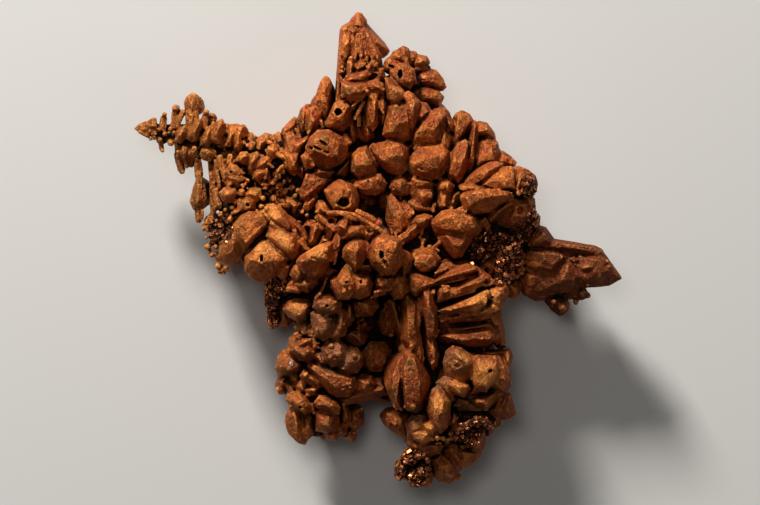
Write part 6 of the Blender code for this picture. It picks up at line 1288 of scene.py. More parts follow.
# The knobs that stand highest, with a thin arched rib over them.
centreCluster = {
    "lift": -0.55,
    "gems": [
        (8.3, 1.2,
         [(-6.7, -0.9), (-6.3, -0.45), (-5.6, -0.1), (-5.0, 0.3), (-4.2, 0.6), (-3.9, 0.55),
          (-3.85, -0.2), (-3.95, -0.8), (-4.6, -1.05), (-5.2, -1.2), (-6.0, -1.8), (-6.3, -1.5)],
         [(-6.3, -0.9, -0.3), (-5.0, -0.05), (-4.2, 0.3), (-4.3, -0.6), (-5.3, -0.9)]),
        (7.4, 1.2,
         [(-6.1, -1.8), (-5.6, -1.3), (-4.6, -1.0), (-4.2, -1.2), (-4.4, -1.7), (-4.9, -2.1),
          (-5.6, -2.3)], [(-5.6, -1.7), (-4.8, -1.3), (-5.2, -2.0, -0.1)]),
        (6.7, 1.0,
         [(-7.15, -2.0), (-6.95, -1.4), (-6.7, -1.25), (-6.35, -1.3), (-6.15, -2.1), (-6.4, -2.35),
          (-6.9, -2.5)], [(-6.8, -1.5), (-6.45, -1.7), (-6.6, -2.2)]),
        (6.5, 0.8,
         [(-6.75, -2.8), (-6.0, -2.3), (-5.3, -2.35), (-5.2, -2.75), (-5.9, -3.35), (-6.6, -3.1)],
         [(-6.3, -2.75), (-5.6, -2.5), (-5.9, -3.0, -0.1)]),
        (5.9, 0.4, [(-7.5, -3.2), (-7.0, -3.0), (-6.6, -3.3), (-6.6, -3.5), (-7.4, -3.4)],
         [(-7.1, -3.2), (-6.8, -3.35)]),
        (5.8, 0.5, [(-7.45, -2.95), (-7.1, -2.6), (-6.9, -2.9), (-7.1, -3.1)],
         [(-7.2, -2.8), (-7.1, -2.95)]),
        (9.4, 1.5,
         [(-0.65, 0.1), (-0.3, 0.7), (0.1, 1.05), (1.0, 1.1), (1.75, 0.95), (1.7, 0.3), (1.95, -0.4),
          (1.8, -1.2), (1.3, -1.9), (0.3, -1.9), (-0.3, -1.2), (-0.6, -0.6)],
         [(-0.2, 0.1, -0.2), (0.0, 0.8), (1.5, 0.75), (1.5, 0.1), (1.4, -0.8, -0.2), (0.6, -1.5, -0.3),
          (-0.1, -0.8, -0.2)]),
        (9.0, 1.5,
         [(-2.75, 0.1), (-2.5, 0.5), (-2.0, 0.85), (-1.3, 0.85), (-1.0, 0.6), (-1.0, -0.2), (-1.35, -0.9),
          (-1.9, -1.75), (-2.3, -1.2), (-2.8, -0.5)],
         [(-2.4, 0.2), (-2.0, 0.55, 0.1), (-1.7, 0.2), (-2.2, -0.4), (-1.9, -1.2, -0.3)]),
        (7.4, 0.9, [(-1.9, -1.2), (-1.3, -0.9), (-0.5, -1.0), (-0.4, -1.5), (-1.0, -1.8), (-1.8, -1.8)],
         [(-1.6, -1.2), (-0.7, -1.3)]),
        (8.5, 1.3,
         [(-3.5, -2.9), (-3.3, -2.2), (-2.8, -1.9), (-2.5, -1.1), (-2.2, -1.4), (-2.15, -2.1),
          (-1.75, -2.6), (-1.9, -3.4), (-2.4, -3.9), (-3.2, -3.9), (-3.45, -3.4)],
         [(-3.1, -2.6), (-2.5, -2.0, -0.1), (-2.1, -2.8), (-2.3, -3.6), (-3.1, -3.5)]),
        (8.1, 1.3,
         [(-2.1, -2.0), (-1.7, -1.95), (-0.8, -2.1), (-0.6, -2.8), (-0.8, -3.6), (-1.5, -3.9),
          (-2.2, -3.7), (-1.9, -2.8)], [(-1.8, -2.3), (-1.0, -2.5), (-0.9, -3.2, -0.1), (-1.6, -3.5)]),
        (7.5, 1.1,
         [(-0.15, -2.6), (0.1, -2.0), (0.9, -2.1), (1.3, -2.5), (1.2, -3.0), (0.4, -3.2), (-0.1, -3.0)],
         [(0.2, -2.3), (0.9, -2.4), (0.8, -2.9), (0.2, -2.9)]),
        (7.0, 1.0,
         [(1.1, -2.2), (1.6, -2.0), (2.2, -2.3), (2.4, -3.2), (2.2, -3.9), (1.4, -3.9), (1.0, -3.3)],
         [(1.5, -2.5), (2.0, -2.9), (1.9, -3.5), (1.3, -3.2)]),
        (7.4, 0.9,
         [(2.05, 0.0), (2.5, -0.3), (2.7, -0.8), (2.5, -1.4), (2.2, -1.9), (1.9, -1.3), (1.9, -0.5)],
         [(2.2, -0.4), (2.2, -1.2, 0.2)]),
        (8.3, 0.8,
         [(-3.45, 2.0), (-3.0, 2.4), (-2.7, 2.8), (-2.4, 2.7), (-2.5, 2.0), (-2.4, 1.5), (-2.9, 1.3),
          (-3.2, 1.6)], [(-3.1, 2.1), (-2.7, 2.5), (-2.7, 1.8)]),
        (8.3, 0.8,
         [(-2.8, 1.5), (-2.3, 1.9), (-1.4, 2.0), (-0.9, 1.9), (-1.1, 1.3), (-1.9, 1.0), (-2.8, 1.05)],
         [(-2.4, 1.5), (-1.6, 1.85), (-1.2, 1.6, -0.1), (-2.3, 1.2, -0.1)]),
        (7.9, 0.7, [(-1.2, 0.8), (-0.9, 1.3), (-0.5, 1.7), (-0.2, 1.7), (-0.4, 1.1), (-0.8, 0.7)],
         [(-0.9, 1.0), (-0.4, 1.5)]),
        (7.6, 0.9, [(-3.4, 1.5), (-2.9, 1.3), (-2.85, 0.6), (-3.2, 0.1), (-3.6, 0.1), (-3.6, 0.8)],
         [(-3.2, 1.2), (-3.3, 0.4)]),
        (6.4, 0.8,
         [(-5.0, 3.4), (-4.8, 3.8), (-4.4, 3.8), (-4.1, 3.3), (-3.9, 2.9), (-4.2, 2.7), (-4.7, 3.0)],
         [(-4.7, 3.5), (-4.2, 3.1)]),
        (6.4, 0.7, [(-4.2, 1.9), (-3.8, 2.1), (-3.5, 1.8), (-3.6, 1.2), (-3.9, 0.9), (-4.2, 1.3)],
         [(-4.0, 1.7), (-3.8, 1.3)]),
        (5.6, 0.7,
         [(-5.5, 2.0), (-5.0, 2.2), (-4.8, 1.6), (-5.1, 0.9), (-5.6, 0.4), (-5.9, 0.5), (-5.6, 1.3)],
         [(-5.2, 1.9), (-5.5, 0.9)]),
        (5.9, 0.8, [(-4.8, 0.5), (-4.5, 1.1), (-4.0, 1.0), (-4.0, 0.6), (-4.4, 0.4)],
         [(-4.5, 0.9), (-4.2, 0.8)]),
        (4.6, 0.9, [(-6.1, 2.0), (-5.8, 2.4), (-5.3, 2.4), (-5.3, 1.8), (-5.7, 1.5)],
         [(-5.8, 2.2), (-5.5, 1.9)]),
        (6.9, 1.0,
         [(2.6, -1.9), (2.9, -1.9), (3.4, -2.3), (4.6, -2.5), (5.0, -2.8), (4.2, -3.0), (3.6, -3.2),
          (3.2, -3.9), (2.8, -3.5), (2.4, -3.2), (2.6, -2.6)],
         [(2.8, -2.2), (3.2, -2.6), (4.4, -2.7, -0.1), (3.1, -3.4), (2.7, -3.0)]),
        (6.3, 1.0, [(-5.0, -1.9), (-4.3, -1.5), (-3.6, -1.7), (-3.7, -2.1), (-4.7, -2.3)],
         [(-4.5, -1.9), (-3.9, -1.8)]),
        (6.0, 1.2,
         [(-1.9, -4.3), (-1.3, -3.9), (-0.3, -4.0), (-0.1, -4.7), (-0.6, -5.3), (-1.7, -5.4),
          (-2.0, -4.9)], [(-1.5, -4.4), (-0.6, -4.5), (-1.0, -5.0)]),
        (7.6, 0.8, [(-3.85, -2.6), (-3.6, -2.3), (-3.4, -2.5), (-3.4, -3.1), (-3.6, -3.3), (-3.8, -3.0)],
         [(-3.65, -2.6), (-3.6, -3.0)]),
    ],
    "rods": [
        ((-4.1, 3.1, 7.3), (-3.0, 3.1, 8.0), 0.5), ((-3.1, 3.12, 8.0), (-2.0, 2.95, 8.1), 0.5),
        ((-2.1, 3.0, 8.1), (-1.2, 2.5, 8.1), 0.48), ((-1.3, 2.55, 8.1), (-0.5, 2.1, 8.1), 0.45),
        ((-0.6, 2.1, 8.1), (0.2, 1.7, 8.1), 0.45), ((0.1, 1.75, 8.1), (1.0, 1.05, 8.0), 0.45),
        ((-2.65, 2.75, 8.0), (-1.6, 2.55, 8.0), 0.35), ((-1.5, 2.5, 7.8), (-1.1, 2.0, 7.8), 0.3),
        ((-1.8, 3.3, 6.6), (-0.9, 2.9, 6.7), 0.55), ((-1.0, 2.9, 6.7), (-0.2, 2.3, 6.6), 0.6),
        ((-5.0, 2.9, 6.6), (-4.1, 2.1, 6.9), 0.5), ((-4.2, 2.15, 6.9), (-3.5, 1.6, 7.1), 0.45),
        ((-4.9, 2.6, 6.2), (-4.6, 1.7, 6.2), 0.5), ((-3.9, 2.9, 6.9), (-3.4, 2.4, 7.0), 0.3),
        ((-4.25, -2.3, 6.5), (-4.65, -3.3, 6.4), 0.26), ((-3.45, -0.1, 7.0), (-3.65, -1.2, 6.8), 0.3),
        ((-4.6, -3.3, 6.2), (-5.2, -3.9, 6.0), 0.35), ((-0.3, -3.5, 7.0), (1.3, -3.1, 7.0), 0.35),
        ((-0.6, -3.9, 6.8), (0.7, -3.5, 6.8), 0.3), ((-0.9, 1.5, 7.9), (-1.1, 1.1, 7.8), 0.3),
        ((1.8, 0.9, 6.5), (2.5, 1.3, 6.0), 0.7), ((-0.9, 0.6, 7.8), (-0.9, -0.7, 7.6), 0.3),
    ],
    "balls": [
        (-2.5, -2.5, 8.6, 0.5), (-2.8, -3.4, 8.55, 0.5), (-2.3, -3.2, 8.6, 0.4), (-5.1, 3.2, 6.2, 0.4),
        (-1.1, -2.9, 8.2, 0.5), (0.6, -2.6, 7.7, 0.7), (-4.3, 0.0, 8.4, 0.5),
    ],
    "rubble": [
        (0.6, -2.6, 0.6, 0.4, 7.4, 0.3, 9), (1.7, -3.3, 0.5, 0.5, 6.8, 0.35, 8),
        (-1.2, -4.7, 0.7, 0.5, 5.8, 0.35, 9), (-6.9, -3.2, 0.6, 0.4, 5.6, 0.3, 10),
        (-5.0, 3.1, 0.5, 0.5, 5.9, 0.3, 7),
    ],
    "grooves": [
        ((-6.8, -2.55), (-6.0, -2.15), 0.12, 0.6, 6.7), ((-5.7, -0.6), (-4.9, -0.75), 0.3, 0.15, 8.3),
        ((0.35, -0.6), (1.0, -1.7), 0.3, 0.45, 9.2), ((0.6, 0.0), (1.5, -0.5), 0.2, 0.25, 9.4),
        ((-1.9, -0.2), (-1.7, -1.2), 0.08, 0.15, 9.0), ((-2.0, -2.1), (-1.9, -3.6), 0.12, 0.35, 8.4),
        ((-2.7, -2.2), (-2.4, -2.6), 0.14, 0.3, 8.6), ((-1.6, -3.1), (-0.8, -3.0), 0.08, 0.2, 8.1),
        ((2.8, -2.4), (3.1, -3.0), 0.14, 0.35, 7.0), ((-2.2, 1.3), (-1.5, 1.5), 0.14, 0.3, 8.3),
        ((0.2, -2.4), (0.9, -2.7), 0.1, 0.25, 7.6),
    ],
    "pits": [
        (0.3, -0.35, 0.26, 0.42, 9.5, 1.3), (-2.6, -2.65, 0.2, 0.17, 8.7, 0.5),
        (-1.4, -2.6, 0.17, 0.25, 8.2, 0.5), (-2.3, -3.5, 0.14, 0.16, 8.6, 0.4),
        (-2.9, -3.6, 0.12, 0.1, 8.6, 0.3), (-2.35, 2.15, 0.3, 0.2, 8.4, 0.9),
        (-0.75, 1.65, 0.25, 0.14, 8.0, 0.6),
    ],
}
growPiece("centreCluster", centreCluster, 28)


# The arm that sweeps away east and ends in a pyramid.
eastArm = {
    "style": {"mostDepth": 3.2},
    "gems": [
        (2.6, 0.9,
         [(12.1, -0.2), (13.4, 0.6), (16.0, 0.4), (18.4, 0.1), (19.5, -1.3), (19.9, -2.0), (18.6, -2.6),
          (16.8, -2.9), (15.2, -3.3), (13.9, -3.8), (12.5, -3.5), (12.0, -1.8)],
         [(13.0, -0.4), (15.0, 0.0), (18.0, -0.4), (18.6, -1.8), (16.0, -2.4), (13.2, -2.8)]),
        (3.2, 1.0,
         [(12.6, 1.2), (13.4, 2.0), (14.0, 1.8), (14.5, 1.1), (14.6, 0.7), (13.6, 0.3), (12.8, 0.4)],
         [(13.3, 1.6), (13.9, 1.4), (14.1, 0.8), (13.2, 0.7)]),
        (3.0, 0.8,
         [(13.2, 0.7), (14.4, 1.0), (16.0, 0.65), (18.0, 0.4), (18.7, 0.1), (19.0, -0.4), (18.0, -0.6),
          (16.6, -0.3), (15.2, 0.0), (13.6, 0.2)],
         [(14.0, 0.6), (15.6, 0.35), (17.2, 0.1), (18.4, -0.1, -0.2)]),
        (3.2, 1.2,
         [(12.1, -0.3), (12.6, 0.1), (14.0, 0.1), (15.4, -0.1), (15.9, -0.5), (15.6, -1.2), (14.8, -1.8),
          (13.4, -1.8), (12.3, -1.2)],
         [(12.8, -0.3), (14.2, -0.3, 0.1), (15.2, -0.6), (14.4, -1.4), (13.0, -1.1)]),
        (2.4, 1.0,
         [(11.9, -1.8), (12.8, -1.6), (13.8, -1.8), (14.2, -2.6), (13.8, -3.3), (12.6, -3.5),
          (11.9, -2.8)], [(12.6, -2.0), (13.7, -2.4), (12.8, -2.9)]),
        (1.8, 1.0, [(12.0, -3.0), (12.8, -3.4), (13.9, -3.2), (14.0, -4.1), (13.2, -4.1), (12.4, -3.7)],
         [(12.8, -3.5), (13.5, -3.7)]),
        (3.0, 1.1,
         [(14.9, -1.6), (15.7, -0.9), (16.3, -0.9), (16.9, -1.4), (16.9, -2.3), (16.2, -3.2),
          (15.4, -3.4), (14.9, -2.6)], [(15.6, -1.4), (16.3, -1.3), (16.4, -2.2), (15.4, -2.4)]),
        (2.2, 1.0, [(13.9, -1.9), (14.9, -1.7), (15.1, -2.8), (14.8, -3.6), (14.2, -3.8), (13.9, -3.0)],
         [(14.3, -2.3), (14.8, -2.5), (14.4, -3.2)]),
        (3.1, 1.2,
         [(16.7, -0.3), (18.0, -0.3), (19.0, -0.5), (19.4, -1.2), (20.1, -2.0), (20.3, -2.3),
          (19.3, -2.8), (18.2, -2.9), (17.1, -3.0), (16.6, -2.4), (16.6, -1.2)],
         [(17.1, -0.8), (18.4, -0.8), (19.2, -1.6, -0.2), (18.4, -2.0), (17.2, -2.2)]),
        (3.3, 0.6, [(17.0, -1.3), (17.6, -1.1), (18.1, -1.1), (18.1, -1.6), (17.6, -1.8), (17.1, -1.7)],
         [(17.3, -1.4), (17.9, -1.35)]),
        (1.9, 0.9, [(16.0, -3.2), (16.8, -2.9), (17.1, -3.1), (16.7, -3.7), (16.1, -4.0), (15.7, -3.7)],
         [(16.3, -3.4), (16.6, -3.3)]),
        (1.5, 1.0,
         [(13.9, -4.0), (14.6, -3.7), (15.6, -4.0), (16.0, -4.5), (15.8, -5.1), (15.3, -5.4),
          (14.7, -4.9)], [(14.6, -4.2), (15.4, -4.5), (15.3, -5.0, -0.2)]),
        (2.6, 1.2, [(10.8, -2.6), (11.5, -2.5), (11.85, -3.1), (11.75, -3.7), (11.3, -3.9), (10.9, -3.6)],
         [(11.1, -3.0), (11.5, -3.3)]),
    ],
    "rods": [
        ((14.8, 0.5, 2.9), (16.4, 0.25, 3.0), 0.5), ((16.2, 0.3, 3.0), (18.2, 0.05, 2.8), 0.45),
        ((18.1, 0.0, 2.8), (19.0, -1.0, 2.5), 0.45), ((19.0, -1.0, 2.6), (20.1, -2.0, 2.2), 0.45),
        ((18.6, -0.9, 2.9), (19.7, -1.9, 2.5), 0.35), ((14.0, -3.8, 1.8), (14.8, -2.9, 2.2), 0.25),
    ],
    "balls": [
        (17.25, -3.6, 1.8, 0.85), (17.6, -3.75, 1.6, 0.6), (16.6, -4.3, 1.4, 0.6), (16.5, -3.7, 1.6, 0.6),
        (17.1, -4.0, 1.4, 0.5), (14.75, -4.3, 1.8, 0.5), (15.5, -4.8, 1.6, 0.8), (20.2, -2.15, 2.1, 0.4),
        (18.5, -2.0, 3.1, 0.7),
    ],
    "rubble": [
        (17.0, -0.9, 0.9, 0.5, 2.9, 0.4, 14), (14.6, -2.9, 0.6, 0.8, 2.0, 0.35, 12),
        (17.6, -2.5, 0.6, 0.4, 2.7, 0.35, 9), (17.2, -3.8, 0.5, 0.3, 1.5, 0.35, 6),
        (18.6, -1.3, 0.8, 0.6, 2.9, 0.35, 10), (15.2, -4.6, 0.6, 0.4, 1.4, 0.35, 8),
    ],
    "grooves": [
        ((13.5, 0.25), (16.6, -0.15), 0.16, 0.6, 3.1), ((15.1, -1.6), (15.9, -0.95), 0.12, 0.4, 3.0),
        ((14.0, -0.7), (15.0, -0.5), 0.1, 0.12, 3.2), ((14.1, -1.0), (15.0, -0.9), 0.1, 0.12, 3.2),
        ((18.0, -0.95), (18.7, -1.1), 0.14, 0.4, 3.1),
    ],
    "pits": [(16.5, 0.2, 0.1, 0.08, 3.1, 0.3), (17.6, -2.65, 0.16, 0.12, 3.0, 0.3)],
}
growPiece("eastArm", eastArm, 29)


# Long bars that fan out toward the east edge, one above the other.
sheaf = {
    "style": {"swell": 0.2},
    "gems": [
        (4.5, 0.5,
         [(4.8, -1.8), (7.8, -1.6), (9.6, -2.8), (10.2, -3.6), (9.8, -5.0), (10.0, -7.6), (6.4, -7.8),
          (5.0, -7.2), (4.7, -4.5)], [(5.5, -2.5), (8.5, -3.0), (9.3, -6.8), (6.0, -7.0)]),
        (5.9, 0.7,
         [(4.75, -2.2), (4.9, -1.7), (5.4, -1.3), (6.0, -1.25), (6.5, -1.55), (6.3, -1.8), (5.4, -1.95)],
         [(5.1, -1.8), (5.9, -1.45)]),
        (6.5, 0.9,
         [(4.6, -2.7), (5.2, -2.25), (6.0, -1.85), (6.9, -1.65), (7.3, -1.3), (8.0, -1.35), (8.2, -1.8),
          (7.2, -2.2), (6.2, -2.4), (5.2, -2.6)], [(5.2, -2.4), (6.2, -2.0), (7.2, -1.8), (7.9, -1.6)]),
        (6.1, 1.0,
         [(4.6, -2.7), (5.8, -2.3), (7.2, -2.1), (8.3, -1.6), (8.3, -2.2), (7.0, -2.8), (5.8, -3.0),
          (5.0, -3.1)], [(5.6, -2.7), (7.0, -2.4)]),
        (5.9, 0.8,
         [(7.9, -1.35), (8.4, -1.5), (9.2, -2.1), (9.5, -2.6), (9.2, -2.8), (8.6, -2.4), (8.0, -1.9)],
         [(8.3, -1.7), (9.1, -2.3)]),
        (6.8, 0.9,
         [(6.0, -3.4), (6.9, -3.0), (8.0, -2.4), (8.5, -2.2), (8.8, -2.5), (8.3, -2.9), (7.2, -3.3),
          (6.2, -3.75)], [(6.6, -3.3), (7.6, -2.8), (8.4, -2.5)]),
        (6.5, 1.1,
         [(4.9, -3.6), (5.3, -3.1), (6.0, -3.0), (6.4, -3.3), (8.6, -2.7), (9.0, -2.7), (8.4, -3.3),
          (7.0, -3.8), (5.6, -4.2), (5.0, -4.3)], [(5.4, -3.4), (5.9, -3.3), (7.6, -3.2), (6.0, -3.9)]),
        (6.9, 1.1,
         [(5.1, -5.0), (5.6, -4.8), (6.8, -4.6), (7.6, -4.2), (8.4, -3.7), (8.9, -3.35), (9.2, -3.5),
          (9.0, -4.0), (8.8, -4.5), (7.6, -4.8), (6.4, -5.1), (5.4, -5.15)],
         [(5.8, -4.9), (7.0, -4.6), (8.1, -4.1), (8.9, -3.7), (8.6, -4.2)]),
        (6.3, 1.1,
         [(6.8, -4.9), (8.0, -4.7), (8.9, -4.1), (9.1, -4.4), (9.0, -4.8), (8.0, -5.3), (6.6, -5.5),
          (5.9, -5.2)], [(7.2, -5.0), (8.6, -4.6), (8.2, -5.0)]),
        (5.7, 1.2,
         [(9.0, -3.4), (9.4, -2.9), (10.2, -2.8), (10.7, -3.1), (10.8, -3.6), (10.5, -4.1), (10.1, -4.8),
          (9.5, -4.9), (9.1, -4.2)], [(9.5, -3.3), (10.3, -3.2), (10.4, -3.7), (9.7, -4.4), (9.4, -4.0)]),
        (6.1, 0.8,
         [(9.2, -4.6), (9.6, -4.4), (10.0, -4.4), (10.1, -4.8), (9.6, -5.1), (8.6, -5.4), (8.0, -5.7),
          (8.0, -5.4), (8.8, -5.0)], [(9.5, -4.7), (9.9, -4.7), (8.6, -5.2)]),
        (5.6, 1.1,
         [(5.0, -5.4), (5.6, -5.3), (7.0, -5.6), (8.2, -5.6), (9.2, -5.3), (9.3, -5.7), (8.2, -6.0),
          (6.6, -6.0), (5.4, -6.1), (5.0, -5.8)], [(5.5, -5.6), (7.0, -5.8), (8.8, -5.6)]),
        (5.3, 0.7,
         [(5.8, -6.5), (6.8, -6.4), (8.2, -6.2), (9.2, -6.1), (9.4, -6.4), (8.2, -6.6), (6.9, -6.85),
          (6.1, -6.85)], [(6.4, -6.6), (8.4, -6.35)]),
        (5.6, 1.2,
         [(5.0, -7.1), (5.8, -7.0), (7.2, -6.9), (8.6, -6.6), (9.6, -6.4), (9.9, -6.9), (9.9, -7.5),
          (8.8, -7.9), (7.0, -7.95), (6.1, -7.7), (5.5, -7.3)],
         [(6.0, -7.15), (7.8, -7.0), (9.2, -6.8), (9.2, -7.3), (7.0, -7.5)]),
        (4.5, 1.3,
         [(9.5, -5.5), (9.9, -5.35), (10.3, -5.8), (10.4, -6.5), (10.45, -7.1), (10.65, -7.9),
          (10.2, -8.1), (10.0, -7.2), (9.7, -6.3)], [(9.9, -5.8), (10.1, -6.6), (10.3, -7.6, -0.3)]),
        (5.2, 0.9, [(4.6, -3.9), (4.9, -3.6), (5.2, -4.0), (5.2, -4.4), (4.8, -4.4)],
         [(4.8, -3.9), (5.0, -4.1)]),
    ],
    "rods": [
        ((5.3, -3.0, 6.4), (6.0, -3.05, 6.5), 0.3), ((6.1, -3.9, 6.2), (8.2, -3.3, 6.2), 0.3),
        ((9.5, -2.6, 5.5), (10.3, -2.8, 5.4), 0.5), ((8.8, -3.0, 5.6), (9.6, -2.7, 5.6), 0.35),
        ((10.3, -3.1, 5.4), (10.6, -3.8, 5.2), 0.4), ((9.0, -3.5, 6.6), (8.9, -4.5, 6.6), 0.26),
        ((6.4, -5.6, 5.9), (8.4, -5.3, 5.9), 0.25), ((9.4, -5.4, 5.0), (9.9, -6.2, 4.8), 0.4),
        ((4.8, -1.9, 5.7), (5.8, -1.4, 5.9), 0.3),
    ],
    "balls": [
        (5.6, -3.35, 6.8, 0.7), (10.4, -3.6, 5.5, 0.6), (10.0, -4.3, 5.6, 0.5), (9.6, -4.7, 6.2, 0.5),
    ],
    "rubble": [
        (5.4, -5.6, 0.5, 0.3, 5.4, 0.35, 7), (10.2, -7.7, 0.3, 0.3, 4.1, 0.3, 6),
        (8.9, -8.1, 0.9, 0.3, 3.6, 0.4, 8), (9.9, -3.9, 0.5, 0.5, 5.5, 0.3, 9),
    ],
    "grooves": [
        ((5.1, -2.55), (6.9, -2.2), 0.1, 0.2, 6.5), ((6.1, -3.75), (8.6, -2.95), 0.14, 0.5, 6.8),
        ((6.2, -5.25), (8.8, -4.75), 0.12, 0.4, 6.8), ((6.0, -6.95), (8.6, -6.6), 0.1, 0.5, 5.6),
        ((5.8, -7.2), (9.0, -7.1), 0.06, 0.1, 5.7), ((5.3, -3.6), (5.9, -3.6), 0.1, 0.3, 6.7),
        ((9.3, -3.6), (10.2, -3.4), 0.14, 0.3, 5.8), ((9.4, -4.2), (10.1, -4.1), 0.12, 0.25, 5.8),
    ],
    "pits": [(9.5, -3.9, 0.2, 0.15, 5.8, 0.4), (6.7, -7.5, 0.3, 0.1, 5.7, 0.15)],
}
growPiece("sheaf", sheaf, 30)


# Tall square columns that run down the middle to one great pointed block.
columns = {
    "gems": [
        (6.5, 1.0,
         [(3.6, -3.3), (4.0, -3.0), (4.4, -3.1), (4.6, -3.9), (4.8, -4.9), (5.0, -5.9), (4.7, -6.9),
          (4.2, -7.1), (4.0, -6.0), (3.8, -4.8)], [(4.0, -3.4), (4.3, -4.6), (4.6, -5.8), (4.3, -6.7)]),
        (6.4, 1.1,
         [(2.3, -3.7), (2.9, -3.7), (3.2, -4.2), (3.3, -5.4), (3.4, -6.6), (3.3, -7.6), (3.1, -8.3),
          (2.7, -8.2), (2.2, -7.2), (2.3, -5.6), (2.2, -4.4)],
         [(2.5, -4.2), (2.9, -4.4), (3.0, -6.4), (2.5, -6.8), (3.0, -8.0)]),
        (5.4, 0.9,
         [(3.9, -7.0), (4.6, -7.0), (4.8, -7.8), (5.0, -8.6), (4.9, -9.5), (4.6, -9.9), (4.3, -9.2),
          (4.1, -8.0)], [(4.3, -7.2), (4.6, -8.2), (4.7, -9.3)]),
        (4.7, 0.8,
         [(0.9, -4.3), (1.4, -4.2), (1.8, -5.4), (2.2, -6.6), (2.3, -7.4), (1.9, -7.2), (1.4, -6.2),
          (1.0, -5.2)], [(1.3, -4.6), (1.7, -6.0), (2.0, -6.9)]),
        (3.5, 0.8, [(0.6, -4.6), (1.2, -4.2), (1.6, -5.4), (1.7, -6.6), (1.2, -7.0), (0.8, -6.0)],
         [(1.0, -4.8), (1.3, -6.4)]),
        (3.4, 0.9,
         [(0.3, -5.2), (0.8, -4.6), (1.2, -5.4), (1.3, -6.6), (1.0, -7.1), (0.4, -6.9), (0.2, -6.0)],
         [(0.7, -5.2), (0.9, -6.4)]),
        (7.0, 1.8,
         [(2.2, -8.5), (2.7, -8.25), (3.2, -8.4), (3.4, -9.1), (3.7, -10.0), (4.15, -11.0), (4.1, -12.0),
          (3.8, -13.0), (3.3, -13.4), (2.5, -13.3), (2.1, -12.6), (2.0, -11.0), (2.0, -9.6)],
         [(2.6, -9.0), (3.0, -9.2), (3.5, -11.0), (3.3, -12.4), (2.5, -12.7), (2.2, -11.0), (2.2, -9.8)]),
        (6.5, 1.6,
         [(2.1, -8.7), (1.5, -9.2), (1.0, -10.2), (0.75, -11.2), (1.0, -12.0), (1.3, -12.8), (2.0, -13.3),
          (2.1, -12.4), (2.0, -10.6)],
         [(1.8, -9.4), (1.3, -10.4), (1.2, -11.4), (1.6, -12.6), (1.9, -11.0)]),
        (6.2, 0.9, [(3.1, -8.8), (3.5, -9.2), (4.0, -10.4), (4.2, -11.2), (3.8, -11.2), (3.3, -10.0)],
         [(3.4, -9.4), (3.9, -10.9)]),
        (4.7, 0.7, [(1.9, -8.2), (2.2, -7.7), (2.5, -8.0), (2.3, -8.5), (1.9, -8.7)],
         [(2.1, -8.1), (2.2, -8.4)]),
    ],
    "rods": [
        ((3.45, -3.9, 5.7), (3.4, -6.4, 5.8), 0.4), ((3.2, -6.4, 5.6), (3.5, -9.2, 5.6), 0.4),
        ((3.45, -7.0, 5.3), (3.75, -9.6, 5.2), 0.35), ((2.5, -4.3, 5.9), (2.4, -7.0, 5.9), 0.35),
        ((4.7, -3.2, 5.8), (4.5, -4.0, 5.9), 0.35), ((5.0, -6.6, 5.4), (4.7, -7.3, 5.4), 0.35),
        ((1.9, -4.6, 4.0), (2.2, -7.0, 4.2), 0.35), ((0.9, -4.4, 3.4), (0.6, -5.4, 3.2), 0.5),
    ],
    "balls": [
        (2.8, -8.0, 6.4, 0.6), (4.6, -3.5, 6.1, 0.5), (1.1, -7.0, 3.2, 0.6), (2.9, -12.9, 6.9, 0.7),
    ],
    "rubble": [
        (2.8, -6.0, 0.25, 1.2, 6.3, 0.25, 14), (1.5, -12.7, 0.4, 0.5, 5.6, 0.3, 9),
        (4.5, -8.8, 0.25, 0.7, 5.4, 0.25, 8), (2.5, -13.0, 0.4, 0.3, 6.0, 0.3, 7),
    ],
    "grooves": [
        ((1.95, -9.7), (1.9, -11.9), 0.2, 1.6, 7.0), ((3.1, -10.2), (3.6, -10.9), 0.12, 0.5, 7.0),
        ((2.5, -5.0), (2.6, -7.0), 0.08, 0.15, 6.4), ((4.2, -4.0), (4.5, -6.4), 0.06, 0.12, 6.6),
        ((3.0, -4.6), (3.1, -7.4), 0.08, 0.2, 6.4), ((2.4, -11.2), (4.0, -11.1), 0.06, 0.12, 7.1),
        ((1.5, -9.6), (1.6, -11.4), 0.08, 0.2, 6.5), ((2.6, -8.8), (2.8, -10.6), 0.06, 0.1, 7.1),
        ((1.1, -10.4), (1.4, -12.0), 0.08, 0.15, 6.4),
    ],
    "pits": [(3.2, -12.6, 0.4, 0.2, 7.0, 0.25), (2.9, -10.0, 0.14, 0.1, 7.1, 0.15)],
}
growPiece("columns", columns, 31)


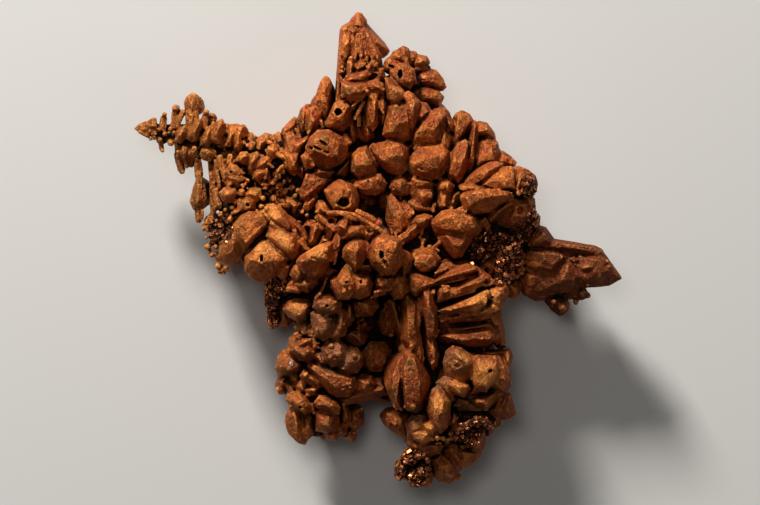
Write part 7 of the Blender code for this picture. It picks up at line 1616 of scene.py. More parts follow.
# The lobe at the south-east foot: a square hopper crystal among blocks and a drusy bar.
southEast = {
    "style": {"swell": 0.22},
    "gems": [
        (4.3, 0.6,
         [(5.6, -8.8), (8.0, -8.7), (10.4, -9.2), (10.6, -11.6), (9.8, -13.2), (7.6, -13.2), (5.6, -12.6),
          (4.6, -11.6)], [(6.0, -9.5), (9.5, -9.8), (9.5, -12.0), (6.5, -12.0)]),
        (6.5, 1.4,
         [(5.8, -8.5), (6.3, -8.1), (6.9, -8.3), (7.8, -8.9), (8.1, -9.6), (8.0, -10.4), (7.5, -10.9),
          (6.4, -10.8), (5.8, -10.2), (5.6, -9.4)],
         [(6.3, -8.6), (7.5, -9.1), (7.6, -9.9, -0.1), (7.0, -10.5, -0.2), (6.2, -9.8, -0.2)]),
        (6.7, 0.5,
         [(6.3, -8.6), (6.6, -8.35), (7.1, -8.7), (7.7, -9.3), (7.4, -9.6), (6.9, -9.2), (6.4, -9.0)],
         [(6.6, -8.6), (7.3, -9.3), (6.8, -9.0)]),
        (6.4, 0.9,
         [(6.0, -11.3), (6.1, -10.9), (6.6, -11.0), (7.4, -11.2), (7.5, -11.5), (7.1, -12.1),
          (6.4, -11.8)], [(6.3, -11.2), (7.2, -11.4), (6.9, -11.8)]),
        (5.9, 1.1,
         [(5.0, -11.1), (5.5, -10.7), (6.0, -10.6), (6.4, -10.9), (6.1, -11.6), (6.2, -12.4),
          (5.7, -12.1), (5.2, -11.6)], [(5.5, -11.0), (6.0, -10.9), (5.8, -11.7)]),
        (4.7, 1.1, [(6.3, -12.0), (7.1, -12.2), (7.7, -12.2), (7.7, -13.2), (6.8, -13.2), (6.2, -12.8)],
         [(6.8, -12.4), (7.4, -12.7)]),
        (6.9, 1.2,
         [(8.0, -9.0), (8.4, -8.9), (9.8, -8.9), (9.9, -9.6), (9.8, -10.4), (9.4, -10.9), (9.0, -11.6),
          (8.2, -11.5), (8.0, -10.6), (8.3, -9.9)],
         [(8.4, -9.2), (9.5, -9.2), (9.6, -10.1), (9.0, -11.1), (8.4, -11.0), (8.5, -10.1)]),
        (5.8, 1.3,
         [(9.8, -9.0), (10.3, -9.0), (10.8, -10.0), (11.0, -11.0), (10.7, -11.7), (9.8, -11.7),
          (9.2, -11.4), (9.7, -10.6)], [(10.1, -9.4), (10.5, -10.6), (10.2, -11.3), (9.8, -11.0)]),
        (5.5, 0.6, [(7.9, -11.6), (8.3, -11.5), (8.6, -11.7), (8.2, -11.85), (7.8, -11.85)],
         [(8.1, -11.65), (8.4, -11.7)]),
        (4.5, 1.0,
         [(10.5, -9.0), (10.7, -8.4), (10.95, -8.3), (11.15, -8.9), (11.0, -9.6), (10.8, -9.9),
          (10.6, -9.5)], [(10.8, -8.8), (10.85, -9.4)]),
        (4.2, 1.0, [(8.6, -8.8), (9.0, -8.4), (10.0, -8.4), (10.6, -8.3), (10.6, -8.9), (9.8, -9.0)],
         [(9.2, -8.6), (10.2, -8.6)]),
        (5.6, 1.0,
         [(8.0, -12.5), (8.6, -12.3), (9.3, -12.0), (9.9, -11.7), (9.5, -12.6), (9.0, -13.2),
          (8.3, -12.9)], [(8.5, -12.6), (9.4, -12.2), (9.0, -12.8)]),
        (5.1, 1.0, [(9.8, -11.7), (10.5, -11.9), (10.3, -12.2), (9.8, -12.5), (9.4, -12.7), (9.6, -12.1)],
         [(10.0, -12.0), (10.2, -12.0)]),
        (4.6, 1.1,
         [(9.5, -12.4), (10.3, -12.0), (11.0, -12.1), (11.15, -13.0), (11.4, -13.6), (10.7, -14.0),
          (10.0, -13.9), (9.3, -13.3)],
         [(10.2, -12.5), (10.8, -12.6), (10.9, -13.4, -0.2), (10.0, -13.3)]),
        (7.1, 1.7,
         [(4.2, -12.5), (4.5, -11.8), (4.9, -11.5), (5.5, -12.0), (5.9, -12.7), (5.85, -13.8),
          (5.7, -14.6), (5.2, -15.1), (4.6, -14.9), (4.4, -13.8), (4.2, -13.2)],
         [(4.7, -12.3), (5.3, -12.5), (5.4, -13.8), (5.1, -14.5), (4.7, -14.0)]),
        (5.7, 1.3,
         [(2.5, -14.4), (3.0, -13.8), (3.6, -13.4), (4.3, -13.6), (4.5, -14.3), (4.0, -15.0),
          (3.1, -15.6), (2.6, -15.3)], [(3.1, -14.2), (3.9, -13.9), (3.8, -14.6), (3.0, -14.9)]),
        (6.2, 0.8, [(3.6, -14.5), (4.4, -14.3), (4.8, -14.9), (4.5, -15.2), (3.9, -15.0)],
         [(4.2, -14.55), (4.4, -14.9)]),
        (6.0, 0.9, [(3.0, -15.3), (3.6, -15.0), (4.3, -15.2), (4.2, -15.7), (3.7, -16.0), (3.2, -15.7)],
         [(3.4, -15.3), (4.0, -15.3), (3.7, -15.7)]),
        (4.6, 1.2,
         [(2.6, -15.5), (3.4, -16.1), (4.6, -16.0), (5.3, -16.3), (5.0, -16.9), (4.1, -17.1),
          (3.2, -16.9), (2.7, -16.2)], [(3.3, -16.3), (4.6, -16.4), (4.0, -16.8)]),
        (5.5, 0.8, [(6.0, -14.4), (6.3, -13.8), (6.55, -14.1), (6.3, -14.5)],
         [(6.25, -14.1), (6.3, -14.3)]),
        (4.4, 1.4, [(7.6, -16.1), (8.0, -15.4), (8.8, -15.3), (8.9, -16.1), (8.6, -16.7), (8.0, -16.6)],
         [(8.1, -16.1, 0.3), (8.5, -15.7)]),
        (3.6, 1.3,
         [(6.4, -16.9), (7.2, -16.5), (8.0, -16.7), (8.6, -16.8), (8.2, -17.5), (7.3, -18.1),
          (6.8, -17.9)], [(7.0, -16.9), (7.9, -17.0), (7.2, -17.5)]),
        (3.9, 0.9,
         [(5.6, -16.8), (6.0, -16.2), (6.6, -16.4), (6.9, -17.2), (7.0, -18.0), (6.4, -17.6),
          (5.9, -17.1)], [(6.1, -16.7), (6.6, -17.3)]),
        (3.9, 1.3,
         [(4.5, -17.5), (5.4, -17.0), (6.1, -17.3), (6.6, -18.1), (6.5, -18.9), (6.0, -19.4),
          (5.2, -19.2), (4.6, -18.5)], [(5.1, -17.6), (5.9, -17.8), (6.0, -18.7), (5.2, -18.5)]),
        (2.6, 1.4,
         [(0.4, -13.4), (1.4, -13.3), (2.3, -13.8), (2.6, -14.8), (2.4, -15.7), (1.6, -15.3),
          (0.7, -14.6), (0.3, -14.0)], [(1.0, -13.8), (1.9, -14.2), (1.9, -15.0), (1.0, -14.3)]),
        (2.7, 0.9, [(0.6, -14.2), (1.0, -13.9), (1.3, -14.3), (1.1, -14.7), (0.8, -14.7)],
         [(0.9, -14.2), (1.0, -14.5)]),
        (4.0, 1.2, [(2.2, -17.0), (2.7, -16.5), (3.1, -16.7), (3.5, -17.3), (3.0, -17.9), (2.4, -17.8)],
         [(2.6, -17.0), (3.0, -17.2), (2.7, -17.6)]),
        (3.4, 1.1, [(1.5, -18.2), (1.9, -17.6), (2.3, -17.9), (2.4, -18.6), (2.1, -19.1), (1.6, -18.9)],
         [(1.8, -18.1), (2.1, -18.6)]),
        (3.7, 1.3,
         [(2.6, -18.6), (3.1, -18.0), (4.0, -17.8), (4.5, -18.4), (4.4, -19.1), (4.3, -19.6),
          (3.2, -19.7), (2.7, -19.3)], [(3.1, -18.5), (4.0, -18.4), (3.9, -19.1), (3.1, -19.2)]),
    ],
    "rods": [
        ((3.5, -17.1, 3.8), (4.3, -17.6, 3.4), 0.5), ((10.7, -12.2, 4.8), (10.4, -12.9, 4.8), 0.2),
        ((9.9, -9.2, 5.9), (10.6, -10.8, 5.6), 0.3), ((6.2, -15.2, 5.0), (7.4, -14.8, 5.0), 0.5),
        ((7.3, -14.7, 5.0), (8.4, -14.1, 5.0), 0.6), ((8.3, -14.1, 5.0), (9.5, -14.7, 4.6), 0.6),
    ],
    "balls": [
        (4.95, -15.6, 5.8, 0.55), (5.4, -15.65, 5.8, 0.5), (6.35, -15.6, 5.4, 0.55),
        (6.0, -15.3, 5.2, 0.4), (6.8, -19.0, 2.8, 0.6), (1.9, -18.9, 3.0, 0.6), (3.3, -17.2, 4.2, 0.5),
        (2.5, -17.5, 4.2, 0.7), (3.5, -18.5, 3.9, 0.8), (2.8, -18.8, 3.6, 0.6), (4.2, -18.3, 3.5, 0.6),
        (3.0, -19.4, 3.2, 0.6), (4.1, -19.4, 3.1, 0.6), (4.5, -15.7, 5.3, 0.5), (10.9, -12.3, 4.5, 0.5),
        (9.3, -14.5, 4.7, 0.5),
    ],
    "rubble": [
        (7.0, -14.7, 0.9, 0.35, 5.0, 0.32, 22), (8.6, -14.3, 0.9, 0.35, 4.9, 0.32, 22),
        (7.6, -15.4, 1.1, 0.5, 4.3, 0.35, 18), (5.6, -15.9, 0.9, 0.3, 4.8, 0.35, 12),
        (3.5, -18.8, 0.9, 0.7, 3.6, 0.4, 26), (1.9, -18.4, 0.35, 0.5, 3.2, 0.35, 10),
        (2.7, -17.2, 0.5, 0.5, 4.0, 0.32, 14), (5.9, -9.4, 0.4, 0.7, 5.9, 0.3, 10),
        (7.7, -10.1, 0.3, 0.6, 5.9, 0.3, 10), (6.8, -12.7, 0.5, 0.4, 4.4, 0.35, 9),
        (7.2, -16.1, 0.4, 0.4, 3.8, 0.35, 8), (3.6, -14.0, 0.5, 0.4, 5.5, 0.28, 8),
    ],
    "grooves": [
        ((6.3, -9.7), (7.4, -9.9), 0.12, 0.2, 6.6), ((9.9, -10.4), (10.5, -10.9), 0.12, 0.3, 5.9),
        ((4.4, -12.8), (5.0, -12.9), 0.08, 0.15, 7.1), ((8.2, -11.2), (8.5, -11.4), 0.2, 0.5, 6.9),
        ((8.5, -10.0), (8.7, -11.2), 0.06, 0.1, 7.0), ((5.8, -17.2), (6.4, -18.2), 0.12, 0.3, 4.0),
        ((8.0, -15.6), (8.5, -16.5), 0.08, 0.2, 4.8), ((4.9, -12.0), (5.7, -12.7), 0.08, 0.15, 7.1),
    ],
    "pits": [
        (9.35, -10.0, 0.25, 0.24, 7.0, 0.8), (9.1, -9.85, 0.12, 0.1, 7.0, 0.4),
        (6.6, -9.6, 0.35, 0.25, 6.5, 0.15), (8.3, -9.3, 0.08, 0.08, 7.0, 0.15),
        (8.6, -10.8, 0.08, 0.08, 7.0, 0.15), (7.6, -14.8, 0.2, 0.15, 5.1, 0.4),
    ],
}
growPiece("southEast", southEast, 32)


# The greyish lobe at the south-west foot, with a long wedge across it and leaf-shaped tips.
southWest = {
    "gems": [
        (3.0, 0.8,
         [(-1.2, -8.6), (-0.6, -7.8), (0.4, -7.8), (1.0, -8.4), (1.0, -9.4), (0.4, -10.0), (-0.6, -10.0),
          (-1.2, -9.4)], [(-0.5, -8.3), (0.4, -8.4), (0.3, -9.4), (-0.5, -9.4)]),
        (4.9, 1.3,
         [(-7.8, -4.9), (-7.4, -4.3), (-6.8, -4.15), (-6.0, -4.2), (-5.5, -4.7), (-5.7, -5.0),
          (-6.0, -5.8), (-6.6, -5.8), (-7.3, -5.5)],
         [(-7.4, -4.8), (-6.8, -4.5), (-6.0, -4.6), (-6.2, -5.3), (-6.9, -5.4, -0.1)]),
        (6.4, 1.1,
         [(-5.3, -4.7), (-5.1, -4.0), (-4.6, -3.8), (-4.0, -3.75), (-3.4, -3.9), (-3.15, -4.5),
          (-3.4, -5.1), (-4.0, -5.2), (-4.9, -5.0)],
         [(-4.9, -4.3), (-4.0, -4.1), (-3.5, -4.4), (-3.8, -4.9), (-4.7, -4.8)]),
        (5.7, 1.2,
         [(-5.5, -5.3), (-4.9, -5.0), (-4.1, -5.1), (-3.7, -5.6), (-3.6, -6.5), (-4.0, -7.2),
          (-4.6, -7.4), (-5.1, -7.0), (-5.4, -6.2)],
         [(-4.9, -5.5), (-4.2, -5.6), (-4.2, -6.5), (-4.7, -6.8)]),
        (5.5, 0.9,
         [(-3.4, -5.2), (-3.1, -4.9), (-2.75, -5.2), (-2.6, -6.0), (-2.8, -6.9), (-3.4, -7.3),
          (-3.9, -7.2), (-3.5, -6.4)], [(-3.1, -5.2), (-3.0, -6.2), (-3.3, -6.9)]),
        (4.8, 0.9,
         [(-2.7, -4.6), (-2.3, -4.3), (-2.05, -4.6), (-2.1, -5.6), (-2.4, -6.2), (-2.7, -6.1),
          (-2.7, -5.3)], [(-2.4, -4.8), (-2.4, -5.8)]),
        (3.0, 1.1,
         [(-2.9, -7.1), (-2.4, -6.7), (-1.6, -6.6), (-1.1, -7.2), (-1.2, -7.8), (-1.8, -7.9),
          (-2.5, -7.5)], [(-2.2, -7.0), (-1.6, -7.1), (-1.6, -7.5)]),
        (1.9, 1.6,
         [(-1.3, -8.6), (-0.6, -7.9), (0.4, -7.9), (0.8, -8.9), (0.6, -9.8), (-0.4, -10.1), (-1.1, -9.7)],
         [(-0.7, -8.6), (0.2, -8.7), (0.0, -9.6), (-0.7, -9.4)]),
        (4.9, 1.2,
         [(-7.3, -8.4), (-7.0, -7.9), (-6.4, -7.6), (-5.9, -7.5), (-5.3, -8.2), (-5.2, -8.9),
          (-5.8, -9.2), (-6.5, -9.0), (-7.0, -8.7)],
         [(-6.7, -8.2), (-6.0, -7.9), (-5.7, -8.5), (-6.2, -8.8)]),
        (5.0, 0.5, [(-6.5, -7.9), (-6.2, -7.5), (-5.7, -7.45), (-5.8, -7.8), (-6.3, -8.0)],
         [(-6.2, -7.7), (-5.9, -7.6)]),
        (4.1, 0.9,
         [(-6.9, -6.4), (-6.6, -6.0), (-6.0, -6.2), (-5.4, -5.9), (-5.3, -6.6), (-5.8, -7.1),
          (-6.5, -7.0)], [(-6.5, -6.4), (-5.8, -6.4)]),
        (4.3, 0.9, [(-6.0, -6.9), (-5.4, -6.6), (-5.0, -7.2), (-4.9, -8.2), (-5.3, -8.4), (-5.7, -7.6)],
         [(-5.5, -7.0), (-5.2, -7.8)]),
        (3.4, 1.0, [(-7.5, -8.2), (-7.3, -7.4), (-6.9, -6.9), (-6.5, -7.2), (-6.7, -7.8), (-7.1, -8.3)],
         [(-7.1, -7.8), (-6.8, -7.4)]),
        (5.2, 1.0,
         [(-4.6, -8.2), (-4.2, -7.6), (-3.4, -7.5), (-2.8, -8.0), (-2.6, -8.7), (-3.0, -9.3),
          (-3.8, -9.6), (-4.4, -9.1)], [(-4.0, -8.0), (-3.3, -8.0), (-3.1, -8.8), (-4.0, -9.0)]),
        (4.8, 1.0,
         [(-3.4, -9.6), (-2.9, -8.9), (-2.4, -8.1), (-1.8, -8.3), (-1.4, -8.9), (-1.4, -9.5),
          (-1.8, -10.1), (-2.5, -10.2), (-3.2, -10.0)],
         [(-2.9, -9.6), (-2.3, -8.6), (-1.7, -8.9), (-1.8, -9.7), (-2.5, -9.9)]),
        (4.6, 0.8, [(-5.3, -8.9), (-4.9, -8.6), (-4.5, -9.1), (-4.4, -9.5), (-4.9, -9.5)],
         [(-4.9, -8.9), (-4.7, -9.3)]),
        (4.0, 1.2,
         [(-8.5, -9.8), (-8.3, -9.0), (-7.9, -8.5), (-7.4, -8.4), (-7.2, -8.9), (-6.4, -9.5),
          (-6.7, -10.0), (-7.5, -10.3), (-8.2, -10.5)],
         [(-8.0, -9.5), (-7.6, -9.0), (-6.9, -9.5), (-7.4, -10.0)]),
        (2.9, 1.0,
         [(-8.5, -11.2), (-8.2, -10.5), (-7.8, -10.1), (-7.5, -10.5), (-7.9, -11.0), (-7.8, -11.9),
          (-8.3, -11.9)], [(-8.1, -11.0), (-7.8, -10.5), (-8.1, -11.6, -0.2)]),
        (3.3, 0.8, [(-7.6, -10.6), (-7.2, -10.2), (-6.6, -10.4), (-6.7, -11.0), (-7.3, -11.1)],
         [(-7.2, -10.5), (-6.9, -10.8)]),
        (4.0, 0.8,
         [(-6.4, -10.5), (-6.2, -10.0), (-5.7, -10.1), (-5.1, -10.6), (-4.7, -11.1), (-4.9, -11.4),
          (-5.6, -11.2), (-6.2, -10.9)], [(-6.1, -10.4), (-5.5, -10.6), (-5.0, -11.1)]),
        (3.7, 0.8, [(-6.9, -11.3), (-6.5, -11.0), (-6.1, -11.3), (-6.1, -11.8), (-6.6, -11.8)],
         [(-6.5, -11.2), (-6.3, -11.6)]),
        (3.8, 0.7, [(-6.0, -11.7), (-5.5, -11.4), (-5.0, -11.4), (-5.3, -11.9), (-5.8, -12.1)],
         [(-5.6, -11.6), (-5.3, -11.7)]),
        (4.9, 1.1,
         [(-5.8, -9.7), (-5.4, -9.4), (-4.4, -9.8), (-3.2, -10.4), (-2.1, -10.6), (-2.05, -11.5),
          (-2.5, -12.1), (-3.5, -12.1), (-4.1, -11.7), (-4.8, -10.9), (-5.4, -10.2)],
         [(-5.3, -9.8), (-4.0, -10.3), (-2.6, -10.9), (-2.6, -11.3), (-3.6, -11.2), (-4.6, -10.5)]),
        (4.0, 1.1,
         [(-2.0, -10.8), (-1.4, -10.5), (-0.7, -10.6), (-0.3, -11.2), (-0.5, -11.7), (-1.4, -11.8),
          (-1.9, -11.5)], [(-1.6, -10.9), (-0.8, -11.0), (-0.9, -11.5), (-1.6, -11.4)]),
        (3.2, 1.2,
         [(-3.4, -12.1), (-2.6, -11.6), (-0.6, -11.6), (0.8, -11.0), (1.0, -12.0), (0.0, -12.2),
          (-1.4, -12.6), (-2.8, -12.9)], [(-2.4, -12.0), (-0.6, -11.9), (0.4, -11.6)]),
        (3.0, 1.0, [(-0.3, -10.9), (0.4, -10.7), (1.0, -11.2), (0.9, -12.0), (0.1, -12.1), (-0.2, -11.7)],
         [(0.1, -11.2), (0.6, -11.5)]),
        (4.0, 1.0,
         [(-7.6, -12.5), (-7.4, -12.1), (-6.7, -11.9), (-6.1, -12.2), (-5.8, -12.8), (-5.6, -13.4),
          (-6.2, -13.6), (-6.7, -13.2), (-7.2, -13.0)],
         [(-7.2, -12.4), (-6.5, -12.2), (-6.1, -12.8), (-6.3, -13.3), (-6.9, -12.8)]),
        (3.3, 1.1,
         [(-7.3, -13.2), (-6.8, -13.2), (-6.4, -13.8), (-6.3, -14.8), (-6.4, -15.7), (-6.2, -16.2),
          (-6.8, -15.9), (-7.4, -15.2), (-7.65, -14.4), (-7.6, -13.8)],
         [(-7.0, -13.6), (-6.8, -14.6), (-6.7, -15.6, -0.3)]),
        (3.1, 0.9,
         [(-6.2, -13.5), (-5.7, -13.4), (-5.4, -14.0), (-5.5, -15.2), (-5.9, -15.8), (-6.2, -15.6),
          (-6.35, -14.8)], [(-5.9, -13.8), (-5.8, -15.0), (-6.0, -15.5, -0.2)]),
        (4.6, 0.9,
         [(-5.2, -12.6), (-4.9, -12.2), (-4.3, -12.3), (-3.6, -12.7), (-3.3, -13.1), (-3.4, -13.6),
          (-4.1, -13.4), (-5.0, -13.1)], [(-4.8, -12.6), (-4.0, -12.8), (-3.7, -13.2)]),
        (3.9, 1.2,
         [(-5.1, -13.3), (-4.3, -13.4), (-3.5, -13.6), (-3.4, -14.4), (-3.7, -15.0), (-4.4, -15.1),
          (-5.1, -15.0), (-5.1, -14.2)], [(-4.6, -13.7), (-3.9, -14.0), (-4.1, -14.6), (-4.8, -14.5)]),
        (2.9, 1.0, [(-3.6, -14.6), (-2.6, -14.5), (-2.8, -15.3), (-3.5, -15.6), (-3.9, -15.2)],
         [(-3.3, -14.9), (-3.1, -15.2)]),
        (2.6, 0.9, [(-4.5, -15.2), (-4.0, -15.1), (-3.5, -15.4), (-3.6, -15.85), (-4.2, -15.7)],
         [(-4.1, -15.4), (-3.7, -15.6)]),
        (2.2, 1.1, [(-3.3, -13.2), (-2.6, -13.0), (-2.4, -14.0), (-2.7, -14.8), (-3.4, -14.3)],
         [(-2.9, -13.6), (-2.8, -14.4)]),
        (1.6, 1.1,
         [(-2.6, -13.2), (-1.9, -13.0), (-1.3, -13.4), (-1.3, -14.5), (-1.9, -15.0), (-2.5, -14.8)],
         [(-2.1, -13.5), (-1.7, -13.9), (-2.0, -14.6)]),
        (1.4, 0.8, [(-2.9, -15.0), (-2.2, -15.0), (-1.9, -15.5), (-2.2, -16.0), (-2.8, -15.7)],
         [(-2.4, -15.3), (-2.3, -15.7)]),
        (3.3, 1.2, [(-8.9, -2.4), (-8.2, -2.2), (-7.4, -2.6), (-7.0, -3.3), (-7.8, -3.7), (-8.6, -3.5)],
         [(-8.3, -2.7), (-7.6, -3.1)]),
        (2.5, 1.1, [(-9.2, -3.3), (-8.6, -3.2), (-8.1, -3.9), (-8.2, -4.8), (-8.9, -5.0), (-9.4, -4.6)],
         [(-8.9, -3.8), (-8.5, -4.4)]),
        (2.1, 1.0, [(-9.2, -5.3), (-8.8, -4.9), (-8.3, -5.3), (-8.3, -6.1), (-8.7, -6.4), (-9.2, -6.1)],
         [(-8.9, -5.4), (-8.7, -5.9)]),
        (2.4, 1.3,
         [(-8.3, -3.9), (-7.6, -4.0), (-7.3, -5.0), (-7.4, -5.8), (-7.6, -6.2), (-8.2, -6.2),
          (-8.4, -5.2)], [(-7.9, -4.5), (-7.9, -5.6)]),
    ],
    "rods": [
        ((-4.1, -4.7, 6.3), (-3.4, -4.2, 6.2), 0.3), ((-5.2, -4.0, 6.1), (-4.7, -3.5, 6.2), 0.3),
        ((-2.9, -9.9, 4.8), (-2.2, -9.0, 4.9), 0.45), ((-3.4, -11.4, 4.7), (-2.2, -11.1, 4.7), 0.3),
        ((-1.9, -13.6, 1.8), (-1.2, -13.2, 1.6), 0.3), ((-2.9, -12.9, 2.4), (-2.6, -14.2, 2.2), 0.3),
        ((-7.5, -11.2, 2.9), (-7.1, -11.9, 2.9), 0.35), ((-6.0, -12.1, 3.4), (-5.0, -12.0, 3.3), 0.4),
        ((-5.5, -12.8, 3.2), (-5.3, -13.8, 3.0), 0.35),
    ],
    "balls": [
        (-3.8, -15.5, 2.8, 0.55), (-2.0, -15.3, 1.6, 0.35), (-6.0, -10.4, 4.2, 0.6),
        (-4.5, -4.6, 6.4, 0.5), (-3.3, -8.6, 5.4, 0.7), (-4.0, -8.9, 5.3, 0.5), (-3.9, -8.0, 5.3, 0.6),
        (-2.0, -8.8, 5.0, 0.5), (-8.3, -11.6, 2.7, 0.6), (-7.3, -13.0, 3.4, 0.5),
    ],
    "rubble": [
        (-4.5, -6.1, 0.7, 0.8, 5.6, 0.34, 24), (-5.8, -6.7, 0.8, 0.5, 4.2, 0.34, 22),
        (-6.6, -7.3, 0.5, 0.5, 4.0, 0.34, 14), (-5.2, -7.5, 0.4, 0.7, 4.4, 0.32, 12),
        (-3.7, -8.6, 0.7, 0.7, 5.2, 0.3, 14), (-7.3, -11.2, 0.6, 0.5, 2.9, 0.35, 16),
        (-8.7, -3.6, 0.7, 0.8, 2.7, 0.4, 30), (-8.8, -5.2, 0.4, 0.9, 2.1, 0.38, 24),
        (-7.8, -3.0, 0.7, 0.4, 3.3, 0.36, 16), (-5.9, -8.5, 0.5, 0.4, 4.8, 0.28, 8),
        (-4.4, -14.1, 0.6, 0.6, 3.8, 0.28, 8), (-3.1, -5.9, 0.25, 0.8, 5.4, 0.26, 9),
        (-2.0, -14.2, 0.5, 0.7, 1.6, 0.4, 12), (-2.4, -9.3, 0.6, 0.6, 4.7, 0.26, 9),
        (-6.9, -12.5, 0.5, 0.3, 3.95, 0.26, 8), (-2.8, -11.3, 0.6, 0.35, 4.8, 0.26, 9),
        (-7.8, -9.9, 0.4, 0.4, 3.8, 0.28, 7),
    ],
    "grooves": [
        ((-7.5, -8.6), (-6.0, -9.2), 0.3, 1.0, 4.6), ((-5.4, -10.2), (-3.9, -11.9), 0.14, 0.4, 4.8),
        ((-4.4, -10.7), (-2.3, -11.0), 0.06, 0.12, 4.9), ((-7.2, -12.8), (-6.4, -12.9), 0.1, 0.3, 4.0),
        ((-6.2, -13.9), (-6.3, -15.4), 0.12, 0.5, 3.3), ((-4.5, -14.7), (-3.6, -15.0), 0.12, 0.4, 3.6),
        ((-2.6, -8.5), (-2.9, -9.4), 0.1, 0.3, 5.0), ((-6.9, -14.0), (-6.7, -15.4), 0.06, 0.1, 3.4),
        ((-7.2, -4.6), (-6.0, -4.5), 0.05, 0.08, 4.9), ((-5.8, -14.0), (-5.9, -15.3), 0.06, 0.1, 3.2),
    ],
    "pits": [
        (-4.25, -4.6, 0.22, 0.16, 6.5, 0.6), (-6.5, -13.1, 0.22, 0.18, 4.1, 0.6),
        (-6.2, -7.2, 0.3, 0.2, 4.3, 0.5), (-4.0, -15.2, 0.25, 0.2, 3.3, 0.5),
        (-1.3, -11.2, 0.15, 0.2, 4.1, 0.1),
    ],
}
growPiece("southWest", southWest, 33)


# Druse grows over the upward faces inside its patches. A patch has a middle, half sizes and the size
# of its grains, which are a little coarser than the real ones.
druse = {
    "patches": [
        (9.6, 0.3, 1.6, 1.3, 0.34), (8.4, -0.4, 0.9, 0.9, 0.3), (10.9, -0.6, 1.2, 1.6, 0.34),
        (11.9, 1.3, 1.0, 1.1, 0.3), (12.9, 2.4, 0.5, 1.1, 0.28), (12.6, 5.4, 0.6, 1.0, 0.26),
        (-8.7, -3.8, 0.8, 1.5, 0.3), (-8.8, -5.5, 0.5, 0.9, 0.3), (2.9, -18.2, 1.5, 1.6, 0.34),
        (8.2, -14.5, 1.6, 0.6, 0.28), (7.4, -15.6, 1.2, 0.8, 0.28), (-7.5, -10.9, 0.5, 0.4, 0.26),
        (10.4, -2.2, 0.9, 0.7, 0.3), (-13.2, 1.6, 1.2, 1.1, 0.26),
    ],
    "perSquareMm": 19.0, "least": 0.45, "most": 1.15, "seed": 7,
    "side": 0.85, "stretchLeast": (0.6, 0.6, 0.8), "stretchMost": (1.1, 1.1, 1.5),
    # bedShade is the painted shade on the bed between the grains
    "facing": 0.1, "bedShade": 0.5,
}


def druseTree():
    tree, given, result = nodeTree("druseGrains", [
        ("Per square mm", "NodeSocketFloat", druse["perSquareMm"]),
        ("Least", "NodeSocketFloat", druse["least"]), ("Most", "NodeSocketFloat", druse["most"]),
        ("Seed", "NodeSocketInt", druse["seed"]), ("Material", "NodeSocketMaterial", None)])
    size = addNode(tree, "GeometryNodeInputNamedAttribute", {"data_type": "FLOAT"},
                   {"Name": "grain"}).outputs[0]
    amount = addNode(tree, "ShaderNodeMath", {"operation": "DIVIDE"},
                     {0: given.outputs["Per square mm"], 1: mm * mm}).outputs[0]
    spots = addNode(tree, "GeometryNodeDistributePointsOnFaces", links={
        "Mesh": given.outputs[0], "Density": amount, "Seed": given.outputs["Seed"]})
    cube = addNode(tree, "GeometryNodeMeshCube", links={"Size": (druse["side"],) * 3}).outputs[0]
    turn = addNode(tree, "FunctionNodeRandomValue", {"data_type": "FLOAT_VECTOR"},
                   {"Max": (math.tau,) * 3, "Seed": given.outputs["Seed"]}).outputs[0]
    stretch = addNode(tree, "FunctionNodeRandomValue", {"data_type": "FLOAT_VECTOR"}, {
        "Min": druse["stretchLeast"], "Max": druse["stretchMost"], "Seed": given.outputs["Seed"]}).outputs[0]
    factor = addNode(tree, "FunctionNodeRandomValue", {"data_type": "FLOAT"}, {
        2: given.outputs["Least"], 3: given.outputs["Most"], "Seed": given.outputs["Seed"]}).outputs[1]
    width = addNode(tree, "ShaderNodeMath", {"operation": "MULTIPLY"}, {0: size, 1: factor}).outputs[0]
    metres = addNode(tree, "ShaderNodeMath", {"operation": "MULTIPLY"}, {0: width, 1: mm}).outputs[0]
    scale = addNode(tree, "ShaderNodeVectorMath", {"operation": "SCALE"},
                    {0: stretch, "Scale": metres}).outputs[0]
    grains = addNode(tree, "GeometryNodeInstanceOnPoints", links={
        "Points": spots.outputs[0], "Instance": cube, "Scale": scale})
    turned = addNode(tree, "GeometryNodeRotateInstances",
                     links={"Instances": grains.outputs[0], "Rotation": turn})
    realized = addNode(tree, "GeometryNodeRealizeInstances", links={0: turned.outputs[0]})
    dressed = addNode(tree, "GeometryNodeSetMaterial",
                      links={"Geometry": realized.outputs[0], "Material": given.outputs["Material"]})
    tree.links.new(dressed.outputs[0], result.inputs[0])
    return tree


def inPatch(patch, places):
    cx, cy, rx, ry, _ = patch
    return ((places[:, 0] - cx) / rx) ** 2 + ((places[:, 1] - cy) / ry) ** 2 < 1


# The faces that the grains grow on, taken from every piece made so far.
def druseBed():
    corners, faces, sizes = [], [], []
    for mesh in pieces.values():
        count = len(mesh.polygons)
        centres = numpy.empty(count * 3)
        mesh.polygons.foreach_get("center", centres)
        normals = numpy.empty(count * 3)
        mesh.polygons.foreach_get("normal", normals)
        centres = centres.reshape(-1, 3) / mm
        up = normals.reshape(-1, 3)[:, 2] > druse["facing"]
        for patch in druse["patches"]:
            for number in numpy.nonzero(inPatch(patch, centres) & up)[0]:
                first = len(corners)
                spots = [tuple(mesh.vertices[index].co) for index in mesh.polygons[number].vertices]
                corners += spots
                faces.append(tuple(range(first, first + len(spots))))
                sizes += [patch[4]] * len(spots)
    bed = bpy.data.meshes.new("druseBed")
    bed.from_pydata(corners, [], faces)
    kept = bed.attributes.new("grain", "FLOAT", "POINT")
    kept.data.foreach_set("value", sizes)
    return bed


def growDruse():
    made = putObject("druse", druseBed())
    giveNodes(made, druseTree(), {})
    mesh = plainMesh(made, "druse")
    clearBench()
    pieces["druse"] = mesh
    print(f"druse: {len(mesh.polygons)} faces")


growDruse()
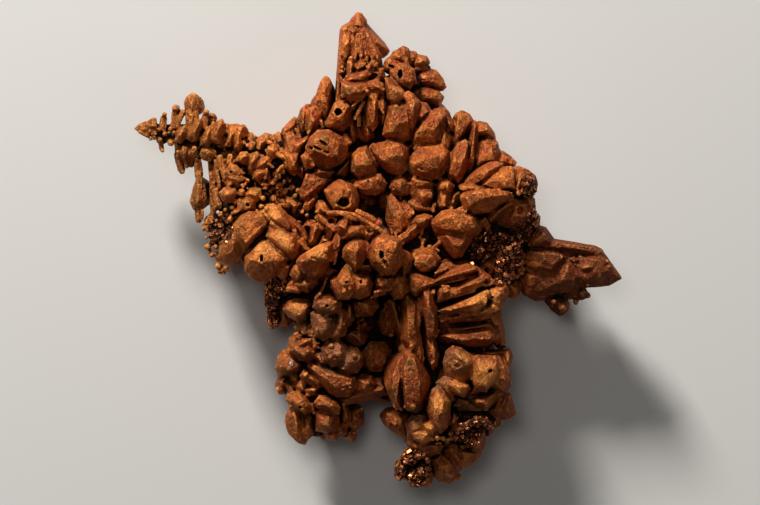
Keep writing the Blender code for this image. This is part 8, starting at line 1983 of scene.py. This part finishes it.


# Native copper that has darkened in the ground and been cleaned: a thin brown oxide film with a satin,
# etched gloss. It is near black in the gaps, partly oxide and partly painted shade, and warmer and
# brighter on edges, partly wear and partly painted highlight; painted light also falls warmer on the
# west, and painted shade darker to the east and the south. The etching of the real one is finer than a
# tenth of a millimetre, and is drawn two to four times as coarse to show.
copperColours = {
    # some of these colours are painted light: shade to the east and south, in the etched pits and in the
    # gaps, where it is partly oxide, warm light in the west, golden highlights in spots, and partly highlight
    # on edges
    "film": "#9A481A", "warm": "#C06626", "rose": "#A0401E", "olive": "#744816", "paintedGoldLight": "#C98436",
    "paintedFalloffShade": "#5C2810", "paintedEtchShade": "#4E1E0A", "wearAndHighlight": "#F0A050", "grey": "#7C5A3C", "sheenAndWear": "#EE9A4A",
    "mineral": "#B2BABA", "gapShadeAndOxide": "#170603",
    "metal": 0.45, "specular": 0.3, "gloss": (0.46, 0.68), "glossGrain": (0.3, 0.7),
    "cellSize": 0.4, "grainSize": 0.2, "ledgeSize": 0.7, "etchDepth": 0.22,
    "cellDepth": -0.35, "ledgeHeight": 0.15, "swayScale": 1.2, "sway": 1.2, "drawnOut": (1.0, 0.4, 1.0),
    "patchSize": 2.6, "raggedSize": 0.9,
    # the layers from the film up: colour, what it follows, where it starts and is full, and strength
    "layers": [
        ("warm", "broadPatches", 0.42, 0.60, 1.0), ("rose", "middlePatches", 0.50, 0.66, 0.5),
        # the second layer here is painted light: warmer and lighter toward the west
        ("olive", "smallPatches", 0.52, 0.68, 0.8), ("paintedGoldLight", "X", -5.0, -11.0, 0.2),
        # the first layer here darkens and dulls the west arm toward its tip; the second is painted shade,
        # darker to the east where the light falls off
        ("olive", "X", -11.5, -15.0, 0.4), ("paintedFalloffShade", "X", 11.5, 14.5, 0.75),
        # painted shade: darker to the south, and in the etched pits
        ("paintedFalloffShade", "Y", -2.0, -7.0, 0.3), ("paintedEtchShade", "etching", 0.42, 0.22, 0.6),
        # brighter on etched crests and on edges: partly wear, partly painted highlight
        ("wearAndHighlight", "etching", 0.50, 0.75, 0.12), ("wearAndHighlight", "edge", 0.25, 1.0, 0.5),
        # the second layer here is painted golden highlight in spots
        ("grey", "greySpots", 0.6, 0.1, 0.4), ("sheenAndWear", "paintedHighlightSpots", 0.6, 0.1, 0.45),
        # the second layer here is near black where metal shelters the surface: partly oxide in the hollows,
        # partly painted shade
        ("mineral", "mineralSpots", 0.6, 0.1, 0.8), ("gapShadeAndOxide", "shelter", 0.20, 0.62, 0.97),
    ],
    # spots with ragged edges: x, y and radius
    "spots": {
        "greySpots": [
            (-4.6, -5.9, 2.0), (-3.4, -8.8, 1.8), (6.3, -9.4, 1.4), (6.9, -12.8, 1.2), (3.2, -13.9, 0.9),
            (5.2, -11.0, 0.9)],
        # spots of painted golden highlight
        "paintedHighlightSpots": [
            (8.9, -10.3, 1.4), (-8.3, 0.6, 1.2), (-9.7, 0.2, 0.9), (-8.9, 2.9, 1.1), (7.0, -9.0, 0.7),
            (6.7, -11.3, 0.8), (-6.7, -4.8, 0.8), (8.8, -4.0, 1.6), (1.6, 13.0, 0.8), (-5.2, 0.0, 0.9),
            (3.9, -15.1, 1.0), (5.2, -12.7, 0.9), (5.2, -15.6, 0.6)],
        "mineralSpots": [(-7.25, -9.45, 0.17), (-1.05, -8.1, 0.18), (-13.4, 3.2, 0.14)],
    },
}
# The small free faces of the druse kept more of their metal, so they glint.
drusyColours = {
    **copperColours, "film": "#8A3C1E", "warm": "#A85028", "wearAndHighlight": "#D88A5A", "metal": 0.85,
    "gloss": (0.22, 0.42), "patchSize": 0.8, "etchDepth": 0.04,
}


def patinaAndPaintedLight(name, settings):
    made = bpy.data.materials.new(name)
    made.use_nodes = True
    tree = made.node_tree
    shader = tree.nodes["Principled BSDF"]
    shader.inputs["Metallic"].default_value = settings["metal"]
    shader.inputs["Specular IOR Level"].default_value = settings["specular"]
    place = addNode(tree, "ShaderNodeTexCoord").outputs["Object"]
    scaled = addNode(tree, "ShaderNodeVectorMath", {"operation": "SCALE"},
                     {0: place, "Scale": 1 / mm}).outputs[0]

    # etched relief: small cells, grain and ledges
    sway = addNode(tree, "ShaderNodeTexNoise",
                   links={"Vector": scaled, "Scale": settings["swayScale"], "Detail": 3.0}).outputs[1]
    bent = addNode(tree, "ShaderNodeVectorMath", {"operation": "MULTIPLY_ADD"},
                   {0: sway, 1: (settings["sway"],) * 3, 2: scaled}).outputs[0]
    cells = addNode(tree, "ShaderNodeTexVoronoi", links={"Vector": bent, "Scale": 1 / settings["cellSize"]})
    drawn = addNode(tree, "ShaderNodeVectorMath", {"operation": "MULTIPLY"},
                    {0: bent, 1: settings["drawnOut"]}).outputs[0]
    grain = addNode(tree, "ShaderNodeTexNoise", links={
        "Vector": drawn, "Scale": 1 / settings["grainSize"], "Detail": 2.0, "Roughness": 0.6}).outputs[0]
    ledges = addNode(tree, "ShaderNodeTexNoise", links={
        "Vector": scaled, "Scale": 1 / settings["ledgeSize"], "Detail": 2.0, "Roughness": 0.6,
        "Distortion": 0.4}).outputs[0]
    etched = addNode(tree, "ShaderNodeMath", {"operation": "MULTIPLY_ADD"},
                     {0: cells.outputs["Distance"], 1: settings["cellDepth"], 2: grain}).outputs[0]
    etched = addNode(tree, "ShaderNodeMath", {"operation": "MULTIPLY_ADD"},
                     {0: ledges, 1: settings["ledgeHeight"], 2: etched}).outputs[0]

    # what the layers follow: the place, the etching, the edges and the shelter, patches of several sizes and
    # the spots
    axes = addNode(tree, "ShaderNodeSeparateXYZ", links={0: scaled}).outputs
    follows = {"X": axes["X"], "Y": axes["Y"], "etching": etched}
    for attribute in ("edge", "shelter"):
        stored = addNode(tree, "ShaderNodeAttribute", {"attribute_name": attribute})
        follows[attribute] = stored.outputs["Fac"]
    size = settings["patchSize"]
    noises = (("broadPatches", size, (3, 0, 0)), ("middlePatches", size * 0.8, (0, 7, 0)),
              ("smallPatches", size * 0.6, (0, 0, 5)), ("ragged", settings["raggedSize"], (2, 2, 0)))
    for label, patch, shift in noises:
        moved = addNode(tree, "ShaderNodeVectorMath", {"operation": "ADD"}, {0: scaled, 1: shift}).outputs[0]
        follows[label] = addNode(tree, "ShaderNodeTexNoise", links={
            "Vector": moved, "Scale": 1 / patch, "Detail": 4.0, "Roughness": 0.6}).outputs[0]
    flat = addNode(tree, "ShaderNodeVectorMath", {"operation": "MULTIPLY"},
                   {0: scaled, 1: (1, 1, 0)}).outputs[0]
    for label, spots in settings["spots"].items():
        nearest = 9.0    # radii, far outside every spot
        for x, y, radius in spots:
            away = addNode(tree, "ShaderNodeVectorMath", {"operation": "DISTANCE"}, {0: flat, 1: (x, y, 0)})
            share = addNode(tree, "ShaderNodeMath", {"operation": "DIVIDE"},
                            {0: away.outputs["Value"], 1: radius}).outputs[0]
            nearest = addNode(tree, "ShaderNodeMath", {"operation": "MINIMUM"},
                              {0: nearest, 1: share}).outputs[0]
        follows[label] = addNode(tree, "ShaderNodeMath", {"operation": "SUBTRACT"},
                                 {0: nearest, 1: follows["ragged"]}).outputs[0]

    colour = toLinear(settings["film"])
    for over, label, start, full, strength in settings["layers"]:
        amount = addNode(tree, "ShaderNodeMapRange", {"interpolation_type": "SMOOTHSTEP"}, {
            "Value": follows[label], "From Min": start, "From Max": full, "To Max": strength}).outputs[0]
        colour = addNode(tree, "ShaderNodeMix", {"data_type": "RGBA"},
                         {"Factor": amount, 6: colour, 7: toLinear(settings[over])}).outputs[2]
    tree.links.new(colour, shader.inputs["Base Color"])

    least, most = settings["glossGrain"]
    low, high = settings["gloss"]
    gloss = addNode(tree, "ShaderNodeMapRange", links={
        "Value": grain, "From Min": least, "From Max": most, "To Min": low, "To Max": high}).outputs[0]
    tree.links.new(gloss, shader.inputs["Roughness"])
    bump = addNode(tree, "ShaderNodeBump", links={"Distance": settings["etchDepth"] * mm, "Height": etched})
    tree.links.new(bump.outputs[0], shader.inputs["Normal"])
    return made


patinaAndPaintedLightSkin = patinaAndPaintedLight("patinaAndPaintedLight", copperColours)
drusyFaces = patinaAndPaintedLight("drusyCopper", drusyColours)


# Painted shade darkens the bed between the grains of a druse, and the heart where it shows in the gaps.
# The heart keeps little of the brighter edges, which are partly wear and partly painted highlight, so its
# edges stay brown.
def darkenBeds(name, mesh):
    places = numpy.empty(len(mesh.vertices) * 3)
    mesh.vertices.foreach_get("co", places)
    places = places.reshape(-1, 3) / mm
    shelter = numpy.empty(len(mesh.vertices))
    mesh.attributes["shelter"].data.foreach_get("value", shelter)
    if name == "back":
        facing = numpy.empty(len(mesh.vertices) * 3)
        mesh.vertex_normals.foreach_get("vector", facing)
        up = numpy.clip(facing.reshape(-1, 3)[:, 2] * heart["upSteep"], 0, 1)
        closedIn = numpy.clip((shelter - heart["gapFrom"]) * heart["gapSteep"], 0, 1)
        # painted shade on the heart's upward faces in the gaps
        shelter = numpy.maximum(shelter, up * closedIn * heart["gapShade"])
        # the heart keeps little of the brighter edges, partly wear and partly painted highlight
        edge = numpy.empty(len(mesh.vertices))
        mesh.attributes["edge"].data.foreach_get("value", edge)
        mesh.attributes["edge"].data.foreach_set("value", edge * heart["sheenAndWear"])
    # painted shade on the druse beds, on their upper side only
    front = places[:, 2] > -floorLevel
    for patch in druse["patches"]:
        inside = front & inPatch(patch, places)
        shelter[inside] = numpy.maximum(shelter[inside], druse["bedShade"])
    mesh.attributes["shelter"].data.foreach_set("value", shelter)


# gives every piece its shelter, for oxide and painted shade, and its edges, for wear and painted highlight
def paintShadeAndWear():
    target = bmesh.new()
    for mesh in pieces.values():
        target.from_mesh(mesh)
    wholeMesh = bpy.data.meshes.new("wholeNugget")
    target.to_mesh(wholeMesh)
    target.free()
    whole = putObject("wholeNugget", wholeMesh)
    made = {}
    for name, mesh in pieces.items():
        made[name] = putObject(name, mesh)
        material = drusyFaces if name == "druse" else patinaAndPaintedLightSkin
        giveNodes(made[name], shadeAndWearSkin, {"Nugget": whole, "Material": material})
    for name in pieces:
        pieces[name] = plainMesh(made[name], name)
        if name != "druse":
            darkenBeds(name, pieces[name])
    clearBench()


paintShadeAndWear()
print("aged")

crispAngle = math.radians(20)    # facets that meet more sharply than this keep a crisp edge


def showPieces():
    for name, mesh in pieces.items():
        if name == "druse":
            mesh.shade_flat()
        else:
            mesh.shade_smooth()
            mesh.set_sharp_from_angle(angle=crispAngle)
        shown = bpy.data.objects.new(name, mesh)
        bpy.context.scene.collection.objects.link(shown)
        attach(shown, "root")
        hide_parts("copper_nugget")


showPieces()
print(f"triangles: {sum(len(p.vertices) - 2 for mesh in pieces.values() for p in mesh.polygons)}")

# A pale matt table under it, three lamps in a dim soft room, and a camera that looks straight down
# from high above. All in metres, but for the camera's sensor and lens.
setting = {
    "table": "#CFCBC4", "tableSize": 1.5, "tableDrop": 0.00002, "tableRoughness": 0.9,
    "sky": "#E8ECF2", "skyStrength": 0.05,
    "lamps": {    # place, power in watts and size
        "keyLamp": ((-0.12, 0.28, 0.17), 2.0, 0.07),
        "fillLamp": ((0.22, -0.16, 0.24), 0.06, 0.16),
        "topLamp": ((-0.04, 0.06, 0.46), 0.30, 0.10),
    },
    "camera": (0.000167, -0.000167, 0.5389),
    "lens": {"sensor_width": 36, "lens": 300, "clip_start": 0.05, "clip_end": 5},
}


def layTable():
    solid = bmesh.new()
    bmesh.ops.create_grid(solid, x_segments=1, y_segments=1, size=setting["tableSize"])
    mesh = bpy.data.meshes.new("table")
    solid.to_mesh(mesh)
    solid.free()
    table = bpy.data.objects.new("table", mesh)
    bpy.context.scene.collection.objects.link(table)
    table.location.z = -setting["tableDrop"]
    board = bpy.data.materials.new("matteBoard")
    board.use_nodes = True
    shader = board.node_tree.nodes["Principled BSDF"]
    shader.inputs["Base Color"].default_value = toLinear(setting["table"])
    shader.inputs["Roughness"].default_value = setting["tableRoughness"]
    mesh.materials.append(board)


def hangLamp(name, place, power, size):
    lamp = bpy.data.lights.new(name, "AREA")
    lamp.energy = power
    lamp.size = size
    made = bpy.data.objects.new(name, lamp)
    bpy.context.scene.collection.objects.link(made)
    made.location = place
    made.rotation_euler = (-Vector(place)).to_track_quat("-Z", "Y").to_euler()


def openSky():
    sky = bpy.data.worlds.new("softRoom")
    sky.use_nodes = True
    light = sky.node_tree.nodes["Background"]
    light.inputs["Color"].default_value = toLinear(setting["sky"])
    light.inputs["Strength"].default_value = setting["skyStrength"]
    bpy.context.scene.world = sky
    bpy.context.scene.view_settings.view_transform = "Standard"    # keeps the orange of the metal


def hangCamera():
    lens = bpy.data.cameras.new("camera")
    for label, value in setting["lens"].items():
        setattr(lens, label, value)
    camera = bpy.data.objects.new("camera", lens)
    bpy.context.scene.collection.objects.link(camera)
    camera.location = setting["camera"]
    bpy.context.scene.camera = camera


layTable()
for lampName, (lampPlace, lampPower, lampSize) in setting["lamps"].items():
    hangLamp(lampName, lampPlace, lampPower, lampSize)
openSky()
hangCamera()
print("lit")
